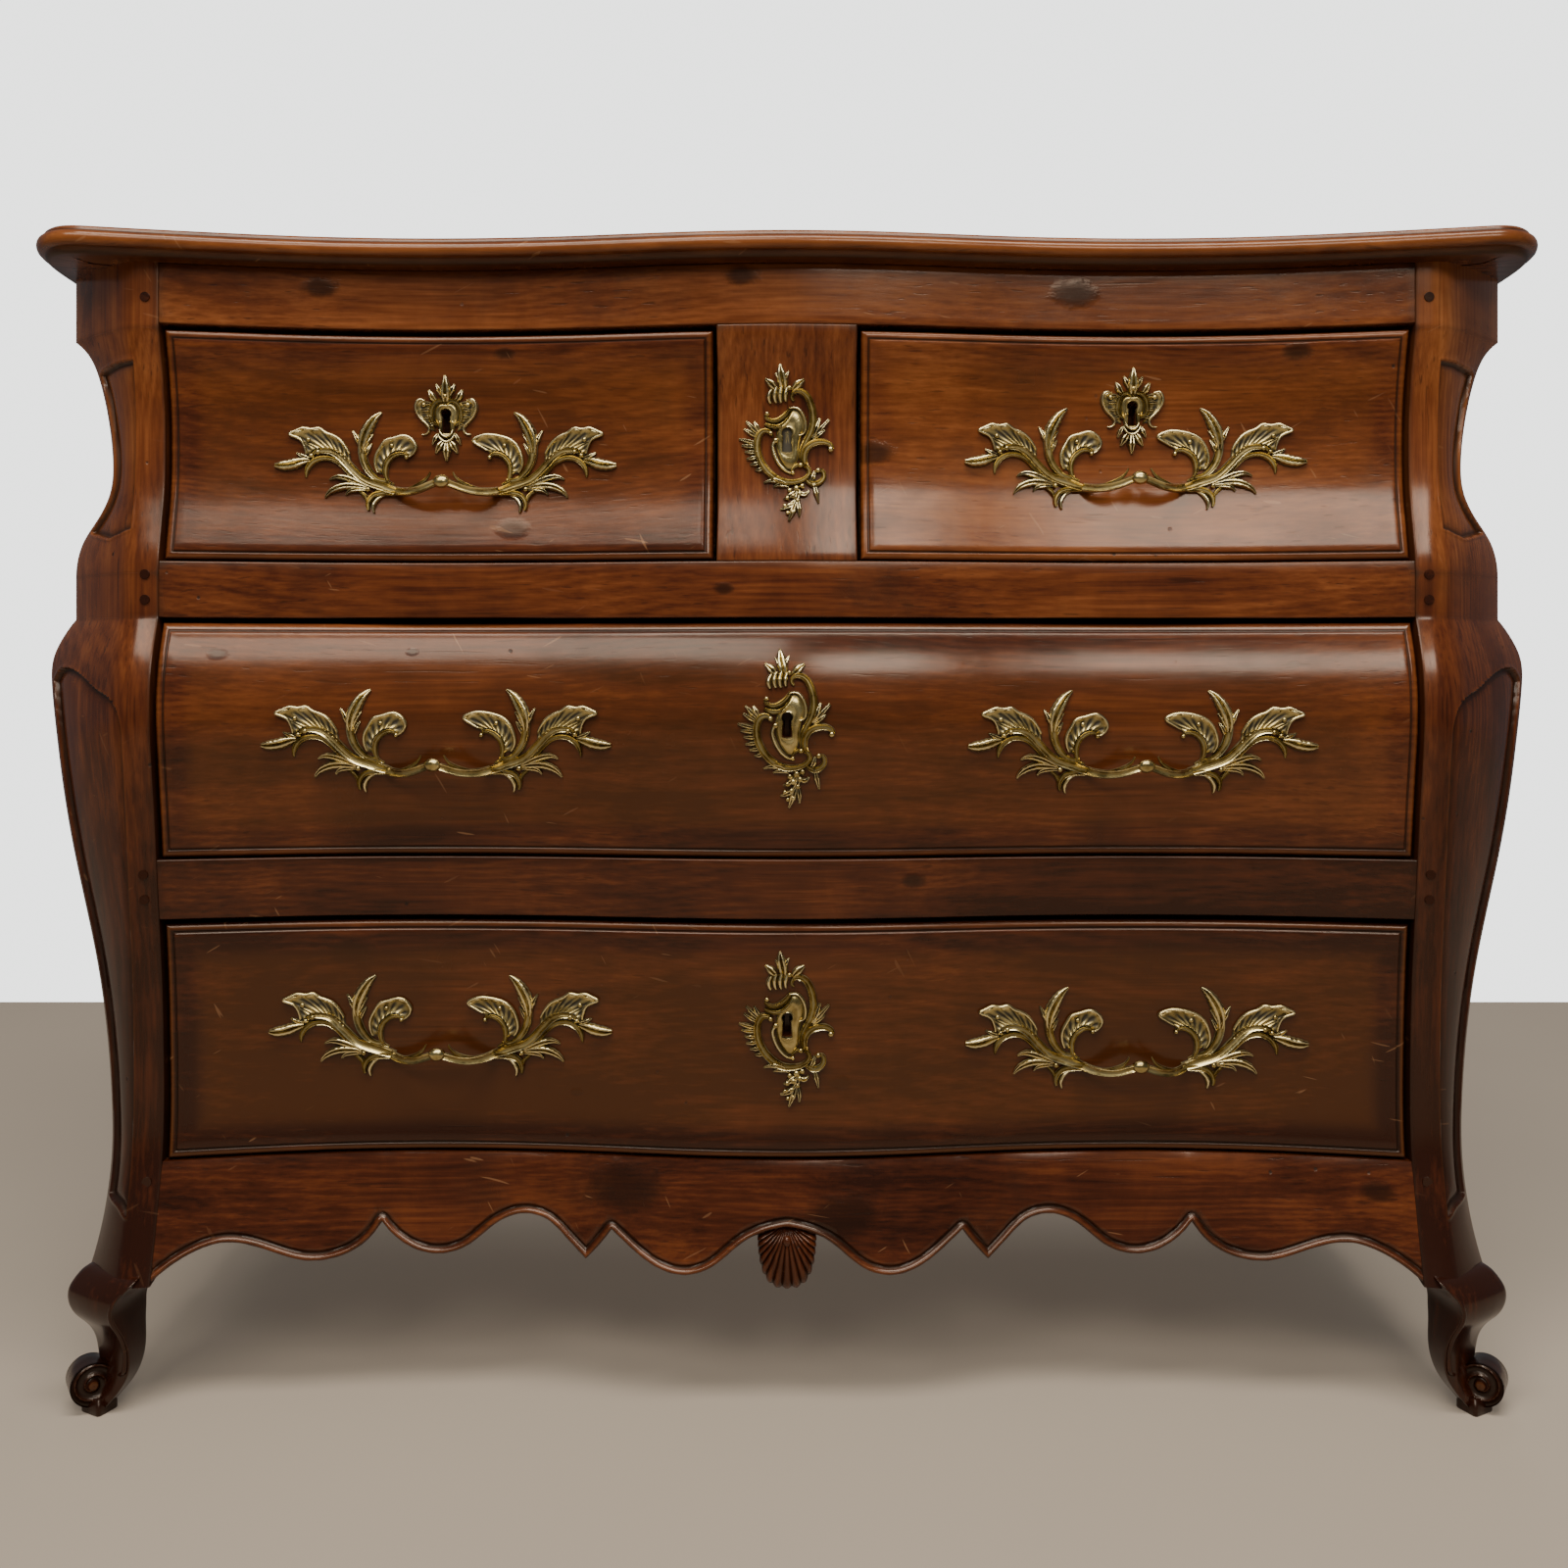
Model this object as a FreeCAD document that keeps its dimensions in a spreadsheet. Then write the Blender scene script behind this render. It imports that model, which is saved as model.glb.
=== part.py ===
import FreeCAD, Part
import os
from math import cos, radians, sin

from FreeCAD import Placement, Rotation, Vector

# A bombe chest of four drawers, in solid fruitwood with cast brass mounts.
#
# Frame: millimetres, +X to the right, +Y into the chest, +Z up. The origin is on the floor, under
# the middle of the chest. Depths are written "behind the front plane", which is the face of the
# front rail where it meets the corner posts.
#
# The whole outside of the case is one bulging skin. Every rail, drawer front, post and side is a
# board cut out of that skin, so neighbours share one continuous surface.

DIMENSIONS = {
    "front_plane": (-274, "Y of the rail face at the posts"),
    "case_depth": (570, "front plane to the back of the case"),
    "case_top": (908, "height of the case under the top board"),
    "top_thickness": (22, "thickness of the top board"),
    "top_round": (8, "rounding of the top board's upper edge"),
    "top_under_round": (5, "rounding of its lower edge"),
    "joint_x": (497, "half the width between the corner posts"),
    "top_rail_low": (860, "underside of the top rail"),
    "upper_rail_high": (672, "top of the upper divider rail"),
    "upper_rail_low": (627, "underside of the upper divider rail"),
    "lower_rail_high": (435.5, "top of the lower divider rail"),
    "lower_rail_low": (387.5, "underside of the lower divider rail"),
    "apron_high": (194, "top of the front apron"),
    "rail_depth": (75, "front plane to the back edge of the front rails"),
    "apron_back": (30, "thickness line of the apron behind the serpentine"),
    "stile_half": (56, "half the width of the centre stile"),
    "stile_depth": (40, "front plane to the back of the centre stile"),
    "tenon_length": (25, "length of a rail tenon in its post"),
    "tenon_thickness": (12, "thickness of a rail tenon"),
    "tenon_depth": (22, "front plane to the front cheek of a tenon"),
    "tenon_shoulder": (3, "a tenon's shoulder above and below"),
    "tongue_thickness": (10, "thickness of the stile's tongues"),
    "tongue_length": (15, "length of the stile's tongues"),
    "peg_radius": (4, "radius of a joint peg"),
    "post_width": (130, "width of the timber that a corner post is cut from"),
    "post_side": (110, "front plane to the back edge of a front post"),
    "rear_post_from": (505, "front plane to the front edge of a rear post"),
    "rear_post_inner": (495, "half the width between the rear posts"),
    "sunk_depth": (3, "depth of the sunk panels in the front posts"),
    "panel_thickness": (22, "thickness of a side panel"),
    "panel_rebate": (8, "how far a side panel is let into its posts"),
    "back_rail_from": (525, "front plane to the front face of the back rails"),
    "back_board_from": (556, "front plane to the inner face of the back boards"),
    "back_rail_height": (40, "height of a back rail"),
    "back_rail_tenon": (18, "how far a back rail is let into the rear posts"),
    "back_board_thickness": (12, "thickness of a back board"),
    "back_board_rebate": (12, "how far the back boards are let into the rear posts"),
    "dust_thickness": (10, "thickness of a dust board"),
    "dust_groove": (5, "how far a dust board is let into the rails"),
    "runner_width": (35, "width of a drawer runner"),
    "runner_height": (20, "height of a drawer runner"),
    "runner_wing": (18, "how far a runner reaches out past the front posts"),
    "middle_runner_width": (190, "width of the runner between the short drawers"),
    "middle_runner_height": (12, "height of that runner"),
    "guide_height": (22, "height of a drawer guide"),
    "guide_width": (18, "width of a drawer guide"),
    "stop_length": (50, "length of a drawer stop"),
    "stop_width": (13, "width of a drawer stop"),
    "stop_height": (6, "height of a drawer stop over its rail"),
    "slide_gap": (0.5, "gap between a drawer side and its runner"),
    "drawer_gap_side": (2.5, "gap beside a drawer front"),
    "drawer_gap_top": (4, "gap above a drawer front"),
    "drawer_gap_low": (1.5, "gap under a drawer front"),
    "lip_width": (8, "width of the moulded lip round a drawer front"),
    "lip_drop": (4, "how far the lip lies behind the field of a drawer front"),
    "guide_gap": (1, "gap between a drawer side and its guide"),
    "drawer_board": (12, "thickness of drawer sides and backs"),
    "drawer_back_from": (504, "front plane to the inner face of a drawer back"),
    "drawer_length": (518, "front plane to the rear end of a drawer"),
    "bottom_rise": (8, "height of a drawer bottom over the lower edge of the sides"),
    "bottom_thickness": (7, "thickness of a drawer bottom"),
    "groove": (5, "depth of the grooves that hold a drawer bottom and back"),
    "side_drop": (14, "drawer side below the top edge of its front"),
    "tail_length": (8, "length of a dovetail in the drawer front"),
    "lock_width": (78, "width of a lock case"),
    "lock_thickness": (14, "thickness of a lock case"),
    "lock_inset": (6, "depth of a lock case in the drawer front"),
    "lock_below_key": (30, "lock case below the middle of the keyhole"),
    "bolt_width": (24, "width of a lock bolt"),
    "bolt_thickness": (6, "thickness of a lock bolt"),
    "bolt_height": (50, "height of a lock bolt"),
    "bolt_gap": (0.5, "running gap round a lock bolt"),
    "mortise_room": (1.5, "room round a lock bolt in its mortise"),
    "mortise_depth": (14, "depth of the bolt's mortise in the rail"),
    "brass_thickness": (4, "thickness of the cast brass mounts"),
    "bar_radius": (4.5, "radius of a handle's bar"),
    "bar_reach": (27, "how far a handle's bar stands out at the knot"),
    "pin_radius": (1.2, "radius of a brass pin"),
    "pin_length": (14, "length of a brass pin"),
    "pin_head": (2.4, "radius of a brass pin's head"),
    "key_radius": (3.6, "radius of the round part of a keyhole"),
    "key_slot": (5, "width of the slot of a keyhole"),
    "key_height": (15, "height of the slot of a keyhole"),
    "foot_pad": (7, "height of the pad under a scroll foot"),
    "toe_radius": (14, "radius of the scroll at a toe"),
}

# The plan of the skin at rail height. Each row is a point and three gains, which say how the point
# moves when the profile swells: X with the side swell, Y with the front swell, Y with the side swell.
FRONT_HALF = [
    (0, 2), (90, 8), (180, 20), (280, 26), (380, 20), (450, 9), (497, 0), (517, -4.5),
]
CANT = [
    (517, -4.5, 0, 1, 0), (554, 24, 0.5, 1, 0.4), (588, 57, 1, 1, 0.8),
]
FLANK = [
    (588, 57, 1, 1, 0.8), (591, 84, 0.93, 0.45, 0.36), (593.5, 115, 0.85, 0, 0), (597, 200, 0.75, 0, 0),
    (597, 300, 0.75, 0, 0), (592, 420, 0.75, 0, 0), (584, 505, 0.75, 0, 0), (578, 570, 0.75, 0, 0),
]

# The profile of the skin, in four zones with a crisp line between them, from the apron up. Each row
# is the side swell, the front swell (backwards is positive) and the height.
BELLY = [
    (-27, -19, 100), (-35, -9, 130), (-39.5, -1, 160), (-40.5, 7, 195), (-37.5, 11, 240), (-32.5, 10, 290),
    (-24, 7, 340), (-12.5, 1, 390), (0, -5, 440), (9, -11, 490), (13.5, -17, 535), (19, -17, 570),
    (21, -12, 595), (13, -6, 612), (0, 0, 627),
]
MIDDLE_BLOCK = [(0, 0, 627), (0, 0, 645), (0, 0, 662)]
WAIST = [
    (0, 0, 662), (-1, 1, 675), (-6, 4, 690), (-21, 8, 708), (-35.5, 12.5, 732), (-37, 14, 760),
    (-32.5, 13, 790), (-26, 9, 818), (-17, 4, 840), (0, 0, 856),
]
TOP_BLOCK = [(0, 0, 856), (0, 0, 882), (0, 0, 908)]
ZONES = [BELLY, MIDDLE_BLOCK, WAIST, TOP_BLOCK]

# The edge of the top board, from the middle of the front to the back, on the right.
TOP_HALF = [
    (0, -22), (90, -16), (180, -4), (280, 2), (380, -4), (450, -15), (497, -24), (535, -32),
    (562, -34), (584, -18), (596, 8), (603, 60), (611, 150), (616, 290), (611, 420), (603, 510),
    (598, 584),
]

# The scalloped edge of the apron on the right half, as smooth runs between cusps: X and Z.
APRON_RUNS = [
    [(0, 145), (34, 134), (58, 116), (82, 109), (110, 117), (130, 131), (140, 139)],
    [(140, 139), (149, 128), (160, 117)],
    [(160, 117), (176, 131), (192, 144), (214, 148), (236, 139), (256, 124), (283, 118),
     (306, 125), (326, 142)],
    [(326, 142), (338, 127), (358, 117), (383, 115), (414, 124), (449, 131), (478, 121), (497, 107)],
]
# The same on a side: depth behind the front plane and Z, from the front foot to the rear foot.
SIDE_RUNS = [
    [(44, 104), (62, 120), (92, 132), (128, 122), (158, 117), (186, 126), (206, 142)],
    [(206, 142), (226, 122), (256, 114), (284, 112), (312, 114), (342, 122), (362, 142)],
    [(362, 142), (382, 126), (410, 117), (440, 122), (476, 132), (504, 120), (522, 104)],
]

# The front scroll foot on the left: height, then the outer, inner and two back corners in plan.
FOOT_SECTIONS = [
    (8, (-554, 1), (-531, -9), (-530, 9), (-546, 15)),
    (20, (-552, 4), (-523, -10), (-522, 11), (-545, 22)),
    (32, (-551, 6), (-518, -12), (-516, 15), (-543, 27)),
    (45, (-551, 8), (-515.5, -12), (-514, 18), (-542, 31)),
    (57, (-552.5, 7), (-516, -15), (-514.5, 20), (-544, 34)),
    (68, (-558, 4), (-518, -21), (-515.5, 21), (-548, 36)),
    (78, (-566, -1), (-521, -27), (-516, 22), (-553, 39)),
    (90, (-570.5, -2), (-522, -31), (-515, 23), (-556, 43)),
    (104, (-567, 0), (-512, -29), (-500, 22), (-556, 45)),
    (111, (-560, 6), (-504, -23), (-497, 22), (-552, 46)),
]
TOE_CENTRE = (-553, 5, 21)
TOE_HALF_WIDTH = 13
TOE_TURN = 38
PAD_CORNERS = (-556, -10, -528, 17)
REAR_FOOT_INNER = 518
REAR_FOOT_DEPTHS = (520, 568)
POST_FOOT_JOINT = 104

# Brass outlines, seen from the front, in millimetres from the knot or from the round of the keyhole.
HANDLE_HALF = [
    (40, -3), (47, 2), (50, 8), (49, 13), (46, 18), (41, 16), (37, 19), (38, 23), (31, 24),
    (30, 29), (34, 34), (40, 36), (47, 34), (54, 34), (59, 28), (61, 21), (61, 14), (57, 10),
    (53, 9), (52, 4), (61, 9), (67, 17), (70, 25), (71, 31), (69, 36), (66, 37), (69, 40),
    (68, 45), (61, 50), (58, 55), (65, 54), (72, 49), (75, 43), (78, 39), (82, 41), (81, 34),
    (78, 29), (77, 21), (74, 14), (71, 7), (78, 14), (83, 20), (82, 23), (88, 31), (94, 37),
    (102, 39), (107, 42), (118, 42), (128, 39), (130, 36), (121, 33), (118, 27), (123, 23),
    (120, 20), (128, 17), (138, 15), (136, 11), (124, 10), (118, 13), (118, 9), (115, 6),
    (112, 12), (106, 16), (98, 17), (90, 12), (83, 6), (95, 4), (93, 1), (98, -5), (98, -12),
    (93, -8), (86, -5), (84, -10), (78, -8), (72, -11), (67, -16), (66, -22), (65, -27),
    (61, -26), (63, -20), (61, -15), (54, -12), (40, -11),
]
BAR_POINTS = [(42, -7), (30, -9), (16, -7), (0, -2.5)]
BAR_STATIONS = 13
BAR_LIFT = 2.5
KNOT_RADIUS = 6.5
KNOT_LENGTH = 9
SMALL_PLATE_HALF = [
    (0, 28.5), (3, 26), (4.5, 22), (7.5, 20), (9, 17), (12.5, 17), (15, 15), (15, 11), (17, 9),
    (20, 10), (23.5, 8.5), (25, 3), (24, -1), (21, -6.5), (17, -10.5), (16.5, -14), (17.5, -17),
    (13, -16.5), (11, -18.5), (12, -23), (13.5, -28), (10, -25), (8.5, -30), (7, -32), (5, -30),
    (3.5, -35), (0, -38.5),
]
LARGE_PLATE = [
    (-3, 53), (1, 48), (3, 40), (7, 40), (11, 43), (15, 39), (15, 33), (19, 26), (21, 18), (23, 11),
    (28, 11), (33.5, 10.5), (31, 5), (29, 1), (24, -3), (20, -5), (27, -6), (34, -10), (36, -13),
    (29, -13), (23, -11), (18, -14), (17, -20), (18, -26), (24, -28), (29, -31), (30, -38),
    (28, -43), (26, -49), (27, -54), (23, -54), (21, -48), (16, -49), (13, -54), (11, -59),
    (10, -66), (6.5, -64), (2.5, -68), (-1, -66), (-5, -62), (-5.5, -59), (-1.5, -56), (-3, -50),
    (1, -45), (-4, -43), (-10, -43), (-17, -41), (-17, -37), (-12, -36), (-18, -30), (-25, -25),
    (-31, -22), (-32, -16), (-28, -13), (-35, -11), (-37, -4), (-32, -1), (-34, 4), (-33, 10),
    (-27, 10), (-22, 5), (-17, 6), (-15, 10), (-17, 15), (-16, 20), (-9, 22), (-2, 24), (-13, 25),
    (-15, 31), (-14, 36), (-18, 38), (-17, 43), (-11, 42), (-6, 44), (-5, 49),
]
LARGE_PIERCINGS = [
    [(11, 25), (15, 26), (18, 18), (18, 8), (15.5, -1), (13, 6), (13, 15)],
    [(-19, -7), (-13, -7), (-10, -17), (-5, -27), (2, -33), (-3, -35), (-10, -31), (-17, -20)],
]
LARGE_ROUND_HOLE = (11, -33, 5)
# The carved shell: half its width, its reach below its middle, and the heights of its middle and top.
SHELL_HALF, SHELL_REACH, SHELL_MIDDLE, SHELL_TOP = 22, 23, 126, 147
SHELL_RIBS = 9
SHELL_NOTCH = 0.955
SHELL_SWEEP = (-172, 164)
SHELL_THICKNESS = 13

HANDLE_PINS = [(64, -6), (112, 34), (104, 24), (46, 30)]
SMALL_PLATE_PINS = [(-18, 3), (18, 3), (0, 14)]
LARGE_PLATE_PINS = [(11, -27), (-13, 0), (2, 36)]

# Each drawer: the opening it fills, where its front's inner face lies, its lock and its handles.
DRAWERS = {
    "upper_left_drawer": {
        "ends": ("-dims.joint_x", "-dims.stile_half"), "rail": "upper_rail_high",
        "head": "top_rail_low", "inner": 34, "key": (-277.5, 790), "plate": "small",
        "handles": {"handle": (-276, 738)},
    },
    "upper_right_drawer": {
        "ends": ("dims.stile_half", "dims.joint_x"), "rail": "upper_rail_high",
        "head": "top_rail_low", "inner": 34, "key": (281, 796), "plate": "small",
        "handles": {"handle": (282, 741)},
    },
    "middle_drawer": {
        "ends": ("-dims.joint_x", "dims.joint_x"), "rail": "lower_rail_high",
        "head": "upper_rail_low", "inner": 24, "key": (0, 544), "plate": "large",
        "handles": {"left_handle": (-277, 513), "right_handle": (281, 512)},
    },
    "lower_drawer": {
        "ends": ("-dims.joint_x", "dims.joint_x"), "rail": "apron_high",
        "head": "lower_rail_low", "inner": 36, "key": (0, 304), "plate": "large",
        "handles": {"left_handle": (-279, 281), "right_handle": (282, 271)},
    },
}
STILE_KEY = (0, 771)
# The round part of a keyhole, on which its plate is centred, is this far above the key's place.
KEY_RISE = 4
PEG_HEIGHTS = {"top": [880], "upper": [661, 641], "lower": [424, 404], "apron": [180]}
PEG_X = 507
PEG_PAST = 6
APRON_TENON_LOW = 150
BACK_BOARD_JOINTS = (154, 410, 660)
PLANK_GAP = 0.5
GUIDE_START = 6
STOP_GAP = 0.6
BACK_DROP = 6
# Dovetails of a drawer side: how many, half their width as shares of their spacing, and their root.
TAILS, TAIL_WIDE, TAIL_NARROW, TAIL_ROOT, TAIL_MARGIN = 3, 0.34, 0.2, 8, 4
SIDE_INNER = 500
STOP_X = {"upper_rail_high": [-280, 280], "lower_rail_high": [-280, 280], "apron_high": [-280, 280]}

# The sunk panels of a front post: bottom, top and inner edge.
SUNK_PANELS = [(700, 824, 521), (158, 566, 524)]
SUNK_BORDER = 8

# Blanks that are cut by the skin start this far in front of the front plane. The tools that cut all
# the way through start further out and are this long.
AHEAD = 60
TOOL_AHEAD = 80
TOOL_LENGTH = 175
BRASS_AHEAD = 90
BRASS_LENGTH = 140
# How far blanks run into each other where they are fused.
ROOT = 5

doc = FreeCAD.newDocument("bombe_chest")
sheet = doc.addObject("Spreadsheet::Sheet", "dims")
for row, (alias, (value, note)) in enumerate(DIMENSIONS.items(), start=1):
    sheet.set(f"A{row}", note)
    sheet.set(f"B{row}", str(value))
    sheet.setAlias(f"B{row}", alias)
doc.recompute()

nodes = []


# ---------------------------------------------------------------- helpers

def size(alias):
    """A driving dimension, read from the sheet."""
    return float(sheet.get(alias))


def depth(behind):
    """The Y of a depth behind the front plane, as an expression or a number."""
    if isinstance(behind, str):
        return f"dims.front_plane + {behind}"
    return f"dims.front_plane + {behind:g}"


def bind(thing, name, value):
    """Sets a property from a number, or binds it to the sheet from an expression."""
    if isinstance(value, str):
        thing.setExpression(name, value)
    elif name.startswith("Placement.Base."):
        setattr(thing.Placement.Base, name[-1], value)
        thing.setExpression(name, f"{value:g}")
    else:
        setattr(thing, name, value)


def place(thing, x, y, z):
    """Binds where a thing stands."""
    bind(thing, "Placement.Base.x", x)
    bind(thing, "Placement.Base.y", y)
    bind(thing, "Placement.Base.z", z)
    return thing


def block(label, x, y, z, length, width, height):
    """A plain board: its low corner, then its size along X, Y and Z."""
    board = doc.addObject("Part::Box", label)
    bind(board, "Length", length)
    bind(board, "Width", width)
    bind(board, "Height", height)
    return place(board, x, y, z)


def mirrored(side, inner, width):
    """The low X of a board of some width that starts at inner, on the left or the right."""
    return inner if side > 0 else f"-({inner}) - ({width})"


def cylinder(label, x, y, z, radius, height, axis):
    """A round bar from a point along +X, +Y or +Z."""
    turn = {"x": Rotation(Vector(0, 1, 0), 90), "y": Rotation(Vector(1, 0, 0), -90), "z": Rotation()}
    bar = doc.addObject("Part::Cylinder", label)
    bind(bar, "Radius", radius)
    bind(bar, "Height", height)
    bar.Placement = Placement(Vector(), turn[axis])
    return place(bar, x, y, z)


def solid(label, shape):
    """A piece whose shape is worked out in code."""
    piece = doc.addObject("Part::Feature", label)
    piece.Shape = shape
    return piece


def moved(label, source, x, y, z):
    """A copy of a piece, moved."""
    piece = solid(label, source.Shape.copy())
    piece.Placement = Placement(Vector(x, y, z), Rotation())
    return piece


def join(label, pieces):
    """Several things made one solid, or one group of separate solids."""
    whole = doc.addObject("Part::MultiFuse", label)
    whole.Shapes = pieces
    return whole


def overlap(label, base, tool):
    """What two things share."""
    shared = doc.addObject("Part::Common", label)
    shared.Base = base
    shared.Tool = tool
    return shared


def cut(label, base, tools):
    """A thing less one or more others."""
    rest = doc.addObject("Part::Cut", label)
    rest.Base = base
    rest.Tool = tools[0] if len(tools) == 1 else join(label + "_cutters", tools)
    return rest


def node(thing, name):
    """Names a finished sub-part and lists it for export."""
    thing.Label = name
    nodes.append(thing)
    return thing


# ---------------------------------------------------------------- the skin

def chord_lengths(points):
    """The running length along straight lines through some points."""
    total = 0.0
    lengths = [0.0]
    for here, there in zip(points, points[1:]):
        total += (there - here).Length
        lengths.append(total)
    return lengths


def end_tangent(points, steps):
    """The slope of a parabola through the first three points, at the first one."""
    if len(points) < 3:
        return (points[1] - points[0]) * (1 / (steps[1] - steps[0]))
    near = steps[1] - steps[0]
    far = steps[2] - steps[0]
    first = (points[1] - points[0]) * (1 / near)
    second = (points[2] - points[0]) * (1 / far)
    return (first * far - second * near) * (1 / (far - near))


def spline(points, steps):
    """A cubic spline through points at given parameters, ending on its parabolas' slopes."""
    curve = Part.BSplineCurve()
    curve.interpolate(
        Points=points, Parameters=steps, Scale=False,
        InitialTangent=end_tangent(points, steps),
        FinalTangent=end_tangent(points[::-1], steps[::-1]),
    )
    return curve


def smooth(points):
    """A spline through flat points with chord-length parameters."""
    return spline(points, chord_lengths(points))


def skin_face(plan, profile):
    """The surface that a plan sweeps as it follows a profile, each point by its own gains."""
    base_points = [Vector(row[0], row[1], 0) for row in plan]
    steps = chord_lengths(base_points)
    base = spline(base_points, steps)
    loaded = spline([spot + Vector(*row[2:]) for spot, row in zip(base_points, plan)], steps)
    rise_points = [Vector(*row) for row in profile]
    rise = spline(rise_points, chord_lengths(rise_points))
    poles = []
    for spot, sum_pole in zip(base.getPoles(), loaded.getPoles()):
        pull = sum_pole - spot
        line = []
        for level in rise.getPoles():
            x = spot.x + pull.x * level.x
            y = spot.y + pull.y * level.y + pull.z * level.x
            line.append(Vector(x, y + size("front_plane"), level.z))
        poles.append(line)
    surface = Part.BSplineSurface()
    surface.buildFromPolesMultsKnots(
        poles, base.getMultiplicities(), rise.getMultiplicities(),
        base.getKnots(), rise.getKnots(), False, False, 3, 3,
    )
    return surface.toShape()


def flipped(plan):
    """A plan seen in the chest's middle plane."""
    return [(-x, y, -side, front, turn) for x, y, side, front, turn in plan][::-1]


def front_plan():
    """The serpentine front, from the left arris to the right one."""
    half = [(x, y, 0, 1, 0) for x, y in FRONT_HALF]
    return flipped(half)[:-1] + half


def edge_at(face, height):
    """The edge of a skin face that lies at one height."""
    for edge in face.Edges:
        if all(abs(v.Z - height) < 1e-6 for v in edge.Vertexes):
            return edge
    raise RuntimeError(f"no edge at {height}")


def skin_solid():
    """The whole bulging case as one solid, from which the boards are cut."""
    spans = [flipped(FLANK), flipped(CANT), front_plan(), CANT, FLANK]
    sheets = [[skin_face(span, zone) for span in spans] for zone in ZONES]
    low, high = ZONES[0][0][2], ZONES[-1][-1][2]
    back = size("front_plane") + FLANK[-1][1]
    caps = []
    for faces, height in ((sheets[0], low), (sheets[-1], high)):
        rim = [edge_at(face, height) for face in faces]
        ends = [v.Point for edge in rim for v in edge.Vertexes if abs(v.Y - back) < 1e-6]
        rim.append(Part.makeLine(ends[0], ends[1]))
        caps.append(Part.Face(Part.Wire(Part.__sortEdges__(rim))))
    rear = []
    for faces in sheets:
        for face in (faces[0], faces[-1]):
            rear += [e for e in face.Edges if all(abs(v.Y - back) < 1e-6 for v in e.Vertexes)]
    for cap in caps:
        rear += [e for e in cap.Edges if all(abs(v.Y - back) < 1e-6 for v in e.Vertexes)]
    caps.append(Part.Face(Part.Wire(Part.__sortEdges__(rear))))
    shell = Part.Shell([face for faces in sheets for face in faces] + caps)
    shell.sewShape()
    whole = Part.Solid(shell)
    if whole.Volume < 0:
        whole.reverse()
    return whole


def solve(curve, axis, wanted):
    """The point of a curve where one coordinate, which grows along it, has a wanted value."""
    low, high = curve.FirstParameter, curve.LastParameter
    for _ in range(60):
        middle = (low + high) / 2
        if getattr(curve.value(middle), axis) < wanted:
            low = middle
        else:
            high = middle
    return curve.value(low)


plan_curve = smooth([Vector(row[0], row[1], 0) for row in front_plan()])
zone_curves = [smooth([Vector(*row) for row in zone]) for zone in ZONES]


def serpentine(x):
    """How far the front lies behind the front plane at rail height."""
    return solve(plan_curve, "x", x).y


def face_y(x, z):
    """The Y of the front face of the skin."""
    curve = next(c for c in zone_curves if z <= c.EndPoint.z + 1e-9)
    return size("front_plane") + serpentine(x) + solve(curve, "z", z).y


def half_width(z):
    """The half width of the skin at the side arris of a front post."""
    curve = next(c for c in zone_curves if z <= c.EndPoint.z + 1e-9)
    return CANT[-1][0] + solve(curve, "z", z).x


skin = solid("case_skin", skin_solid())
lip_skin = moved("lip_skin", skin, 0, size("lip_drop"), 0)


def slab(behind):
    """Everything in front of a line that follows the serpentine some way behind it."""
    reach = size("joint_x") + 30
    front = size("front_plane") - TOOL_AHEAD
    xs = [row[0] for row in front_plan()]
    bulge = [Vector(x, size("front_plane") + serpentine(x) + behind, 0) for x in xs]
    curve = smooth(bulge).toShape()
    left, right = bulge[0], bulge[-1]
    corners = [
        right, Vector(reach, right.y, 0), Vector(reach, front, 0), Vector(-reach, front, 0),
        Vector(-reach, left.y, 0), left,
    ]
    edges = [curve] + [Part.makeLine(a, b) for a, b in zip(corners, corners[1:])]
    face = Part.Face(Part.Wire(Part.__sortEdges__(edges)))
    return solid(f"slab_{behind:g}".replace(".", "_"), face.extrude(Vector(0, 0, size("case_top") + 22)))


slabs = {}


def slab_at(behind):
    """One slab for each depth, made when it is first needed."""
    if behind not in slabs:
        slabs[behind] = slab(behind)
    return slabs[behind]


# ---------------------------------------------------------------- scalloped edges

def scallop_edges(runs, place_point):
    """The edges of a scalloped line, one spline for each smooth run."""
    return [smooth([place_point(a, z) for a, z in run]).toShape() for run in runs]


def closed_prism(edges, sweep):
    """A prism on a closed flat outline."""
    return Part.Face(Part.Wire(Part.__sortEdges__(edges))).extrude(sweep)


def apron_shape():
    """The front apron seen from the front, swept straight back."""
    top, joint, front = size("apron_high"), size("joint_x"), size("front_plane") - TOOL_AHEAD
    right = scallop_edges(APRON_RUNS, lambda x, z: Vector(x, front, z))
    left = scallop_edges(APRON_RUNS, lambda x, z: Vector(-x, front, z))
    low = APRON_RUNS[-1][-1][1]
    corners = [(-joint, low), (-joint, top), (joint, top), (joint, low)]
    spots = [Vector(x, front, z) for x, z in corners]
    frame = [Part.makeLine(a, b) for a, b in zip(spots, spots[1:])]
    return closed_prism(right + left + frame, Vector(0, TOOL_LENGTH, 0))


def under_side_shape():
    """The space under the scalloped sides, across the whole chest."""
    reach = 700
    edges = scallop_edges(SIDE_RUNS, lambda y, z: Vector(-reach, size("front_plane") + y, z))
    ends = [SIDE_RUNS[0][0], SIDE_RUNS[-1][-1]]
    near, far = (Vector(-reach, size("front_plane") + y, z) for y, z in ends)
    low_near, low_far = Vector(near.x, near.y, 60), Vector(far.x, far.y, 60)
    frame = [Part.makeLine(near, low_near), Part.makeLine(low_near, low_far), Part.makeLine(low_far, far)]
    return closed_prism(edges + frame, Vector(2 * reach, 0, 0))


# ---------------------------------------------------------------- feet and posts

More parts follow.
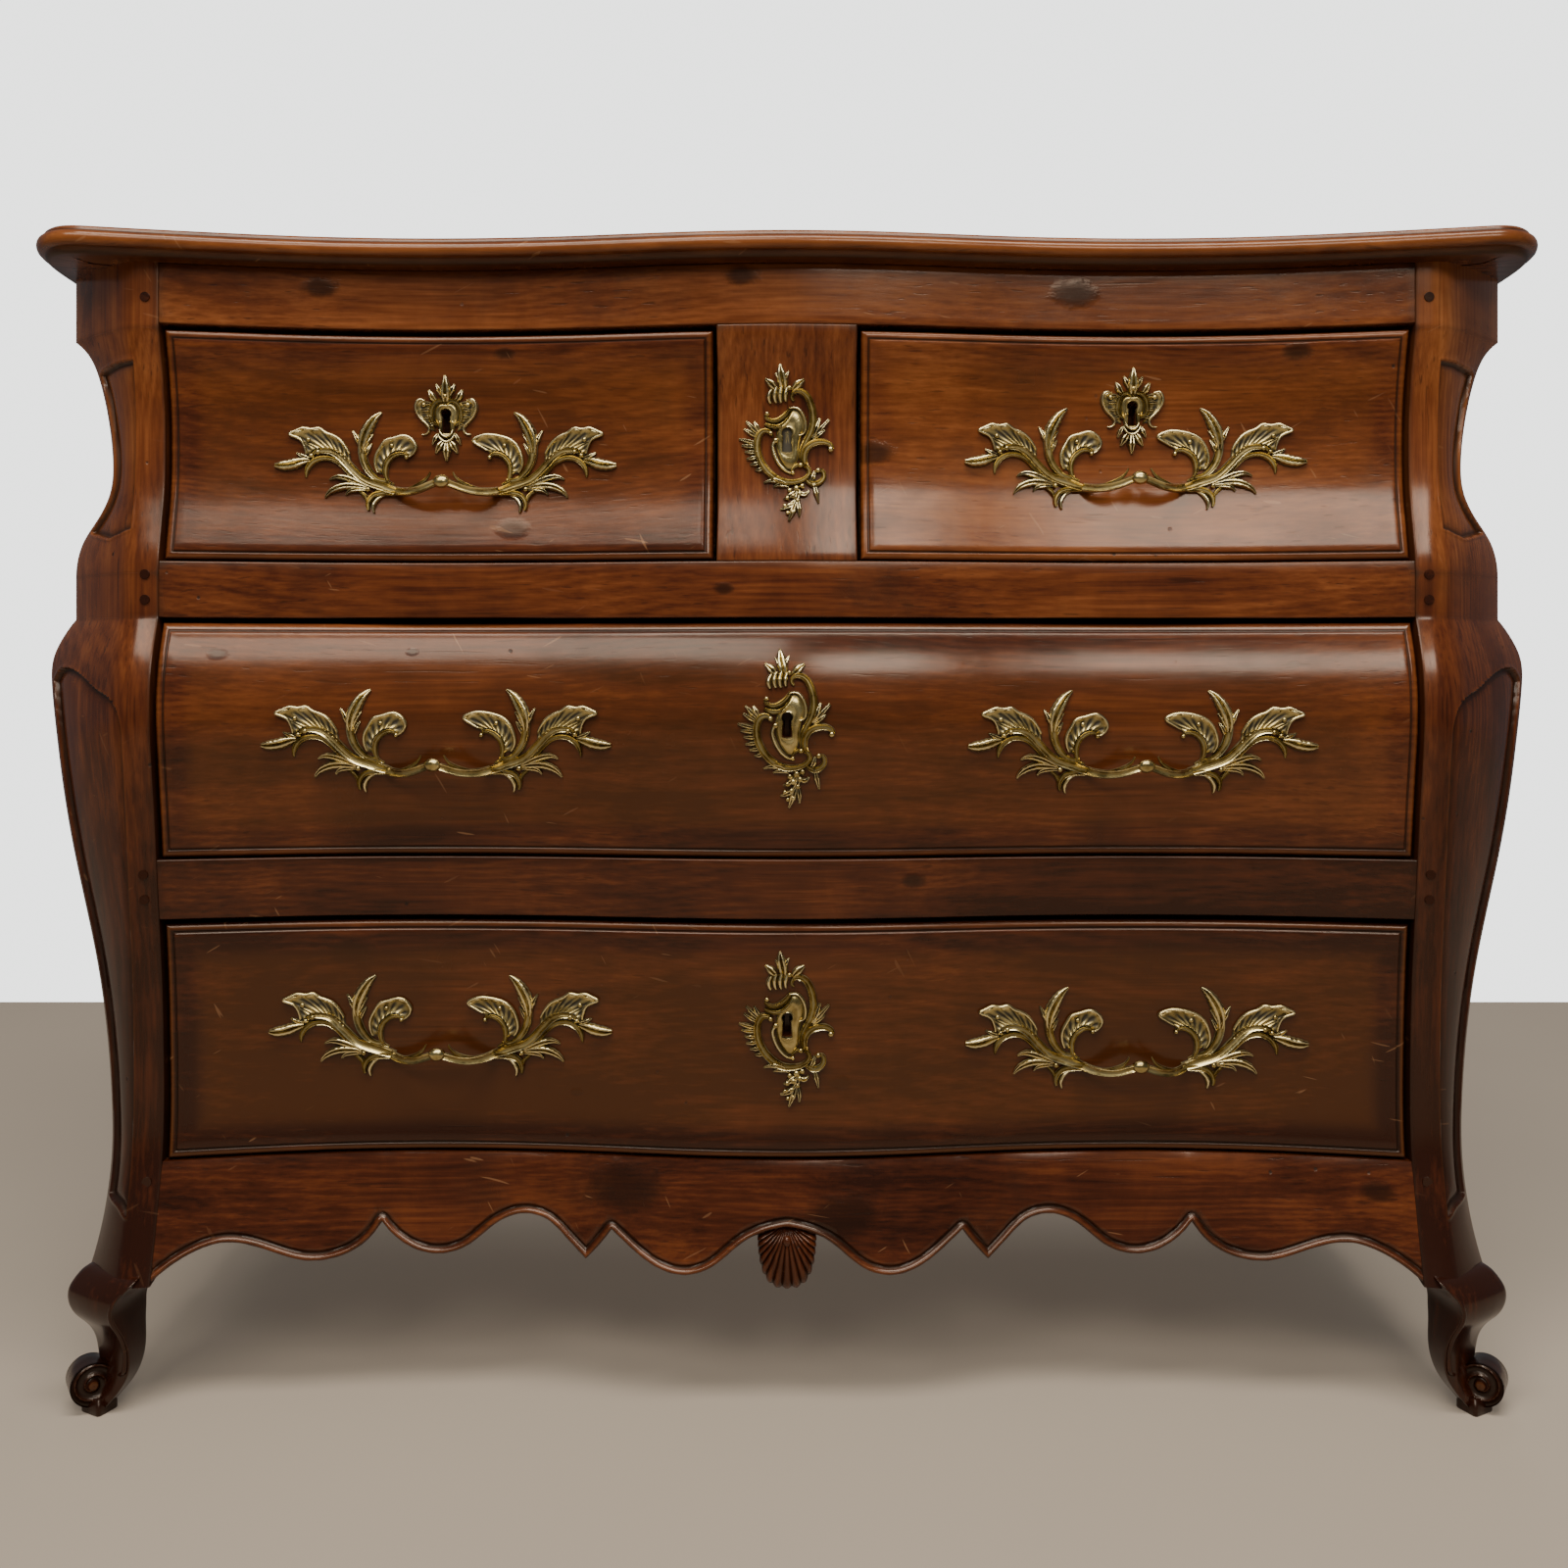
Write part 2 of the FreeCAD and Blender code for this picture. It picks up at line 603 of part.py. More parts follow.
def mirror_x(shape):
    """A shape seen in the chest's middle plane."""
    return shape.mirror(Vector(), Vector(1, 0, 0))


def front_foot():
    """The carved scroll foot at the left: a cabriole stem, a rolled toe and a pad."""
    front = size("front_plane")
    wires = []
    for height, *corners in FOOT_SECTIONS:
        spots = [Vector(x, y + front, height) for x, y in corners]
        wires.append(Part.makePolygon(spots + spots[:1]))
    stem = Part.makeLoft(wires, True, True)
    turn = radians(TOE_TURN)
    axis = Vector(-sin(turn), cos(turn), 0)
    middle = Vector(*TOE_CENTRE) + Vector(0, front, 0)
    toe = Part.makeCylinder(
        size("toe_radius"), 2 * TOE_HALF_WIDTH, middle - axis * TOE_HALF_WIDTH, axis,
    )
    x0, y0, x1, y1 = PAD_CORNERS
    pad = Part.makeBox(x1 - x0, y1 - y0, size("foot_pad") + 3, Vector(x0, y0 + front, 0))
    return stem.fuse([toe, pad]).removeSplitter()


def rear_foot():
    """The rear foot at the left: the same outline, turned to the side and flat behind."""
    near, far = (size("front_plane") + y for y in REAR_FOOT_DEPTHS)
    wires = []
    for height, outer, *_ in FOOT_SECTIONS:
        corners = [(outer[0], near), (-REAR_FOOT_INNER, near), (-REAR_FOOT_INNER, far), (outer[0], far)]
        spots = [Vector(x, y, height) for x, y in corners]
        wires.append(Part.makePolygon(spots + spots[:1]))
    stem = Part.makeLoft(wires, True, True)
    toe = Part.makeCylinder(
        size("toe_radius"), far - near, Vector(TOE_CENTRE[0], near, TOE_CENTRE[2]), Vector(0, 1, 0),
    )
    x0, _, x1, _ = PAD_CORNERS
    pad = Part.makeBox(x1 - x0, far - near, size("foot_pad") + 3, Vector(x0, near, 0))
    return stem.fuse([toe, pad]).removeSplitter()


def recess_shape(low, high, inner):
    """The outline of a sunk panel on the left cant, swept straight back."""
    front = size("front_plane") - TOOL_AHEAD
    heights = [low + (high - low) * step / 8 for step in range(9)]
    outer = [Vector(-half_width(z) + SUNK_BORDER, front, z) for z in heights]
    corners = [outer[-1], Vector(-inner, front, high), Vector(-inner, front, low), outer[0]]
    frame = [Part.makeLine(a, b) for a, b in zip(corners, corners[1:])]
    return closed_prism([smooth(outer).toShape()] + frame, Vector(0, TOOL_LENGTH, 0))


under_side = solid("under_side", under_side_shape())


def front_post(side, name, rails, pegs):
    """A corner post with its canted face, two sunk panels and its scroll foot, in one timber."""
    cant = size("sunk_depth") / 2 ** 0.5
    sunk_skin = moved(name + "_sunk_skin", skin, -side * cant, cant, 0)
    timber = block(
        name + "_timber", mirrored(side, "dims.joint_x", "dims.post_width"), depth(-AHEAD),
        POST_FOOT_JOINT, "dims.post_width", f"dims.post_side + {AHEAD}",
        f"dims.case_top - {POST_FOOT_JOINT}",
    )
    recesses = [recess_shape(*panel) for panel in SUNK_PANELS]
    panels = Part.makeCompound([mirror_x(r) if side > 0 else r for r in recesses])
    panel_tool = solid(name + "_panels", panels)
    plain = cut(name + "_plain", overlap(name + "_body", skin, timber), [panel_tool])
    sunk_timber = overlap(name + "_sunk_timber", timber, panel_tool)
    sunk = overlap(name + "_sunk", sunk_skin, sunk_timber)
    foot_shape = front_foot()
    foot = solid(name + "_foot", mirror_x(foot_shape) if side > 0 else foot_shape)
    whole = join(name + "_whole", [plain, sunk, foot])
    return node(cut(name, whole, rails + pegs + [under_side]), name)


def rear_post(side, name, others):
    """A rear post: bulging outside, flat behind, rebated for the back boards."""
    timber = block(
        name + "_timber", mirrored(side, "dims.rear_post_inner", "dims.post_width"),
        depth("dims.rear_post_from"), POST_FOOT_JOINT,
        "dims.post_width", "dims.case_depth - dims.rear_post_from", f"dims.case_top - {POST_FOOT_JOINT}",
    )
    foot_shape = rear_foot()
    foot = solid(name + "_foot", mirror_x(foot_shape) if side > 0 else foot_shape)
    whole = join(name + "_whole", [overlap(name + "_body", skin, timber), foot])
    return node(cut(name, whole, others + [under_side]), name)


# ---------------------------------------------------------------- carcase

def tenons(name, low, high):
    """The two tenons of a front rail."""
    pair = []
    for side, word in ((-1, "left"), (1, "right")):
        pair.append(block(
            f"{name}_tenon_{word}", mirrored(side, f"dims.joint_x - {ROOT}", f"dims.tenon_length + {ROOT}"),
            depth("dims.tenon_depth"), low, f"dims.tenon_length + {ROOT}", "dims.tenon_thickness",
            f"({high}) - ({low})",
        ))
    return pair


def rail_blank(name, low, high):
    """A front rail: skin in front, straight behind, with a tenon at each end."""
    board = block(
        name + "_board", "-dims.joint_x", depth(-AHEAD), low, "2 * dims.joint_x",
        f"dims.rail_depth + {AHEAD}", f"({high}) - ({low})",
    )
    face = overlap(name + "_face", skin, board)
    ends = tenons(name, f"({low}) + dims.tenon_shoulder", f"({high}) - dims.tenon_shoulder")
    return join(name + "_blank", [face] + ends), ends


def pegs_at(name, heights):
    """The pegs that pin one rail's tenons, trimmed to the face of the post."""
    pins = []
    for height in heights:
        for side in (-1, 1):
            pins.append(cylinder(
                f"{name}_peg_{height}_{'r' if side > 0 else 'l'}", side * PEG_X, depth(-AHEAD), height,
                "dims.peg_radius", f"{AHEAD} + dims.tenon_depth + dims.tenon_thickness + {PEG_PAST}", "y",
            ))
    return pins


top_rail_blank, top_tenons = rail_blank("top_rail", "dims.top_rail_low", "dims.case_top")
upper_rail_blank, upper_tenons = rail_blank("upper_rail", "dims.upper_rail_low", "dims.upper_rail_high")
lower_rail_blank, lower_tenons = rail_blank("lower_rail", "dims.lower_rail_low", "dims.lower_rail_high")
apron_tenons = tenons("apron", str(APRON_TENON_LOW), "dims.apron_high - dims.tenon_shoulder")

peg_bars = [pin for word, heights in PEG_HEIGHTS.items() for pin in pegs_at(word, heights)]
joint_pegs = overlap("joint_pegs", join("peg_bars", peg_bars), skin)
node(joint_pegs, "joint_pegs")

apron_prism = solid("apron_prism", apron_shape())
apron_face = overlap("apron_face", overlap("apron_curved", skin, apron_prism), slab_at(size("apron_back")))


def shell_shape():
    """The carved shell under the middle of the apron: a scalloped fan with a tongue above."""
    spots = []
    start, sweep = SHELL_SWEEP
    for step in range(2 * SHELL_RIBS + 1):
        angle = radians(start + sweep * step / (2 * SHELL_RIBS))
        reach = 1.0 if step % 2 else SHELL_NOTCH
        across, up = SHELL_HALF * cos(angle) * reach, SHELL_REACH * sin(angle) * reach
        spots.append(Vector(across, 0, SHELL_MIDDLE + up))
    shoulder = SHELL_MIDDLE + 8
    neck = SHELL_TOP - 3
    spots += [Vector(SHELL_HALF - 3, 0, shoulder), Vector(12, 0, neck), Vector(-12, 0, neck),
              Vector(3 - SHELL_HALF, 0, shoulder)]
    face = Part.Face(Part.makePolygon(spots + spots[:1]))
    front = face_y(0, SHELL_TOP - 1)
    fan = face.extrude(Vector(0, SHELL_THICKNESS, 0))
    fan.translate(Vector(0, front - 3, 0))
    tongue = Part.makeBox(20, 8, 30, Vector(-10, front + 2, SHELL_TOP - 12))
    return fan.fuse(tongue).removeSplitter()


apron_shell = node(solid("apron_shell", shell_shape()), "apron_shell")
apron_whole = join("apron_whole", [apron_face] + apron_tenons)

stile_board = block(
    "stile_board", "-dims.stile_half", depth(-AHEAD), "dims.upper_rail_high", "2 * dims.stile_half",
    f"dims.stile_depth + {AHEAD}", "dims.top_rail_low - dims.upper_rail_high",
)
stile_tongue = block(
    "stile_tongue", "-dims.stile_half + 10", depth("dims.tenon_depth"),
    "dims.upper_rail_high - dims.tongue_length", "2 * dims.stile_half - 20", "dims.tongue_thickness",
    "dims.top_rail_low - dims.upper_rail_high + 2 * dims.tongue_length",
)
centre_stile_blank = join("stile_blank", [overlap("stile_face", skin, stile_board), stile_tongue])


def dust_board(name, low, front):
    """A thin board that closes off the space between two drawers."""
    return block(
        name, "-dims.joint_x + dims.runner_width", depth(front), low,
        "2 * (dims.joint_x - dims.runner_width)", f"dims.back_rail_from + dims.dust_groove - ({front})",
        "dims.dust_thickness",
    )


upper_dust = dust_board("upper_dust_board", "dims.upper_rail_high - 22", "dims.rail_depth - dims.dust_groove")
lower_dust = dust_board("lower_dust_board", "dims.lower_rail_high - 27", "dims.rail_depth - dims.dust_groove")
bottom_blank = dust_board("bottom_blank", "dims.apron_high - 24", "10")
bottom_board = cut("bottom_board", bottom_blank, [slab_at(size("apron_back"))])
dust_boards = node(join("dust_boards", [upper_dust, lower_dust, bottom_board]), "dust_boards")


def back_rail(label, high):
    """A straight rail across the back, let into the rear posts."""
    return block(
        label, "-dims.rear_post_inner - dims.back_rail_tenon", depth("dims.back_rail_from"),
        f"({high}) - dims.back_rail_height", "2 * (dims.rear_post_inner + dims.back_rail_tenon)",
        "dims.back_board_from - dims.back_rail_from", "dims.back_rail_height",
    )


back_rail_list = [
    back_rail("back_rail_top", "dims.case_top"), back_rail("back_rail_upper", "dims.upper_rail_high"),
    back_rail("back_rail_lower", "dims.lower_rail_high"), back_rail("back_rail_bottom", "dims.apron_high"),
]
back_rails_whole = join("back_rails_whole", back_rail_list)
back_rails = node(cut("back_rails", back_rails_whole, [dust_boards]), "back_rails")


def back_board(name, low, high):
    """One wide board of the back, in the rear posts' rebates."""
    return block(
        name, "-dims.rear_post_inner - dims.back_board_rebate", depth("dims.back_board_from"), low,
        "2 * (dims.rear_post_inner + dims.back_board_rebate)", "dims.back_board_thickness",
        f"({high}) - ({low})",
    )


back_low, back_first, back_second = BACK_BOARD_JOINTS
back_boards = node(join("back_boards", [
    back_board("back_board_lower", f"{back_low}", f"{back_first}"),
    back_board("back_board_middle", f"{back_first + PLANK_GAP}", f"{back_second}"),
    back_board("back_board_upper", f"{back_second + PLANK_GAP}", "dims.case_top"),
]), "back_boards")


def runner_parts(word, high, front):
    """The left and right runners at one level, notched round the posts."""
    parts = []
    for side, hand in ((-1, "left"), (1, "right")):
        parts.append(block(
            f"{word}_runner_{hand}", mirrored(side, "dims.joint_x - dims.runner_width", "dims.runner_width"),
            depth(front), f"({high}) - dims.runner_height", "dims.runner_width",
            f"dims.back_rail_from - ({front})", "dims.runner_height",
        ))
        parts.append(block(
            f"{word}_runner_wing_{hand}", mirrored(side, "dims.joint_x", "dims.runner_wing"),
            depth("dims.post_side"), f"({high}) - dims.runner_height", "dims.runner_wing",
            "dims.rear_post_from - dims.post_side", "dims.runner_height",
        ))
    return parts


upper_runners = runner_parts("upper", "dims.upper_rail_high", "dims.rail_depth")
lower_runners = runner_parts("lower", "dims.lower_rail_high", "dims.rail_depth")
bottom_runner_blanks = join("bottom_runner_blanks", runner_parts("bottom", "dims.apron_high", "0"))
bottom_runners = cut("bottom_runners", bottom_runner_blanks, [slab_at(size("apron_back"))] + apron_tenons)
middle_runner = block(
    "middle_runner", "-dims.middle_runner_width / 2", depth("dims.rail_depth"),
    "dims.upper_rail_high - dims.middle_runner_height", "dims.middle_runner_width",
    "dims.back_rail_from - dims.rail_depth", "dims.middle_runner_height",
)
runners = join("drawer_runners", upper_runners + lower_runners + [bottom_runners, middle_runner])
node(runners, "drawer_runners")


def guide_pair(word, high):
    """The strips beside the drawers that keep them straight."""
    pair = []
    for side, hand in ((-1, "left"), (1, "right")):
        pair.append(block(
            f"{word}_guide_{hand}",
            mirrored(side, "dims.joint_x - dims.drawer_gap_side + dims.guide_gap", "dims.guide_width"),
            depth("dims.post_side"), high, "dims.guide_width", "dims.rear_post_from - dims.post_side",
            "dims.guide_height",
        ))
    return pair


middle_guide = block(
    "middle_guide", "-dims.stile_half - dims.drawer_gap_side + dims.guide_gap",
    depth(f"dims.stile_depth + {GUIDE_START}"), "dims.upper_rail_high",
    "2 * (dims.stile_half + dims.drawer_gap_side - dims.guide_gap)",
    f"dims.back_rail_from - dims.stile_depth - {GUIDE_START}", "dims.guide_height",
)
guides = join("drawer_guides", guide_pair("upper", "dims.upper_rail_high")
              + guide_pair("lower", "dims.lower_rail_high")
              + guide_pair("bottom", "dims.apron_high") + [middle_guide])
node(guides, "drawer_guides")


def stop_blocks():
    """The small blocks that each drawer front meets when it is pushed home."""
    blocks = []
    for name, drawer in DRAWERS.items():
        level = drawer["rail"]
        on_rail = level != "apron_high"
        low = f"dims.{level}" if on_rail else f"dims.{level} - 24 + dims.dust_thickness"
        high = f"dims.{level} + dims.stop_height"
        middles = [x for x in STOP_X[level] if "left" not in name or x < 0]
        middles = [x for x in middles if "right" not in name or x > 0]
        for x in middles:
            behind = serpentine(x) + drawer["inner"] + STOP_GAP
            blocks.append(block(
                f"{name}_stop_{'r' if x > 0 else 'l'}", f"{x} - dims.stop_length / 2", depth(behind), low,
                "dims.stop_length", "dims.stop_width", f"({high}) - ({low})",
            ))
    return blocks


stops = node(join("drawer_stops", stop_blocks()), "drawer_stops")


# ---------------------------------------------------------------- brass

def outline_face(points, x, z, y):
    """A flat face on a straight-sided outline, standing in the XZ plane."""
    spots = [Vector(x + a, y, z + b) for a, b in points]
    return Part.Face(Part.makePolygon(spots + spots[:1]))


def on_face(face):
    """A flat outline made a thin plate that lies on the skin."""
    raised = skin.Shape.copy()
    raised.translate(Vector(0, -size("brass_thickness"), 0))
    return face.extrude(Vector(0, BRASS_LENGTH, 0)).common(raised)


def keyhole(x, z, near, far):
    """The way for a key, along Y."""
    bore = Part.makeCylinder(size("key_radius"), far - near, Vector(x, near, z + KEY_RISE), Vector(0, 1, 0))
    width, height = size("key_slot"), size("key_height")
    slot = Part.makeBox(width, far - near, height, Vector(x - width / 2, near, z + KEY_RISE - height))
    return bore.fuse(slot)


def pins(name, spots):
    """Brass pins with domed heads, driven through a mount into the wood."""
    shapes = []
    for x, z in spots:
        face = face_y(x, z) - size("brass_thickness")
        shaft = Part.makeCylinder(size("pin_radius"), size("pin_length"), Vector(x, face, z), Vector(0, 1, 0))
        rise = size("pin_radius")
        head = Part.makeCone(rise, size("pin_head"), rise, Vector(x, face - rise, z), Vector(0, 1, 0))
        shapes.append(shaft.fuse(head).removeSplitter())
    return node(solid(name, Part.makeCompound(shapes)), name)


def handle_pin_spots(x, z):
    """Where a handle is pinned: four places in each spray, mirrored."""
    return [(x + side * a, z + b) for side in (-1, 1) for a, b in HANDLE_PINS]


def round_bar(line):
    """A round bar along a curve."""
    rings = []
    for station in range(BAR_STATIONS):
        share = station / (BAR_STATIONS - 1)
        step = line.FirstParameter + (line.LastParameter - line.FirstParameter) * share
        ring = Part.makeCircle(size("bar_radius"), line.value(step), Vector(*line.tangent(step)[0]))
        rings.append(Part.Wire(ring))
    return Part.makeLoft(rings, True, False)


def handle_shape(x, z):
    """A fixed handle: two sprays of leaves on the drawer and a bowed bar with a knot."""
    if x > 0:
        return mirror_x(handle_shape(-x, z))
    front = size("front_plane") - BRASS_AHEAD
    sprays = [HANDLE_HALF, [(-a, b) for a, b in HANDLE_HALF[::-1]]]
    plates = [on_face(outline_face(points, x, z, front)) for points in sprays]
    stations = sorted({(side * a, b) for side in (-1, 1) for a, b in BAR_POINTS})
    span = BAR_POINTS[0][0]
    path = []
    for a, b in stations:
        lift = BAR_LIFT + (size("bar_reach") - BAR_LIFT) * (1 - (a / span) ** 2)
        path.append(Vector(x + a, face_y(x + a, z + b) - lift, z + b))
    middle = path[len(path) // 2] - Vector(KNOT_LENGTH / 2, 0, 0)
    knot = Part.makeCylinder(KNOT_RADIUS, KNOT_LENGTH, middle, Vector(1, 0, 0))
    return round_bar(smooth(path)).fuse([knot] + plates).cut(skin.Shape)


def plate_shape(kind, x, z):
    """An escutcheon on the skin, with its keyhole and piercings cut through."""
    front = size("front_plane") - BRASS_AHEAD
    middle = z + KEY_RISE
    if kind == "small":
        half = SMALL_PLATE_HALF
        points = half + [(-a, b) for a, b in half[-2:0:-1]]
        holes = []
    else:
        points = LARGE_PLATE
        through = Vector(0, BRASS_LENGTH, 0)
        holes = [outline_face(hole, x, middle, front).extrude(through) for hole in LARGE_PIERCINGS]
        a, b, radius = LARGE_ROUND_HOLE
        start = Vector(x + a, front, middle + b)
        holes.append(Part.makeCylinder(radius, BRASS_LENGTH, start, Vector(0, 1, 0)))
    plate = on_face(outline_face(points, x, middle, front)).cut(skin.Shape)
    return plate.cut([keyhole(x, z, front, front + BRASS_LENGTH)] + holes)


def escutcheon(name, kind, x, z, pin_node):
    """A keyhole plate, pierced by its pins."""
    plate = solid(name + "_plate", plate_shape(kind, x, z))
    return node(cut(name, plate, [pin_node]), name)


def plate_pin_spots(kind, x, z):
    """Where an escutcheon is pinned."""
    spots = SMALL_PLATE_PINS if kind == "small" else LARGE_PLATE_PINS
    return [(x + a, z + KEY_RISE + b) for a, b in spots]


stile_pins = pins("stile_escutcheon_pins", plate_pin_spots("large", *STILE_KEY))
escutcheon("stile_escutcheon", "large", STILE_KEY[0], STILE_KEY[1], stile_pins)
centre_stile = node(cut("centre_stile", centre_stile_blank, [stile_pins]), "centre_stile")


# ---------------------------------------------------------------- drawers

def tail_wedges(name, x, width, low, high, behind):
    """The dovetails at the front end of a drawer side."""
    pitch = (high - low) / TAILS
    tails = []
    for step in range(TAILS):
        middle = low + pitch * (step + 0.5)
        tail = doc.addObject("Part::Wedge", f"{name}_tail_{step}")
        tail.Xmin = tail.X2min = x
        tail.Xmax = tail.X2max = x + width
        tail.Ymin = size("front_plane") + behind - size("tail_length")
        tail.Ymax = size("front_plane") + behind + TAIL_ROOT
        tail.Zmin, tail.Zmax = middle - pitch * TAIL_WIDE, middle + pitch * TAIL_WIDE
        tail.Z2min, tail.Z2max = middle - pitch * TAIL_NARROW, middle + pitch * TAIL_NARROW
        tails.append(tail)
    return tails


def drawer_side(name, end, hand, low, drawer, others):
    """One side of a drawer, dovetailed to the front and grooved for the bottom and the back."""
    sign = 1 if hand == "right" else -1
    board = size("drawer_board")
    outer = end - sign * size("drawer_gap_side")
    x = min(outer, outer - sign * board)
    high = size(drawer["head"]) - size("drawer_gap_top") - size("side_drop")
    middle = serpentine(x + board / 2) + drawer["inner"]
    blank = block(
        f"{name}_{hand}_board", x, depth(0), low, "dims.drawer_board", "dims.drawer_length", high - low,
    )
    trimmed = cut(f"{name}_{hand}_trimmed", blank, [slab_at(drawer["inner"])])
    tails = tail_wedges(f"{name}_{hand}", x, board, low + TAIL_MARGIN, high - TAIL_MARGIN, middle)
    whole = join(f"{name}_{hand}_whole", [trimmed] + tails)
    return cut(f"{name}_{hand}_side", whole, others)


def lock_parts(name, drawer):
    """A lock case let into the drawer front, and the bolt that slides up out of it."""
    x, z = drawer["key"]
    inner = serpentine(x) + drawer["inner"]
    top = f"dims.{drawer['head']} - dims.drawer_gap_top"
    low = f"{z} - dims.lock_below_key"
    body = block(
        name + "_lock_body", f"{x} - dims.lock_width / 2", depth(f"{inner:g} - dims.lock_inset"), low,
        "dims.lock_width", "dims.lock_thickness", f"({top}) - ({low})",
    )
    bolt = node(block(
        name + "_bolt", f"{x} - dims.bolt_width / 2",
        depth(f"{inner:g} - dims.bolt_thickness / 2 + 1"), f"{top} - dims.bolt_height",
        "dims.bolt_width", "dims.bolt_thickness", "dims.bolt_height",
    ), name + "_bolt")
    slot = block(
        name + "_bolt_slot", f"{x} - dims.bolt_width / 2 - dims.bolt_gap",
        depth(f"{inner:g} - dims.bolt_thickness / 2 + 1 - dims.bolt_gap"),
        f"{top} - dims.bolt_height - dims.bolt_gap",
        "dims.bolt_width + 2 * dims.bolt_gap", "dims.bolt_thickness + 2 * dims.bolt_gap",
        f"dims.bolt_height + {ROOT}",
    )
    mortise = block(
        name + "_bolt_mortise", f"{x} - dims.bolt_width / 2 - dims.mortise_room",
        depth(f"{inner:g} - dims.bolt_thickness / 2 + 1 - dims.mortise_room"),
        f"dims.{drawer['head']} - 1", "dims.bolt_width + 2 * dims.mortise_room",
        "dims.bolt_thickness + 2 * dims.mortise_room", "dims.mortise_depth + 1",
    )
    front = size("front_plane")
    way = solid(name + "_key_way", keyhole(x, z, front - BRASS_AHEAD, front + inner + ROOT))
    case = node(cut(name + "_lock", body, [slot, way]), name + "_lock")
    return case, bolt, slot, way, mortise


def drawer_front_blank(name, x0, x1, low, high, drawer):
    """A shaped front: a raised field with a lower moulded lip all round."""
    lip = size("lip_width")
    outer = block(f"{name}_lip_board", x0, depth(-AHEAD), low, x1 - x0, TOOL_LENGTH, high - low)
    inner = block(
        f"{name}_field_board", x0 + lip, depth(-AHEAD), low + lip, x1 - x0 - 2 * lip, TOOL_LENGTH,
        high - low - 2 * lip,
    )
    lipped = overlap(f"{name}_lip", lip_skin, outer)
    field = overlap(f"{name}_field", skin, inner)
    whole = join(f"{name}_front_skin", [lipped, field])
    return overlap(f"{name}_front_blank", whole, slab_at(drawer["inner"]))


def ends_of(drawer):
    """The X of the left and right ends of a drawer's opening."""
    words = {"dims.joint_x": size("joint_x"), "dims.stile_half": size("stile_half")}
    return [(-1 if end.startswith("-") else 1) * words[end.lstrip("-")] for end in drawer["ends"]]


def build_drawer(name, drawer):
    """All the pieces of one drawer; returns the mortise that its bolt needs in the rail above."""
    left, right = ends_of(drawer)
    rail, head = size(drawer["rail"]), size(drawer["head"])
    gap = size("drawer_gap_side")
    low = rail + size("slide_gap")
    groove, board = size("groove"), size("drawer_board")
    inset = gap + board
    bottom_low = low + size("bottom_rise")
    bottom_blank = block(
        name + "_bottom_blank", left + inset - groove, depth(0), bottom_low,
        right - left - 2 * (inset - groove), "dims.drawer_length", "dims.bottom_thickness",
    )
    bottom_cut = slab_at(drawer["inner"] - groove)
    bottom = node(cut(name + "_bottom", bottom_blank, [bottom_cut]), name + "_bottom")
    back_low = bottom_low + size("bottom_thickness")
    back = node(block(
        name + "_back", left + inset - groove, depth("dims.drawer_back_from"), back_low,
        right - left - 2 * (inset - groove), "dims.drawer_board",
        head - size("drawer_gap_top") - size("side_drop") - BACK_DROP - back_low,
    ), name + "_back")
    sides = node(join(name + "_sides", [
        drawer_side(name, left, "left", low, drawer, [bottom, back]),
        drawer_side(name, right, "right", low, drawer, [bottom, back]),
    ]), name + "_sides")
    case, bolt, slot, way, mortise = lock_parts(name, drawer)
    kind = drawer["plate"]
    spots = plate_pin_spots(kind, *drawer["key"])
    for x, z in drawer["handles"].values():
        spots += handle_pin_spots(x, z)
    pin_node = pins(name + "_pins", spots)
    escutcheon(name + "_escutcheon", kind, drawer["key"][0], drawer["key"][1], pin_node)
    for word, (x, z) in drawer["handles"].items():
        blank = solid(f"{name}_{word}_cast", handle_shape(x, z))
        node(cut(f"{name}_{word}", blank, [pin_node]), f"{name}_{word}")
    blank = drawer_front_blank(
        name, left + gap, right - gap, rail + size("drawer_gap_low"), head - size("drawer_gap_top"), drawer,
    )
    node(cut(name + "_front", blank, [sides, bottom, case, slot, way, pin_node]), name + "_front")
    return mortise


doc.recompute()
mortises = {name: build_drawer(name, drawer) for name, drawer in DRAWERS.items()}

top_rail = node(cut("top_rail", top_rail_blank, [
    mortises["upper_left_drawer"], mortises["upper_right_drawer"], stile_tongue, joint_pegs,
]), "top_rail")
upper_rail = node(cut("upper_divider_rail", upper_rail_blank, [
    mortises["middle_drawer"], stile_tongue, joint_pegs, dust_boards,
]), "upper_divider_rail")
lower_rail = node(cut("lower_divider_rail", lower_rail_blank, [
    mortises["lower_drawer"], joint_pegs, dust_boards,
]), "lower_divider_rail")
front_apron = node(cut("front_apron", apron_whole, [apron_shell, joint_pegs]), "front_apron")


# ---------------------------------------------------------------- sides, posts and top

def side_panel(side, name):
    """A bulging side board with a scalloped lower edge, let into rebates in the posts."""
    hollow = moved(name + "_hollow", skin, -side * size("panel_thickness"), 0, 0)
    timber = block(
        name + "_timber", mirrored(side, f"{SIDE_INNER}", "150"),
        depth("dims.post_side - dims.panel_rebate"), BELLY[0][2], 150,
        "dims.rear_post_from - dims.post_side + 2 * dims.panel_rebate", f"dims.case_top - {BELLY[0][2]}",
    )
    outside = overlap(name + "_outside", skin, timber)
    return node(cut(name, outside, [hollow, under_side]), name)


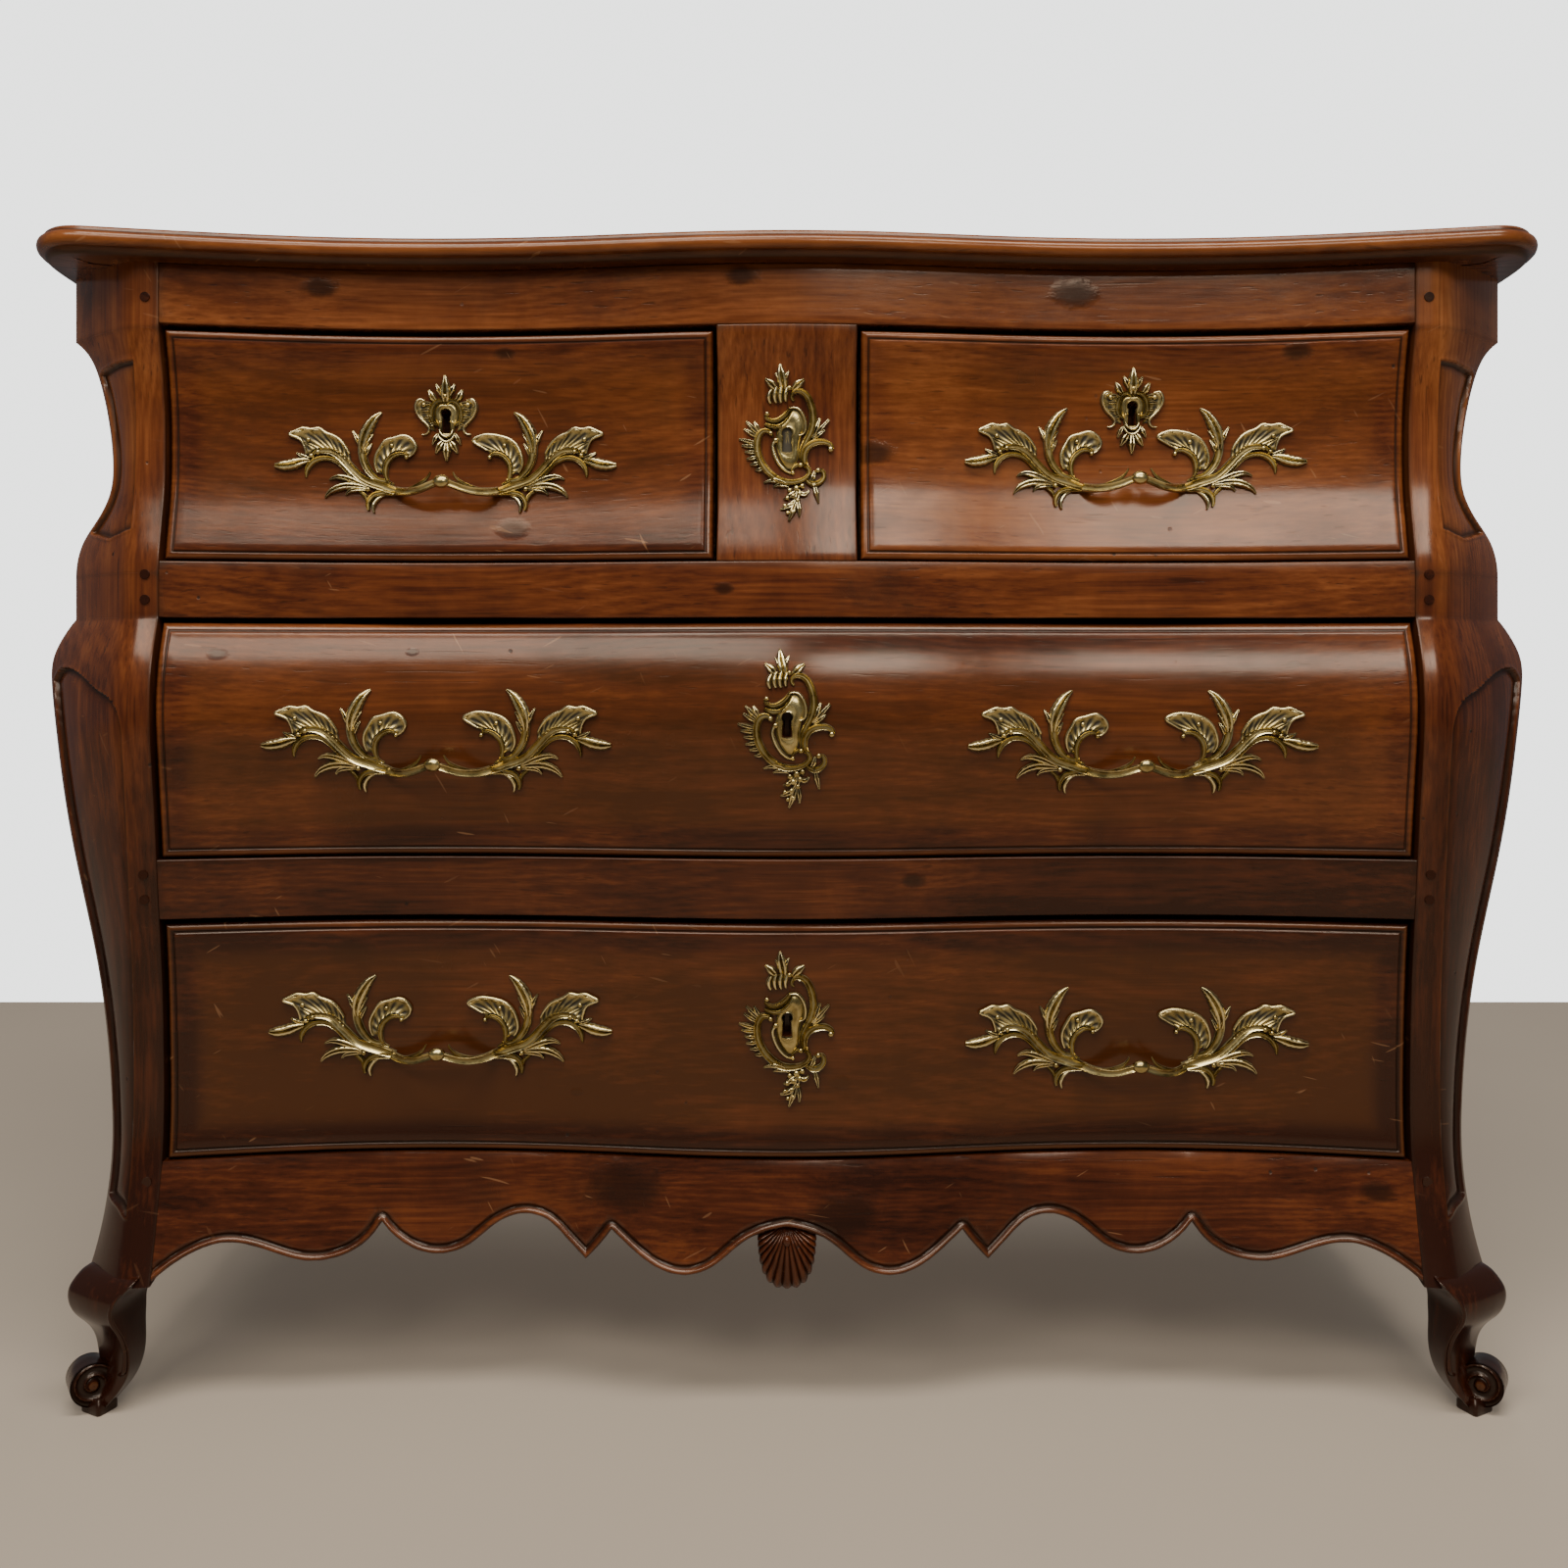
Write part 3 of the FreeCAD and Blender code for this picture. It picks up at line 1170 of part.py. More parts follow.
panels = {-1: side_panel(-1, "side_panel_left"), 1: side_panel(1, "side_panel_right")}
all_tenons = top_tenons + upper_tenons + lower_tenons + apron_tenons
for side, name in ((-1, "front_post_left"), (1, "front_post_right")):
    front_post(side, name, all_tenons + [panels[side]], [joint_pegs])
for side, name in ((-1, "rear_post_left"), (1, "rear_post_right")):
    rear_post(side, name, [panels[side], back_rails_whole, back_boards, runners])


def top_shape():
    """The top board's outline: serpentine in front, bowed at the sides, straight behind."""
    level = size("case_top")
    half = [Vector(x, y + size("front_plane"), level) for x, y in TOP_HALF]
    points = [Vector(-p.x, p.y, p.z) for p in half[:0:-1]] + half
    edge = smooth(points).toShape()
    back = Part.makeLine(points[-1], points[0])
    return Part.Face(Part.Wire([edge, back]))


top_outline = solid("top_outline", top_shape())
top_blank = doc.addObject("Part::Extrusion", "top_blank")
top_blank.Base = top_outline
top_blank.Dir = Vector(0, 0, 1)
bind(top_blank, "LengthFwd", "dims.top_thickness")
top_blank.Solid = False
doc.recompute()
long_edges = [
    (number, size("top_round") if edge.BoundBox.ZMin > size("case_top") + 1 else size("top_under_round"))
    for number, edge in enumerate(top_blank.Shape.Edges, start=1)
    if edge.BoundBox.XLength > 1000 and edge.BoundBox.YLength > 100
]
top_board = doc.addObject("Part::Fillet", "top_board")
top_board.Base = top_blank
top_board.Edges = [(number, radius, radius) for number, radius in long_edges]
node(top_board, "top_board")

doc.recompute()


# ---------------------------------------------------------------- checks and export

def check_document():
    """Stops if any object failed, or a finished sub-part is missing or invalid."""
    for thing in doc.Objects:
        if {"Invalid", "Error"} & set(thing.State):
            raise RuntimeError(f"{thing.Name} failed: {thing.State}")
    for piece in nodes:
        shape = piece.Shape
        if shape.isNull() or not shape.isValid() or shape.Volume <= 0:
            raise RuntimeError(f"{piece.Label} has no sound solid")


check_document()
os.makedirs("parts", exist_ok=True)
for piece in nodes:
    piece.Shape.exportStep(f"parts/{piece.Label}.step")
    print(f"{piece.Label:28s} {len(piece.Shape.Solids):3d} solids {piece.Shape.Volume / 1000:10.1f} cm3")
print(len(nodes), "nodes")
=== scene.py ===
# %% [markdown]
# # A bombe chest of drawers
#
# This lesson dresses the solid model of a chest from the south west of France: a serpentine front
# that also swells in height, canted corner posts with sunk panels, scroll feet, a scalloped apron and
# cast brass mounts. The hidden joinery is shown as it was modelled. The wood that the eye meets, and
# the brass, are made again here as fine meshes, because polished curves show every facet.

from math import cos, pi, radians, sin

import bmesh
import bpy
import numpy as np
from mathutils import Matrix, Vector


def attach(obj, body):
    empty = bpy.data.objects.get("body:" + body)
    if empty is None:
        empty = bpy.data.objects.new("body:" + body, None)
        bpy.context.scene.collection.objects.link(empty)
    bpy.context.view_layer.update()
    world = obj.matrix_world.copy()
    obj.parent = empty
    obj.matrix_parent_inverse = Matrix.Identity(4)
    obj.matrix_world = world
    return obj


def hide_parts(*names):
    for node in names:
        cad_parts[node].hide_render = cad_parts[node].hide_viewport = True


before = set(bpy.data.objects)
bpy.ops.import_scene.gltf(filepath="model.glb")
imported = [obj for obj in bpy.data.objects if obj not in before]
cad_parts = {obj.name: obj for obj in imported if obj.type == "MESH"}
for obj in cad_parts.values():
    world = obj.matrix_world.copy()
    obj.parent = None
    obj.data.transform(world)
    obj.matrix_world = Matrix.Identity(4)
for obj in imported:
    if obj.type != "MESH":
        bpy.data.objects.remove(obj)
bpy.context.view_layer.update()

# %% [markdown]
# Every board of the case is cut from one bulging skin, so it is described once: a plan of the front at
# rail height, a plan of the canted corner and of the side, and a profile that says how far the skin
# swells at each height. All the tables are in millimetres, and Y is counted from the front plane.
# The profile has crisp lines at three heights, so it is kept as four runs.

# %% The tables of the skin
FRONT_PLANE = -274.0
FRONT_HALF = [(0, 2), (90, 8), (180, 20), (280, 26), (380, 20), (450, 9), (497, 0), (517, -4.5)]
CANT = [(517, -4.5, 0, 1, 0), (554, 24, 0.5, 1, 0.4), (588, 57, 1, 1, 0.8)]
FLANK = [
    (588, 57, 1, 1, 0.8), (591, 84, 0.93, 0.45, 0.36), (593.5, 115, 0.85, 0, 0), (597, 200, 0.75, 0, 0),
    (597, 300, 0.75, 0, 0), (592, 420, 0.75, 0, 0), (584, 505, 0.75, 0, 0), (578, 570, 0.75, 0, 0),
]
PROFILE = [
    [(-27, -19, 100), (-35, -9, 130), (-39.5, -1, 160), (-40.5, 7, 195), (-37.5, 11, 240),
     (-32.5, 10, 290), (-24, 7, 340), (-12.5, 1, 390), (0, -5, 440), (9, -11, 490), (13.5, -17, 535),
     (19, -17, 570), (21, -12, 595), (13, -6, 612), (0, 0, 627)],
    [(0, 0, 627), (0, 0, 645), (0, 0, 662)],
    [(0, 0, 662), (-1, 1, 675), (-6, 4, 690), (-21, 8, 708), (-35.5, 12.5, 732), (-37, 14, 760),
     (-32.5, 13, 790), (-26, 9, 818), (-17, 4, 840), (0, 0, 856)],
    [(0, 0, 856), (0, 0, 882), (0, 0, 908)],
]
CRISP_HEIGHTS = (627, 662, 856)
CASE_TOP = 908
KNEE = 104
LEVEL_ABOVE = 190
JOINT_X = 497
ARRIS_X = 517
RAIL_BACK = 75
POST_BACK = 110
REAR_POST = 505
CASE_BACK = 570
APRON_RUNS = [
    [(0, 145), (34, 134), (58, 116), (82, 109), (110, 117), (130, 131), (140, 139)],
    [(140, 139), (149, 128), (160, 117)],
    [(160, 117), (176, 131), (192, 144), (214, 148), (236, 139), (256, 124), (283, 118),
     (306, 125), (326, 142)],
    [(326, 142), (338, 127), (358, 117), (383, 115), (414, 124), (449, 131), (478, 121), (497, 107)],
]
SIDE_RUNS = [
    [(44, 104), (62, 120), (92, 132), (128, 122), (158, 117), (186, 126), (206, 142)],
    [(206, 142), (226, 122), (256, 114), (284, 112), (312, 114), (342, 122), (362, 142)],
    [(362, 142), (382, 126), (410, 117), (440, 122), (476, 132), (504, 120), (522, 104)],
]


def running_length(points):
    """The length of a path up to each of its points."""
    return np.concatenate([[0.0], np.cumsum(np.linalg.norm(np.diff(points, axis=0), axis=1))])


def end_slope(points, steps):
    """The slope at the first point of a parabola through the first three."""
    first = (points[1] - points[0]) / (steps[1] - steps[0])
    if len(points) < 3:
        return first
    second = (points[2] - points[0]) / (steps[2] - steps[0])
    return (first * (steps[2] - steps[0]) - second * (steps[1] - steps[0])) / (steps[2] - steps[1])


class Spline:
    """A smooth curve through a few points, as a joiner's batten bends round nails."""

    def __init__(self, points, steps=None):
        self.points = np.array(points, float)
        self.steps = running_length(self.points) if steps is None else steps
        gaps = np.diff(self.steps)
        count = len(self.points)
        matrix = np.eye(count)
        right = np.zeros_like(self.points)
        right[0] = end_slope(self.points, self.steps)
        right[-1] = end_slope(self.points[::-1], self.steps[::-1])
        rise = np.diff(self.points, axis=0) / gaps[:, None]
        for i in range(1, count - 1):
            matrix[i, i - 1:i + 2] = gaps[i], 2 * (gaps[i - 1] + gaps[i]), gaps[i - 1]
            right[i] = 3 * (gaps[i] * rise[i - 1] + gaps[i - 1] * rise[i])
        self.slopes = np.linalg.solve(matrix, right)

    def at(self, steps):
        """The points at some running lengths."""
        steps = np.asarray(steps, float)
        i = np.clip(np.searchsorted(self.steps, steps, side="right") - 1, 0, len(self.steps) - 2)
        gap = (self.steps[i + 1] - self.steps[i])[..., None]
        u = (steps - self.steps[i])[..., None] / gap
        near = self.points[i] * (1 + 2 * u) * (1 - u) ** 2 + self.slopes[i] * gap * u * (1 - u) ** 2
        far = self.points[i + 1] * u * u * (3 - 2 * u) + self.slopes[i + 1] * gap * u * u * (u - 1)
        return near + far

    def run(self, count):
        """Evenly spread points along the whole curve."""
        return self.at(np.linspace(self.steps[0], self.steps[-1], count))


# %% The skin as functions
swell_rows = np.vstack([Spline(run).run(300) for run in PROFILE])
front_rows = Spline([(-x, y) for x, y in FRONT_HALF[:0:-1]] + FRONT_HALF).run(3000)
side_edge_rows = np.vstack([Spline(run).run(200) for run in SIDE_RUNS])
apron_half_rows = np.vstack([Spline(run).run(300) for run in APRON_RUNS])
apron_rows = np.vstack([apron_half_rows[::-1] * (-1, 1), apron_half_rows])


def side_swell(z):
    """How far the sides stand out at a height."""
    return np.interp(z, swell_rows[:, 2], swell_rows[:, 0])


def front_swell(z):
    """How far the front lies back at a height."""
    return np.interp(z, swell_rows[:, 2], swell_rows[:, 1])


def serpentine(x):
    """How far the front lies back at a place across it."""
    return np.interp(x, front_rows[:, 0], front_rows[:, 1])


def front_y(x, z):
    """The Y of the front of the skin."""
    return FRONT_PLANE + serpentine(x) + front_swell(z)


class SkinStrip:
    """One strip of the skin on the right: a plan whose points each follow the swell in their own way."""

    def __init__(self, rows):
        rows = np.array(rows, float)
        steps = running_length(rows[:, :2])
        self.plan = Spline(rows[:, :2], steps)
        self.gains = Spline(rows[:, 2:], steps)
        self.length = steps[-1]

    def at(self, along, z):
        """X and Y at a distance along the plan and a height."""
        spot = self.plan.at(along)
        gain = self.gains.at(along)
        side, front = side_swell(z), front_swell(z)
        x = spot[..., 0] + gain[..., 0] * side
        y = spot[..., 1] + gain[..., 1] * front + gain[..., 2] * side + FRONT_PLANE
        return x, y

    def along_at(self, depth):
        """The distance along the plan at a depth."""
        marks = np.linspace(0, self.length, 2000)
        return np.interp(depth, self.plan.at(marks)[:, 1], marks)


cant = SkinStrip(CANT)
flank = SkinStrip(FLANK)
print("the belly swells", round(-float(swell_rows[:, 1].min())), "mm forwards and",
      round(float(swell_rows[:, 0].max())), "mm to each side")

# %% [markdown]
# A polished surface is best drawn as a grid of quads, row by row, and a piece is a few grids that share
# their edges. `Work` collects them for one piece: it takes arrays in millimetres, welds the edges,
# turns the faces outwards and marks the sharp ones. Each point also carries a number which the finishes
# read. Above nought it darkens quirks, hollows and joints, partly for old polish that lies deep there and
# partly as painted shade. Below nought it lightens rubbed edges and ridges, partly for wear and partly as
# a painted highlight. On the brass the dark in the hollows is patina.

# %% Collecting grids into a piece
MM = 0.001
WELD = 0.02
SHORTEST_EDGE = 1e-7


class Work:
    """The grids of one piece."""

    def __init__(self):
        self.points = []
        self.wax = []
        self.faces = []
        self.count = 0

    def grid(self, points, wax=0.0, around=False):
        """A sheet of quads on rows of points; around joins the last column to the first."""
        points = np.asarray(points, float)
        rows, columns = points.shape[:2]
        base = self.count
        self.points.append(points.reshape(-1, 3))
        self.wax.append(np.broadcast_to(wax, (rows, columns)).reshape(-1))
        self.count += rows * columns
        index = np.arange(rows * columns).reshape(rows, columns) + base
        if around:
            index = np.concatenate([index, index[:, :1]], axis=1)
        quads = np.stack([index[:-1, :-1], index[:-1, 1:], index[1:, 1:], index[1:, :-1]], axis=-1)
        self.faces += quads.reshape(-1, 4).tolist()

    def fan(self, ring):
        """Closes a ring of points with a fan round its middle."""
        ring = np.asarray(ring, float)
        base = self.count
        middle = ring.mean(axis=0)
        self.points.append(np.vstack([ring, middle]))
        self.wax.append(np.zeros(len(ring) + 1))
        self.count += len(ring) + 1
        last = base + len(ring)
        self.faces += [[base + i, base + (i + 1) % len(ring), last] for i in range(len(ring))]

    def tube(self, rings, wax=0.0):
        """A skin over closed rings of points, with its ends closed."""
        self.grid(rings, wax, around=True)
        self.fan(rings[0])
        self.fan(rings[-1])

    def board(self, front, back, front_grime_shade_and_sheen, back_grime_shade_and_sheen, edge_grime_shade_and_sheen):
        """A board between two sheets of the same rows and columns, closed along its four edges."""
        self.grid(front, front_grime_shade_and_sheen)
        self.grid(back, back_grime_shade_and_sheen)
        for near, far in ((front[0], back[0]), (front[-1], back[-1]), (front[:, 0], back[:, 0]),
                          (front[:, -1], back[:, -1])):
            self.grid(np.stack([near, far]), edge_grime_shade_and_sheen)

    def mesh(self, name, sharp=35.0):
        """The finished mesh, in metres, with the edges sharp that bend by more than some degrees."""
        mesh = bpy.data.meshes.new(name)
        points = np.concatenate(self.points) * MM
        mesh.from_pydata(points.tolist(), [], self.faces)
        layer = mesh.attributes.new("wax", "FLOAT", "POINT")
        layer.data.foreach_set("value", np.concatenate(self.wax).astype(np.float32))
        shape = bmesh.new()
        shape.from_mesh(mesh)
        bmesh.ops.remove_doubles(shape, verts=shape.verts, dist=WELD * MM)
        bmesh.ops.dissolve_degenerate(shape, edges=shape.edges, dist=SHORTEST_EDGE)
        bmesh.ops.recalc_face_normals(shape, faces=shape.faces)
        shape.to_mesh(mesh)
        shape.free()
        mesh.shade_smooth()
        mesh.set_sharp_from_angle(angle=radians(sharp))
        return mesh


def finish_piece(name, mesh, finish, body, node):
    """Makes an object of a mesh, gives it its finish and lets it ride on its body for a solid node."""
    piece = bpy.data.objects.new(name, mesh)
    bpy.context.scene.collection.objects.link(piece)
    mesh.materials.clear()
    mesh.materials.append(finish)
    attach(piece, body)
    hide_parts(node)
    print(f"{name}: {len(mesh.polygons)} faces")


def spread(low, high, pitch, extra=()):
    """Grid lines from low to high, about a pitch apart, with some extra ones in between."""
    marks = sorted({low, high, *[e for e in extra if low < e < high]})
    lines = [low]
    for near, far in zip(marks, marks[1:]):
        pieces = max(1, int(round((far - near) / pitch)))
        lines += [near + (far - near) * (i + 1) / pieces for i in range(pieces)]
    return np.array(lines)


# %% [markdown]
# Shader maths is easier to read as ordinary arithmetic. `Tint` wraps one socket of a material's node
# tree; `a * 2 + 1` on it adds the Math nodes. Its `node` method adds any other node: settings first,
# then the values or links of its sockets.

# %% Arithmetic on shader sockets


class Tint:
    """One socket of a node tree, on which arithmetic can be written."""

    def __init__(self, tree, socket):
        self.tree = tree
        self.socket = socket

    def node(self, kind, settings=None, values=None, out=0):
        """Adds a node with its settings and the values or links of its sockets."""
        made = self.tree.nodes.new(kind)
        for name, value in (settings or {}).items():
            if name == "stops":
                ramp = made.color_ramp
                while len(ramp.elements) < len(value):
                    ramp.elements.new(0.5)
                for element, (place, colour) in zip(ramp.elements, value):
                    element.position = place
                    element.color = colour
            else:
                setattr(made, name, value)
        for key, value in (values or {}).items():
            if isinstance(value, Tint):
                self.tree.links.new(value.socket, made.inputs[key])
            else:
                made.inputs[key].default_value = value
        return Tint(self.tree, made.outputs[out])

    def maths(self, operation, *numbers):
        """One Math node on this socket and some numbers or sockets."""
        return self.node("ShaderNodeMath", {"operation": operation}, dict(enumerate((self,) + numbers)))

    def __add__(self, other):
        return self.maths("ADD", other)

    def __radd__(self, other):
        return self.maths("ADD", other)

    def __sub__(self, other):
        return self.maths("SUBTRACT", other)

    def __rsub__(self, other):
        return self.node("ShaderNodeMath", {"operation": "SUBTRACT"}, {0: other, 1: self})

    def __mul__(self, other):
        return self.maths("MULTIPLY", other)

    def __truediv__(self, other):
        return self.maths("DIVIDE", other)

    def between(self, low, high):
        """0 below low, 1 above high, and smooth between them."""
        settings = {"interpolation_type": "SMOOTHSTEP"}
        return self.node("ShaderNodeMapRange", settings, {"Value": self, "From Min": low, "From Max": high})

    def noise(self, scale, detail=3.0, rough=0.55, warp=0.0):
        """Noise read at this vector."""
        values = {"Vector": self, "Scale": scale, "Detail": detail, "Roughness": rough, "Distortion": warp}
        return self.node("ShaderNodeTexNoise", None, values)

    def stretched(self, x, y, z, shift=(0, 0, 0)):
        """This vector with its parts scaled, and shifted."""
        values = {"Vector": self, "Scale": (x, y, z), "Location": shift}
        return self.node("ShaderNodeMapping", None, values)

    def leaned(self, angle):
        """This vector turned about Y, the way a diagonal scratch runs."""
        return self.node("ShaderNodeMapping", None, {"Vector": self, "Rotation": (0, radians(angle), 0)})

    def part(self, which):
        """X, Y or Z of this vector."""
        return self.node("ShaderNodeSeparateXYZ", None, {0: self}, which)

    def colours(self, *stops):
        """A colour for each level of this value."""
        return self.node("ShaderNodeValToRGB", {"stops": stops}, {0: self})

    def mixed(self, other, share):
        """This colour mixed with another one."""
        return self.node("ShaderNodeMix", {"data_type": "RGBA"}, {0: share, 6: self, 7: other}, 2)

    def wax(self):
        """The number for old polish, painted shade and painted highlight, which each point of a piece
        carries.
        """
        return self.node("ShaderNodeAttribute", {"attribute_name": "wax"}, None, "Fac")

    def bump(self, strength):
        """A bump from this height in metres."""
        return self.node("ShaderNodeBump", None, {"Strength": strength, "Distance": 1.0, "Height": self})


def make_finish(name, recipe, **constants):
    """A material from a recipe that turns Object coordinates into the sockets of its surface."""
    finish = bpy.data.materials.new(name)
    finish.use_nodes = True
    tree = finish.node_tree
    surface = tree.nodes["Principled BSDF"]
    place = Tint(tree, None).node("ShaderNodeTexCoord", out="Object")
    for key, value in recipe(place).items():
        tree.links.new(value.socket, surface.inputs[key])
    for key, value in constants.items():
        surface.inputs[key.replace("_", " ")].default_value = value
    return finish


def grained(grain, along, across):
    """Three scales for a pattern: one for the axis that the grain follows, one for the two others."""
    return [along if axis == grain else across for axis in range(3)]


# %% [markdown]
# Old waxed fruitwood is built up in layers. Long streaks along the board are its grain, rings bent by
# slow noise are its figure, and broad clouds are two centuries of polish and hands. Knots bend the
# rings round themselves and are nearly black. The number that each point carries darkens quirks,
# hollows and joints, partly for old polish and partly as painted shade. It lightens rubbed edges,
# partly for wear and partly as a painted highlight. Every board is also painted lighter higher up, as
# light from above falls there. A fine bump and a slow one keep the highlights from looking like glass.

# %% The waxed wood
WALNUT = (
    (0.26, (0.020, 0.0047, 0.0019, 1)), (0.40, (0.056, 0.0130, 0.0044, 1)),
    (0.53, (0.112, 0.0294, 0.0084, 1)), (0.66, (0.185, 0.0565, 0.0155, 1)),
    (0.82, (0.285, 0.1030, 0.0320, 1)),
)
PORE = (0.012, 0.0040, 0.0020, 1)
SOIL = (0.018, 0.0055, 0.0018, 1)
SPECK = (0.006, 0.0026, 0.0016, 1)
KNOT = (0.012, 0.0038, 0.0016, 1)
# The dark colour for quirks, hollows and joints is partly old polish and partly painted shade.
DARK_WAX_AND_SHADE = (0.0080, 0.0026, 0.0010, 1)
# The rubbed colour on rounded edges is partly wear and partly a painted highlight.
RUBBED_WOOD_AND_HIGHLIGHT = (0.250, 0.0820, 0.0160, 1)
SCRATCHED_WOOD = (0.280, 0.1350, 0.0600, 1)
SCRATCH_LEANS = ((28, 1), (-62, 4), (79, 7))


def knot_fields(place, axes, knots):
    """Two fields round the knots of a board: how dark it is, and how far its grain is pushed aside."""
    along, across = place.part(axes[0]), place.part(axes[1])
    ragged = place.noise(60.0, 4.0, 0.7) * 2.6 - 0.1
    dark = None
    push = None
    for a, b, radius in knots:
        wide = (along - a) * (0.66 / radius)
        high = (across - b) * (1.15 / radius)
        reach = (wide * wide + high * high) * ragged
        core = 1 - reach.between(0.10, 1.5)
        sway = high / (reach + 1.2)
        dark = core if dark is None else dark.maths("MAXIMUM", core)
        push = sway * radius if push is None else push + sway * radius
    return dark, push


def scratches(place):
    """Thin marks that lean a few ways, from noise stretched into lines."""
    marks = None
    for lean, shift in SCRATCH_LEANS:
        line = place.leaned(lean).stretched(300, 60, 34, (shift, 5, 2)).noise(1.0, 0.0, 0.5, 0.3)
        mark = line.between(0.83, 0.86)
        marks = mark if marks is None else marks + mark
    return marks


def wood_recipe(grain, shift, tone=0.0, knots=(), lift=0.13, scratched=0.4):
    """A recipe for waxed wood: its grain's axis (0, 1 or 2), how light it is, how much painted light
    brightens it higher up.
    """
    axes = {0: (0, 2), 1: (1, 2), 2: (2, 0)}[grain]

    def recipe(place):
        board = place.stretched(1, 1, 1, shift)
        drift = place.stretched(*grained(grain, 0.9, 4.0), shift).noise(1.4, 3.0, 0.5)
        across = place.part(axes[1]) + (drift - 0.5) * 0.16
        if knots:
            dark, push = knot_fields(place, axes, knots)
            across = across + push * 1.3
        depth = place.part(1 if grain != 1 else 0) * 0.6
        rings = ((across + depth) * 830 + board.noise(4.0, 3.0, 0.6) * 6).maths("SINE") * 0.5 + 0.5
        streaks = board.stretched(*grained(grain, 2.2, 44.0)).noise(1.0, 7.0, 0.66, 0.25)
        mottle = board.noise(15.0, 5.0, 0.62, 0.4)
        clouds = board.stretched(*grained(grain, 2.2, 5.5)).noise(1.0, 3.0, 0.5)
        fibre = board.stretched(*grained(grain, 9.0, 420.0)).noise(1.0, 2.0, 0.6)
        # Painted light: the wood is lighter higher up, by lift, as light from above falls there.
        height = place.part(2).between(0.05, 0.95)
        level = streaks * 0.52 + rings * 0.05 + clouds * 0.42 + mottle * 0.30 + fibre * 0.24
        level = level + height * lift + (tone - 0.36)
        pores = board.stretched(*grained(grain, 8.1, 378.0), (3, 1, 2)).noise(1.0, 1.0).between(0.66, 0.74)
        soil = board.noise(7.0, 5.0, 0.65).between(0.52, 0.74)
        colour = level.colours(*WALNUT).mixed(PORE, pores * 0.45).mixed(SOIL, soil * 0.5)
        specks = board.node("ShaderNodeTexVoronoi", None, {"Vector": board, "Scale": 34.0})
        speck = (1 - specks.between(0.03, 0.07)) * board.noise(5.0, 1.0).between(0.52, 0.6)
        colour = colour.mixed(SPECK, speck * 0.85)
        if knots:
            colour = colour.mixed(KNOT, dark * 0.8)
        # Painted shade and highlight: quirks, hollows and joints are darkened, partly for old polish and
        # partly as painted shade, and rubbed edges are lightened, partly for wear and partly as a painted
        # highlight.
        wax = place.wax()
        quirk_wax_and_shade = wax.between(0.0, 1.0)
        worn_and_highlight = (wax * -1).between(0.0, 1.0)
        colour = colour.mixed(DARK_WAX_AND_SHADE, quirk_wax_and_shade * 0.84).mixed(RUBBED_WOOD_AND_HIGHLIGHT, worn_and_highlight * 0.55)
        scratch = scratches(place) * board.noise(3.0, 1.0).between(0.45, 0.6)
        colour = colour.mixed(SCRATCHED_WOOD, scratch * scratched)
        polish = board.noise(11.0, 4.0, 0.6)
        roughness = 0.125 + polish * 0.16 + soil * 0.10 + quirk_wax_and_shade * 0.25 + speck * 0.3
        wave = board.noise(13.0, 2.0, 0.5) * 0.0011 + board.noise(55.0, 2.0, 0.5) * 0.00022
        relief = wave + streaks * 0.00030 - pores * 0.00006 - speck * 0.0006 + fibre * 0.00004
        if knots:
            relief = relief + dark * 0.0006
        return {"Base Color": colour, "Roughness": roughness, "Normal": relief.bump(0.55)}

    return recipe


def wood(name, grain, shift, tone=0.0, knots=(), **more):
    """One board's waxed finish."""
    recipe = wood_recipe(grain, shift, tone, knots, **more)
    return make_finish(name, recipe, Coat_Weight=0.17, Coat_Roughness=0.13, Specular_IOR_Level=0.30,
                       Specular_Tint=(1.0, 0.80, 0.62, 1.0))


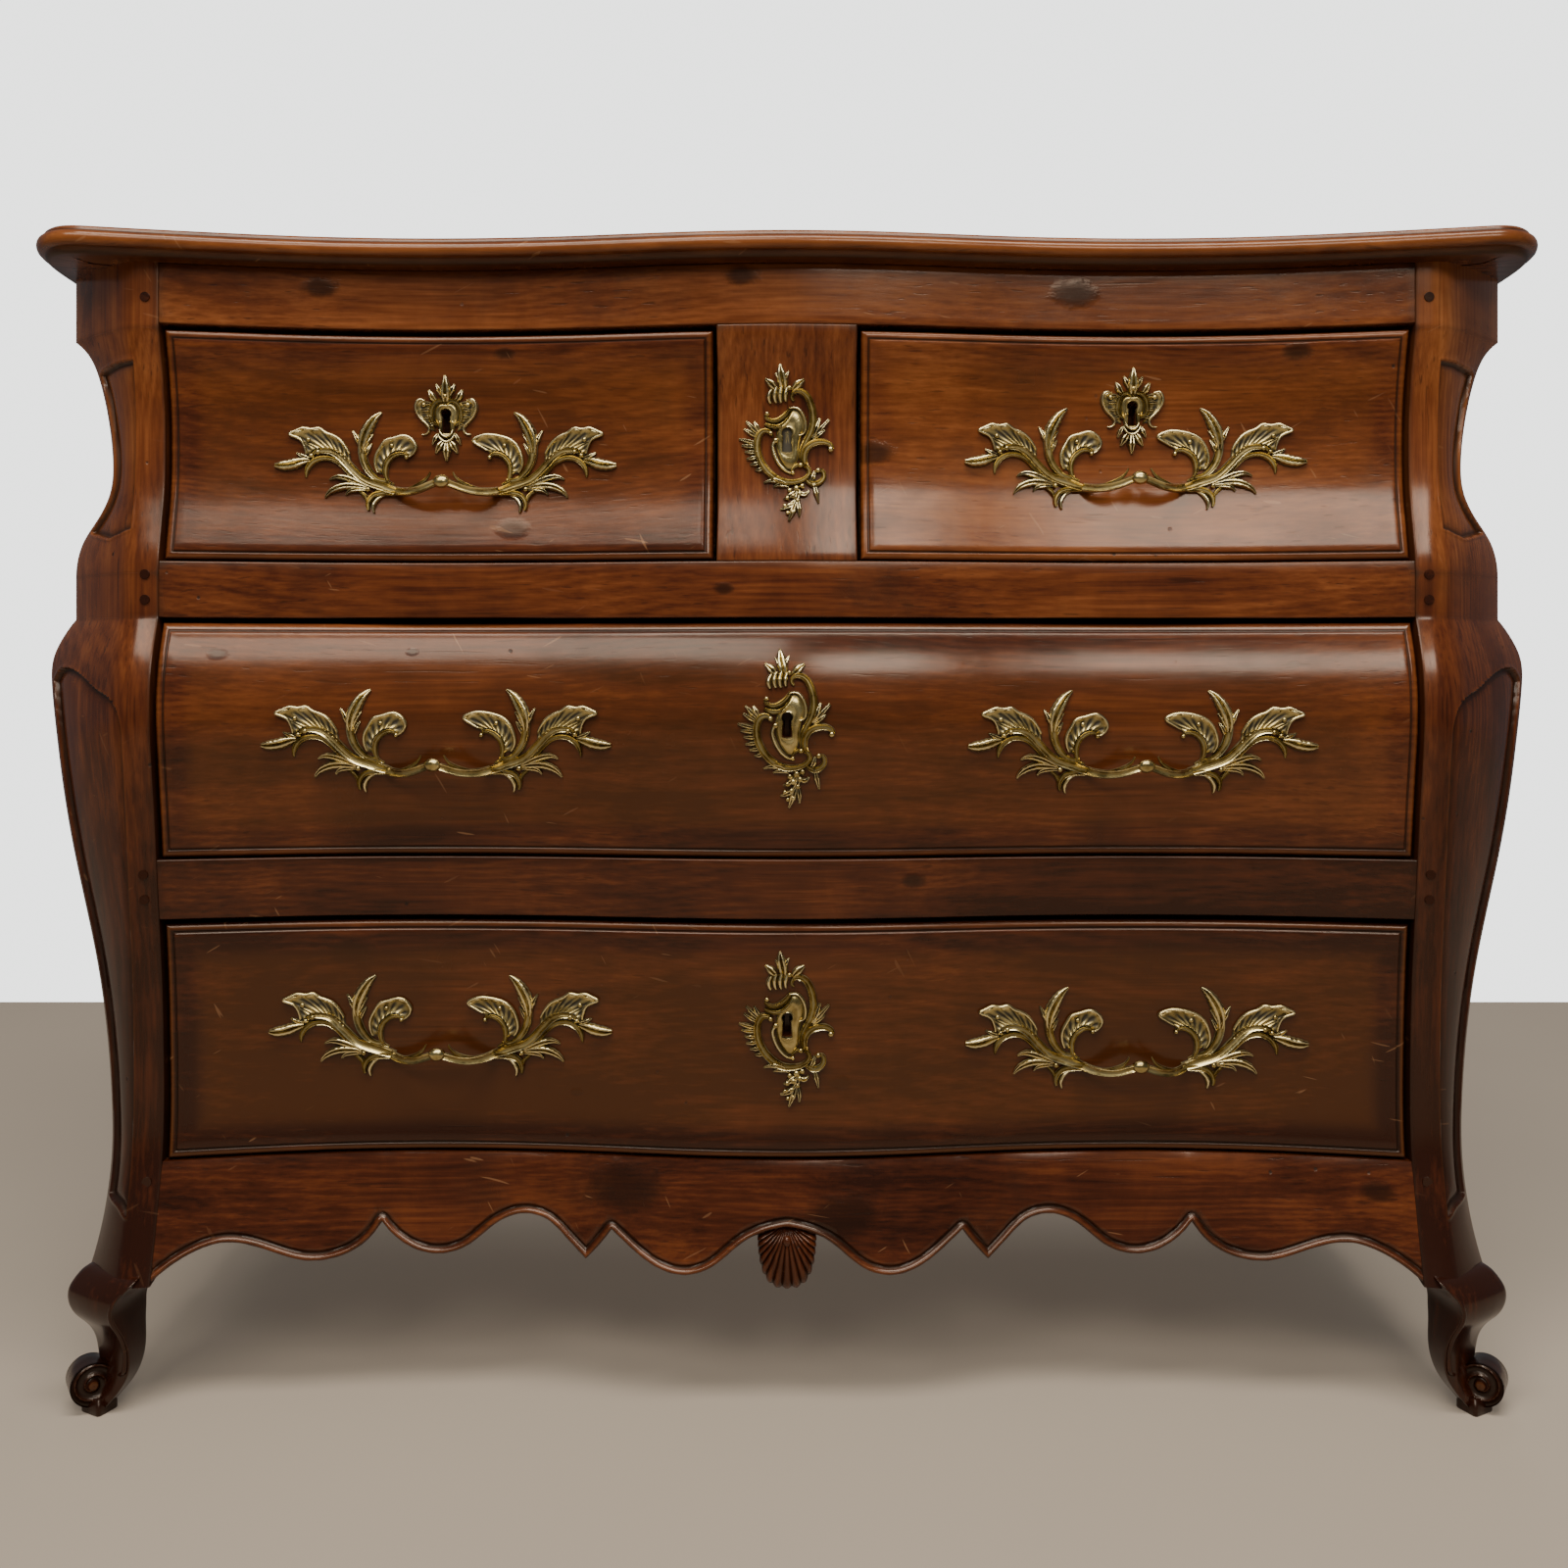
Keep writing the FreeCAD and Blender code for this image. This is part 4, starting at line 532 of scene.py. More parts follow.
# Each board has its own tone. The tones also fall from the top rail to the lowest drawer, partly as painted
# shade near the floor, and the posts' strong lift is painted light towards their tops.
finishes = {
    "top": wood("waxed_top", 0, (0.3, 0.1, 0.7), 0.04),
    "top_rail": wood("waxed_top_rail", 0, (1.1, 0.4, 0.2), 0.07,
                     [(0.232, 0.889, 0.014), (-0.036, 0.898, 0.010), (-0.375, 0.893, 0.010)]),
    "upper_rail": wood("waxed_upper_rail", 0, (2.3, 0.7, 1.9), 0.01, [(-0.05, 0.65, 0.006)]),
    "lower_rail": wood("waxed_lower_rail", 0, (4.1, 0.2, 3.3), -0.11, [(0.10, 0.418, 0.007)]),
    "apron": wood("waxed_apron", 0, (5.2, 1.7, 0.9), -0.01,
                  [(-0.130, 0.172, 0.022), (0.042, 0.152, 0.022), (0.47, 0.17, 0.01)]),
    "stile": wood("waxed_stile", 2, (1.4, 2.2, 4.8), 0.03),
    "upper_left": wood("waxed_upper_left", 0, (7.7, 1.2, 5.1), -0.10,
                       [(-0.222, 0.700, 0.010), (-0.228, 0.842, 0.006)]),
    "upper_right": wood("waxed_upper_right", 0, (3.9, 2.6, 8.4), 0.04,
                        [(0.070, 0.760, 0.012), (0.41, 0.842, 0.008)]),
    "middle": wood("waxed_middle", 0, (6.1, 3.1, 2.7), -0.07, [(-0.45, 0.598, 0.006), (-0.30, 0.60, 0.004)]),
    "lower": wood("waxed_lower", 0, (9.2, 0.8, 6.6), -0.12,
                  [(-0.352, 0.358, 0.013), (0.042, 0.255, 0.006), (-0.17, 0.244, 0.004)]),
    "post_left": wood("waxed_post_left", 2, (2.2, 5.6, 1.3), -0.17,
                      [(-0.505, 0.66, 0.006), (-0.507, 0.345, 0.007), (-0.53, 0.47, 0.011)],
                      lift=0.40, scratched=0.16),
    "post_right": wood("waxed_post_right", 2, (8.8, 2.1, 7.9), -0.18, [(0.506, 0.42, 0.007)],
                       lift=0.40, scratched=0.16),
    "panel_left": wood("waxed_panel_left", 1, (0.6, 7.3, 2.9), -0.02, [(-0.05, 0.5, 0.014)]),
    "panel_right": wood("waxed_panel_right", 1, (5.5, 3.7, 9.1), -0.02, [(0.08, 0.36, 0.012)]),
    "rear": wood("waxed_rear_posts", 2, (6.8, 8.8, 3.4), -0.03),
    "shell": wood("waxed_shell", 2, (3.3, 4.4, 5.5), -0.10),
    "pegs": wood("waxed_pegs", 1, (9.1, 6.2, 4.7), -0.30),
}
print(len(finishes), "boards, each with its own grain")

# %% [markdown]
# The front rails, the middle stile and the apron are sawn from thick planks, and their faces follow the
# skin. Each is drawn as a closed section that travels along X: face, underside, back and top. Their
# edges are eased by a millimetre, as a scraper leaves them. Under each rail over a lock there is the
# mortise that the bolt slides into, so it is part of the section too.

# %% Rails and stile
EASE_RADIUS = 1.4
EASE_STEPS = np.array([0.0, 0.2, 0.5, 0.9, 1.4])
RAIL_PITCH = 6.0
FACE_STRIP = 4
HAIR = 0.01
MORTISE_HALF = 13.5
MORTISE_DEPTH = 14.0
MORTISE_FRONT = 3.5
MORTISE_REAR = 5.5
TOP_RAIL = (860, CASE_TOP)
UPPER_RAIL = (627, 672)
LOWER_RAIL = (387.5, 435.5)
STILE_HALF = 56
STILE_BACK = 40
KEYHOLES = {
    "upper_left_drawer": (-277.5, 790), "upper_right_drawer": (281, 796),
    "middle_drawer": (0, 544), "lower_drawer": (0, 304),
}
FRONT_BACKS = {"upper_left_drawer": 34, "upper_right_drawer": 34, "middle_drawer": 24, "lower_drawer": 36}


def eased(distance, radius=EASE_RADIUS):
    """How far a rounded edge falls back at a distance from the edge."""
    left = np.clip(radius - distance, 0, radius)
    return radius - np.sqrt(radius ** 2 - left ** 2)


def edge_lines(low, high, pitch, steps=EASE_STEPS, extra=()):
    """Grid lines with fine steps at both ends."""
    inner = spread(low + steps[-1], high - steps[-1], pitch, extra)
    return np.concatenate([low + steps[:-1], inner, high - steps[-2::-1]])


def rail_rings(x_lines, low, high, back, mortises, end_radius):
    """The closed sections of a rail, one for each X, and for each point its number for old polish, painted
    shade and painted highlight.
    """
    heights = edge_lines(low, high, RAIL_PITCH)[::-1]
    edge = np.minimum(heights - low, high - heights)
    far = FRONT_PLANE + back
    rings = []
    wax_shade_and_sheen_rows = []
    for x in x_lines:
        end = min(x - x_lines[0], x_lines[-1] - x)
        fall = eased(edge) + eased(end, end_radius)
        face = np.column_stack([np.full(len(heights), x), front_y(x, heights) + fall, heights])
        near = face[-1, 1]
        bolt_y = mortises[0][1] + serpentine(mortises[0][0]) + FRONT_PLANE if mortises else (near + far) / 2
        pocket = any(abs(x - bolt_x) <= MORTISE_HALF for bolt_x, _ in mortises)
        roof = low + (MORTISE_DEPTH if pocket else 0.0)
        under = [(x, near + FACE_STRIP, low),
                 (x, bolt_y - MORTISE_FRONT - HAIR, low), (x, bolt_y - MORTISE_FRONT, roof),
                 (x, bolt_y + MORTISE_REAR, roof), (x, bolt_y + MORTISE_REAR + HAIR, low)]
        rear = [(x, far, low), (x, far, (low + high) / 2), (x, far, high)]
        over = [(x, (near + far) / 2, high), (x, face[0, 1] + FACE_STRIP, high)]
        rings.append(np.vstack([face, under, rear, over]))
        # Painted shade and highlight: dark at the edges and at the ends where the rail meets the posts,
        # partly old polish and partly painted shade, and lighter just above the lower edge, partly wear and
        # partly a painted highlight.
        quirk_wax_and_shade = 0.55 * np.exp(-edge / 5) + 0.5 * np.exp(-end / 4)
        rubbed = 0.45 * np.exp(-((heights - low - 1.0) / 1.2) ** 2)
        wax_shade_and_sheen_rows.append(np.concatenate([quirk_wax_and_shade - rubbed, np.full(len(under) + len(rear) + len(over), 0.2)]))
    return np.array(rings), np.array(wax_shade_and_sheen_rows)


def rail_piece(name, finish, low_high, locks=(), half=JOINT_X, back=RAIL_BACK, end_ease=0.5):
    """A rail or a stile, with a mortise for the bolt of each drawer that locks into it."""
    mortises = [(KEYHOLES[drawer][0], FRONT_BACKS[drawer]) for drawer in locks]
    marks = [x + side * (MORTISE_HALF + step) for x, _ in mortises for side in (-1, 1) for step in (0, HAIR)]
    x_lines = edge_lines(-half, half, RAIL_PITCH, EASE_STEPS * end_ease, marks)
    work = Work()
    work.tube(*rail_rings(x_lines, *low_high, back, mortises, EASE_RADIUS * end_ease))
    finish_piece(name + "_wood", work.mesh(name), finish, "case", name)


rail_piece("top_rail", finishes["top_rail"], TOP_RAIL, ("upper_left_drawer", "upper_right_drawer"))
rail_piece("upper_divider_rail", finishes["upper_rail"], UPPER_RAIL, ("middle_drawer",))
rail_piece("lower_divider_rail", finishes["lower_rail"], LOWER_RAIL, ("lower_drawer",))
rail_piece("centre_stile", finishes["stile"], (UPPER_RAIL[1], TOP_RAIL[0]), (), STILE_HALF, STILE_BACK, 1.0)

# %% [markdown]
# A drawer front is one thick board with a lower lip worked all round: a quarter round, a narrow quirk
# and a step up to the field. The height of the lip depends only on the distance from the nearest edge,
# which mitres it in the corners by itself. The keyhole is a pit in the grid under its brass plate, and
# the pocket for the lock is one in the grid behind. The ends stop a little short of the dovetails.

# %% Drawer fronts
LIP_STEPS = np.array([0, 0.3, 0.8, 1.5, 2.4, 3.4, 4.4, 5.1, 5.5, 6.0, 6.6, 7.1, 7.7, 8.6])
LIP_FALL = np.array([5.4, 4.3, 3.4, 2.7, 2.1, 1.7, 1.4, 1.3, 1.5, 1.9, 1.8, 1.0, 0.3, 0.0])
LIP_WAX_SHADE_AND_SHEEN = np.array([0.8, 0.4, 0.0, -0.3, -0.5, -0.5, -0.3, 0.0, 0.4, 0.75, 0.7, 0.2, -0.2, -0.3])
FRONT_PITCH = 5.0
KEY_RADIUS = 4.1
KEY_SLOT = 2.9
KEY_RISE = 4
KEY_FOOT = -11
KEY_ROOM = 0.5
KEY_DEPTH = 17.0
KEY_ACROSS = (-5.6, -4.6, -3.9, -3.4, -1.7, 0, 1.7, 3.4, 3.9, 4.6, 5.6)
KEY_UP = (-13, -11.5, -10, -5, -0.6, 0.4, 1.6, 3, 4, 5, 6.2, 7.4, 8.6, 9.8)
LOCK_HALF = 39
LOCK_BELOW = 30
LOCK_INSET = 6.2
LOCK_WALL = 0.02


def keyhole_pit(x, z, key):
    """How deep the wood is cut at a place round a keyhole."""
    across, up = np.abs(x - key[0]), z - key[1]
    ring = np.hypot(across, up - KEY_RISE) < KEY_RADIUS + KEY_ROOM
    slot = (across < KEY_SLOT + KEY_ROOM) & (up > KEY_FOOT - KEY_ROOM) & (up < KEY_RISE)
    return np.where(ring | slot, KEY_DEPTH, 0.0)


def drawer_front(name, finish, left, right, low, high):
    """A shaped drawer front."""
    key = KEYHOLES[name]
    lock_x = [key[0] + side * (LOCK_HALF + step) for side in (-1, 1) for step in (0, LOCK_WALL)]
    lock_z = [key[1] - LOCK_BELOW - step for step in (0, LOCK_WALL)]
    x_lines = edge_lines(left, right, FRONT_PITCH, LIP_STEPS, [key[0] + step for step in KEY_ACROSS] + lock_x)
    z_lines = edge_lines(low, high, FRONT_PITCH, LIP_STEPS, [key[1] + step for step in KEY_UP] + lock_z)
    x, z = np.meshgrid(x_lines, z_lines)
    edge = np.minimum(np.minimum(x - left, right - x), np.minimum(z - low, high - z))
    fall = np.interp(edge, LIP_STEPS, LIP_FALL)
    # The lip is darkened at its outer edge and in its groove, partly old polish and partly painted shade, and
    # lightened on its round, partly wear and partly a painted highlight; a band about 14 mm inside the edge
    # is darkened a little as well.
    wax = np.interp(edge, LIP_STEPS, LIP_WAX_SHADE_AND_SHEEN) + 0.30 * np.exp(-((edge - 14) / 9) ** 2)
    face = front_y(x, z) + fall + keyhole_pit(x, z, key)
    pocket = (np.abs(x - key[0]) <= LOCK_HALF) & (z >= key[1] - LOCK_BELOW)
    back = FRONT_PLANE + serpentine(x) + FRONT_BACKS[name] - np.where(pocket, LOCK_INSET, 0)
    work = Work()
    work.board(np.stack([x, face, z], axis=-1), np.stack([x, back, z], axis=-1), wax, 0.3, 0.3)
    finish_piece(name + "_front_wood", work.mesh(name + "_front"), finish, name,
                 name + "_front")


END_SHORT = 0.3
GAP = 2.5
OUTER_END = JOINT_X - GAP - END_SHORT
INNER_END = STILE_HALF + GAP + END_SHORT
drawer_front("upper_left_drawer", finishes["upper_left"], -OUTER_END, -INNER_END, 673.5, 855.7)
drawer_front("upper_right_drawer", finishes["upper_right"], INNER_END, OUTER_END, 673.5, 855.7)
drawer_front("middle_drawer", finishes["middle"], -OUTER_END, OUTER_END, 437, 622.7)
drawer_front("lower_drawer", finishes["lower"], -OUTER_END, OUTER_END, 195.5, 383.2)

# %% [markdown]
# The apron's lower edge is cut in scallops that meet in points, and a bead is carved along it. As with
# the lip, the bead depends only on the distance from the edge, now measured to a dense copy of the
# curve, so it turns the points of the scallops as a carver would.

# %% Apron
BEAD_STEPS = np.array([0.0, 0.6, 1.4, 2.4, 3.4, 4.4, 5.2, 5.8, 6.6, 7.6, 9.0])
BEAD_FALL = np.array([3.2, 1.5, 0.4, 0.0, 0.3, 1.2, 2.3, 2.7, 2.2, 1.0, 0.0])
BEAD_WAX_SHADE_AND_SHEEN = np.array([0.3, 0.1, -0.2, -0.35, -0.2, 0.3, 1.0, 1.0, 0.9, 0.5, 0.1])
BEAD_ROWS = np.array([0.0, 0.6, 1.2, 1.9, 2.7, 3.5, 4.3, 5.0, 5.6, 6.3, 7.1, 8.0, 9.2, 11.0, 14.0])
EVEN_ROWS = np.linspace(0, 1, 8)[1:, None]
BATCH = 2000
APRON_TOP = 194
APRON_BACK = 30
APRON_PITCH = 3.0
APRON_POINTS = (140, 160, 326)
POINT_COLUMNS = (-6, -4, -2.5, -1.2, 0, 1.2, 2.5, 4, 6)


def edge_distance(a, b, curve):
    """How far each point of a flat grid lies from a dense curve, worked out a batch at a time."""
    spots = np.stack([a, b], axis=-1).reshape(-1, 2)
    nearest = np.empty(len(spots))
    for i in range(0, len(spots), BATCH):
        gaps = spots[i:i + BATCH, None, :] - curve[None, :, :]
        nearest[i:i + BATCH] = np.sqrt((gaps ** 2).sum(axis=-1).min(axis=1))
    return nearest.reshape(a.shape)


def rows_above(edge, high):
    """Heights for each column: fine steps above its edge, then even steps to a fixed height."""
    start = edge + BEAD_ROWS[-1]
    return np.vstack([edge + BEAD_ROWS[:, None], start + (high - start) * EVEN_ROWS])


def front_apron(name, finish):
    """The apron between the front posts."""
    marks = [side * x + step for side in (-1, 1) for x in APRON_POINTS for step in POINT_COLUMNS]
    columns = spread(-JOINT_X, JOINT_X, APRON_PITCH, marks)
    z = rows_above(np.interp(columns, apron_rows[:, 0], apron_rows[:, 1]), APRON_TOP)
    x = np.broadcast_to(columns, z.shape)
    edge = edge_distance(x, z, apron_rows)
    face = front_y(x, z) + np.interp(edge, BEAD_STEPS, BEAD_FALL) + eased(APRON_TOP - z)
    back = FRONT_PLANE + serpentine(x) + APRON_BACK
    work = Work()
    # The bead's groove is darkened, partly for old polish and partly as painted shade, and its crest
    # lightened a little, partly for wear and partly as a painted highlight.
    work.board(np.stack([x, face, z], axis=-1), np.stack([x, back, z], axis=-1),
               np.interp(edge, BEAD_STEPS, BEAD_WAX_SHADE_AND_SHEEN), 0.3, 0.2)
    finish_piece(name + "_wood", work.mesh(name), finish, "case", name)


front_apron("front_apron", finishes["apron"])

# %% [markdown]
# The top board overhangs the case. Its edge was run with a moulding plane along the front and both
# sides: a small step, a round and a hollow under it. The profile is swept along the outline by moving
# each point of the outline inwards; behind, the board is plain.

# %% Top board
TOP_HALF = [
    (0, -22), (90, -16), (180, -4), (280, 2), (380, -4), (450, -15), (497, -24), (535, -32),
    (562, -34), (584, -18), (596, 8), (603, 60), (611, 150), (616, 290), (611, 420), (603, 510),
    (598, 584),
]
TOP_EDGE = [
    (40, 908), (11, 908), (9.0, 908.4), (7.4, 909.6), (6.4, 911.4), (5.9, 913.2), (4.2, 913.8),
    (2.2, 914.2), (0.9, 915.6), (0.2, 917.6), (0.0, 919.6), (0.4, 921.8), (1.4, 923.6), (2.8, 924.8),
    (4.6, 925.4), (5.0, 926.0), (5.2, 927.2), (6.0, 928.4), (7.4, 929.3), (9.4, 929.8), (12.0, 930.0),
]
TOP_EDGE_WAX_SHADE_AND_SHEEN = [0.4, 0.6, 0.8, 0.9, 0.7, 0.4, 0.3, 0.0, -0.3, -0.5, -0.5, -0.4, -0.2, 0.3, 0.8, 0.8, 0.2,
                -0.4, -0.5, -0.3, 0.0]
TOP_MIDDLE = np.array([0.0, FRONT_PLANE + 280.0, 0.0])
BACK_COLUMNS = 22


def top_ring(outline, inward, inset, height):
    """The board's outline moved inwards, closed along the straight back."""
    edge = outline + inward * inset
    back_y = outline[-1, 1]
    edge[:, 1] = np.minimum(edge[:, 1], back_y)
    back_x = np.linspace(edge[-1, 0], edge[0, 0], BACK_COLUMNS + 2)[1:-1]
    ring = np.vstack([edge, np.column_stack([back_x, np.full(BACK_COLUMNS, back_y)])])
    return np.column_stack([ring[:, 0], ring[:, 1] + FRONT_PLANE, np.full(len(ring), height)])


def top_board(name, finish):
    """The moulded edge, and above and below it a sheet that shrinks towards the middle."""
    outline = Spline([(-x, y) for x, y in TOP_HALF[:0:-1]] + TOP_HALF).run(520)
    ahead = np.gradient(outline, axis=0)
    inward = np.column_stack([-ahead[:, 1], ahead[:, 0]])
    inward /= np.linalg.norm(inward, axis=1)[:, None]
    inward[[0, -1], 1] = 0
    inward[[0, -1], 0] = np.sign(inward[[0, -1], 0])
    work = Work()
    rings = [top_ring(outline, inward, inset, height) for inset, height in TOP_EDGE]
    # The moulding is darkened in its step and its hollow, partly for old polish and partly as painted shade,
    # and lightened on its rounds, partly for wear and partly as a painted highlight.
    work.grid(rings, np.array(TOP_EDGE_WAX_SHADE_AND_SHEEN)[:, None], around=True)
    for rim in (rings[-1], rings[0]):
        sheet = [TOP_MIDDLE + (rim - TOP_MIDDLE) * (share, share, 1) for share in (1, 0.9, 0.7, 0.45, 0.2)]
        work.grid(sheet, 0.0, around=True)
        work.fan(sheet[-1])
    finish_piece(name + "_wood", work.mesh(name, 40), finish, "case", name)


top_board("top_board", finishes["top"])

# %% [markdown]
# The sides are bulging boards let into the posts, with a scalloped lower edge like the apron's. Their
# rows follow the scallops near the floor and turn level higher up, with a row exactly on each crisp
# line of the profile.

# %% Side panels
SIDE_BOARD = 22
SIDE_COLUMNS = 110
SIDE_PITCH = 8
SIDE_LEVEL = 200


def side_panel(name, side, finish):
    """One side board, from the front post to the rear post."""
    along = np.linspace(flank.along_at(POST_BACK), flank.along_at(REAR_POST), SIDE_COLUMNS)
    depth = flank.plan.at(along)[:, 1]
    low = np.interp(depth, side_edge_rows[:, 0], side_edge_rows[:, 1])
    rows = rows_above(low, SIDE_LEVEL)
    upper = spread(SIDE_LEVEL, CASE_TOP, SIDE_PITCH, CRISP_HEIGHTS)[1:]
    z = np.vstack([rows, np.broadcast_to(upper[:, None], (len(upper), len(low)))])
    x, y = flank.at(np.broadcast_to(along, z.shape), z)
    edge = edge_distance(np.broadcast_to(depth, rows.shape), rows, side_edge_rows)
    fall = np.zeros_like(z)
    fall[:len(rows)] = np.interp(edge, BEAD_STEPS, BEAD_FALL)
    joint = np.minimum(depth - depth[0], depth[-1] - depth)
    fall = fall + eased(joint, 1.0)[None, :]
    # The board is darkened at its joints with the posts, partly for old polish and partly as painted shade,
    # and along its bead as the apron is.
    wax = np.broadcast_to(0.5 * np.exp(-joint / 4), z.shape).copy()
    wax[:len(rows)] += np.interp(edge, BEAD_STEPS, BEAD_WAX_SHADE_AND_SHEEN)
    outer = np.stack([side * (x - fall), y, z], axis=-1)
    inner = np.stack([side * (x - SIDE_BOARD), y, z], axis=-1)
    work = Work()
    work.board(outer, inner, wax, 0.3, 0.2)
    finish_piece(name + "_wood", work.mesh(name), finish, "case", name)


side_panel("side_panel_left", -1, finishes["panel_left"])
side_panel("side_panel_right", 1, finishes["panel_right"])

# %% [markdown]
# A corner post is a single timber, drawn as closed sections one above the other: a strip of the front,
# the canted face, a strip of the side, and two flat faces inside. The arris between front and cant is
# worked to a broad round, which here is a curve through three points. The cant carries two sunk panels.
# Their outlines are polygons on the cant, and the depth of the carving at a point depends only on its
# distance from the outline: a small raised line outside, a quirk, and a hollow that flattens out.

# %% Front posts
POST_RUNS = (
    (KNEE, 150, 3), (150, 170, 0.9), (170, 540, 4), (540, 592, 0.9), (592, 686, 3),
    (686, 700, 0.9), (700, 822, 4), (822, 834, 0.9), (834, CASE_TOP, 4),
)
POST_FACE = JOINT_X + np.array([0, 0.25, 0.6, 2, 4.5, 6, 8, 10, 12, 14, 16, 18])
CANT_START = (0, 0.6, 1.2, 1.9, 2.6, 3.3, 4.1, 5.0, 6.2, 7.6)
CANT_END = np.array([10.5, 9.4, 8.4, 7.4, 6.4, 5.6, 4.8, 4.0, 3.2, 2.4, 1.6, 0.8, 0])
POST_EASE = 0.7
POST_CORNER_X = 535.0
POST_THICK = 40
CANT_STRETCH = 1.25
ARRIS_ROUND = 14.0
PANEL_BORDER = 4.5
PANEL_STEPS = np.array([-6.0, -3.0, -2.0, -1.0, -0.1, 0.7, 1.6, 2.6, 4.0, 7.0, 12.0, 30.0])
PANEL_FALL = np.array([0.0, 0.0, -0.5, -0.6, 0.0, 2.6, 3.6, 3.5, 3.0, 2.4, 2.0, 1.7])
PANEL_WAX_SHADE_AND_SHEEN = np.array([0.0, 0.1, -0.2, -0.3, 0.2, 0.9, 1.0, 0.8, 0.5, 0.2, 0.0, 0.0])
UPPER_PANEL_HEAD = [(519, 831), (537, 831), (557, 828)]
UPPER_PANEL_FOOT = [(570, 697), (546, 691), (521, 698)]
LOWER_PANEL_HEAD = [
    (519.0, 535), (521, 547), (525, 556), (531, 562), (538, 566), (546, 569), (555, 574), (565, 580),
    (575, 584.5), (585, 587), (594, 586.5), (601, 581), (606, 570),
]
LOWER_PANEL_FOOT = [(541, 163.5), (531, 161), (521, 154)]


def panel_limit(z):
    """How far out a sunk panel may reach at a height."""
    return CANT[-1][0] + side_swell(z) - PANEL_BORDER


def panel_outline(head, foot):
    """The outline of a sunk panel on the right cant, as the front view sees it."""
    heights = np.linspace(head[-1][1] - 2, foot[0][1] + 2, 60)
    if len(head) > 5:
        head = Spline(head).run(60)
        head[:, 0] = np.minimum(head[:, 0], panel_limit(head[:, 1]))
    inner = np.linspace(foot[-1], head[0], 40)[1:-1]
    return np.vstack([head, np.column_stack([panel_limit(heights), heights]), foot, inner])


def inside(a, b, outline):
    """Whether points of a flat grid lie inside a closed outline."""
    found = np.zeros(a.shape, bool)
    ends = np.roll(outline, -1, axis=0)
    for (a0, b0), (a1, b1) in zip(outline, ends):
        if b0 != b1:
            crossing = (b0 > b) != (b1 > b)
            found ^= crossing & (a < (a1 - a0) * (b - b0) / (b1 - b0) + a0)
    return found


def dense(outline):
    """A closed outline with points about a millimetre apart."""
    ring = np.vstack([outline, outline[:1]])
    steps = running_length(ring)
    marks = np.linspace(0, steps[-1], int(steps[-1]))
    return np.column_stack([np.interp(marks, steps, ring[:, i]) for i in range(2)])


PANELS = [
    dense(panel_outline(UPPER_PANEL_HEAD, UPPER_PANEL_FOOT) * (CANT_STRETCH, 1)),
    dense(panel_outline(LOWER_PANEL_HEAD, LOWER_PANEL_FOOT) * (CANT_STRETCH, 1)),
]


def post_heights():
    """The rows of a front post: fine where a panel starts and ends, and exact on the crisp lines."""
    lines = set()
    for low, high, pitch in POST_RUNS:
        lines |= {round(float(v), 4) for v in spread(low, high, pitch, CRISP_HEIGHTS)}
    return np.array(sorted(lines))


def panel_carving(x, z):
    """How deep the sunk panels are cut at places on the cant, and their number for old polish, painted shade
    and painted highlight there.
    """
    fall = np.zeros(x.shape)
    wax = np.zeros(x.shape)
    for outline in PANELS:
        a, b = x * CANT_STRETCH, z
        gap = edge_distance(a, b, outline) * np.where(inside(a, b, outline), 1, -1)
        fall += np.interp(gap, PANEL_STEPS, PANEL_FALL)
        wax += np.interp(gap, PANEL_STEPS, PANEL_WAX_SHADE_AND_SHEEN)
    return fall, wax


def upright(x, y, heights):
    """One corner of a post's flat inner faces, as a column of points."""
    return np.stack(np.broadcast_arrays(x, y, heights), axis=-1)


def follow_scallops(rings):
    """Moves the lowest points of a post to the height of the side's scalloped edge."""
    edge = np.interp(rings[..., 1] - FRONT_PLANE, side_edge_rows[:, 0], side_edge_rows[:, 1])
    rings[..., 2] += (edge - KNEE) * np.clip((LEVEL_ABOVE - rings[..., 2]) / (LEVEL_ABOVE - KNEE), 0, 1)


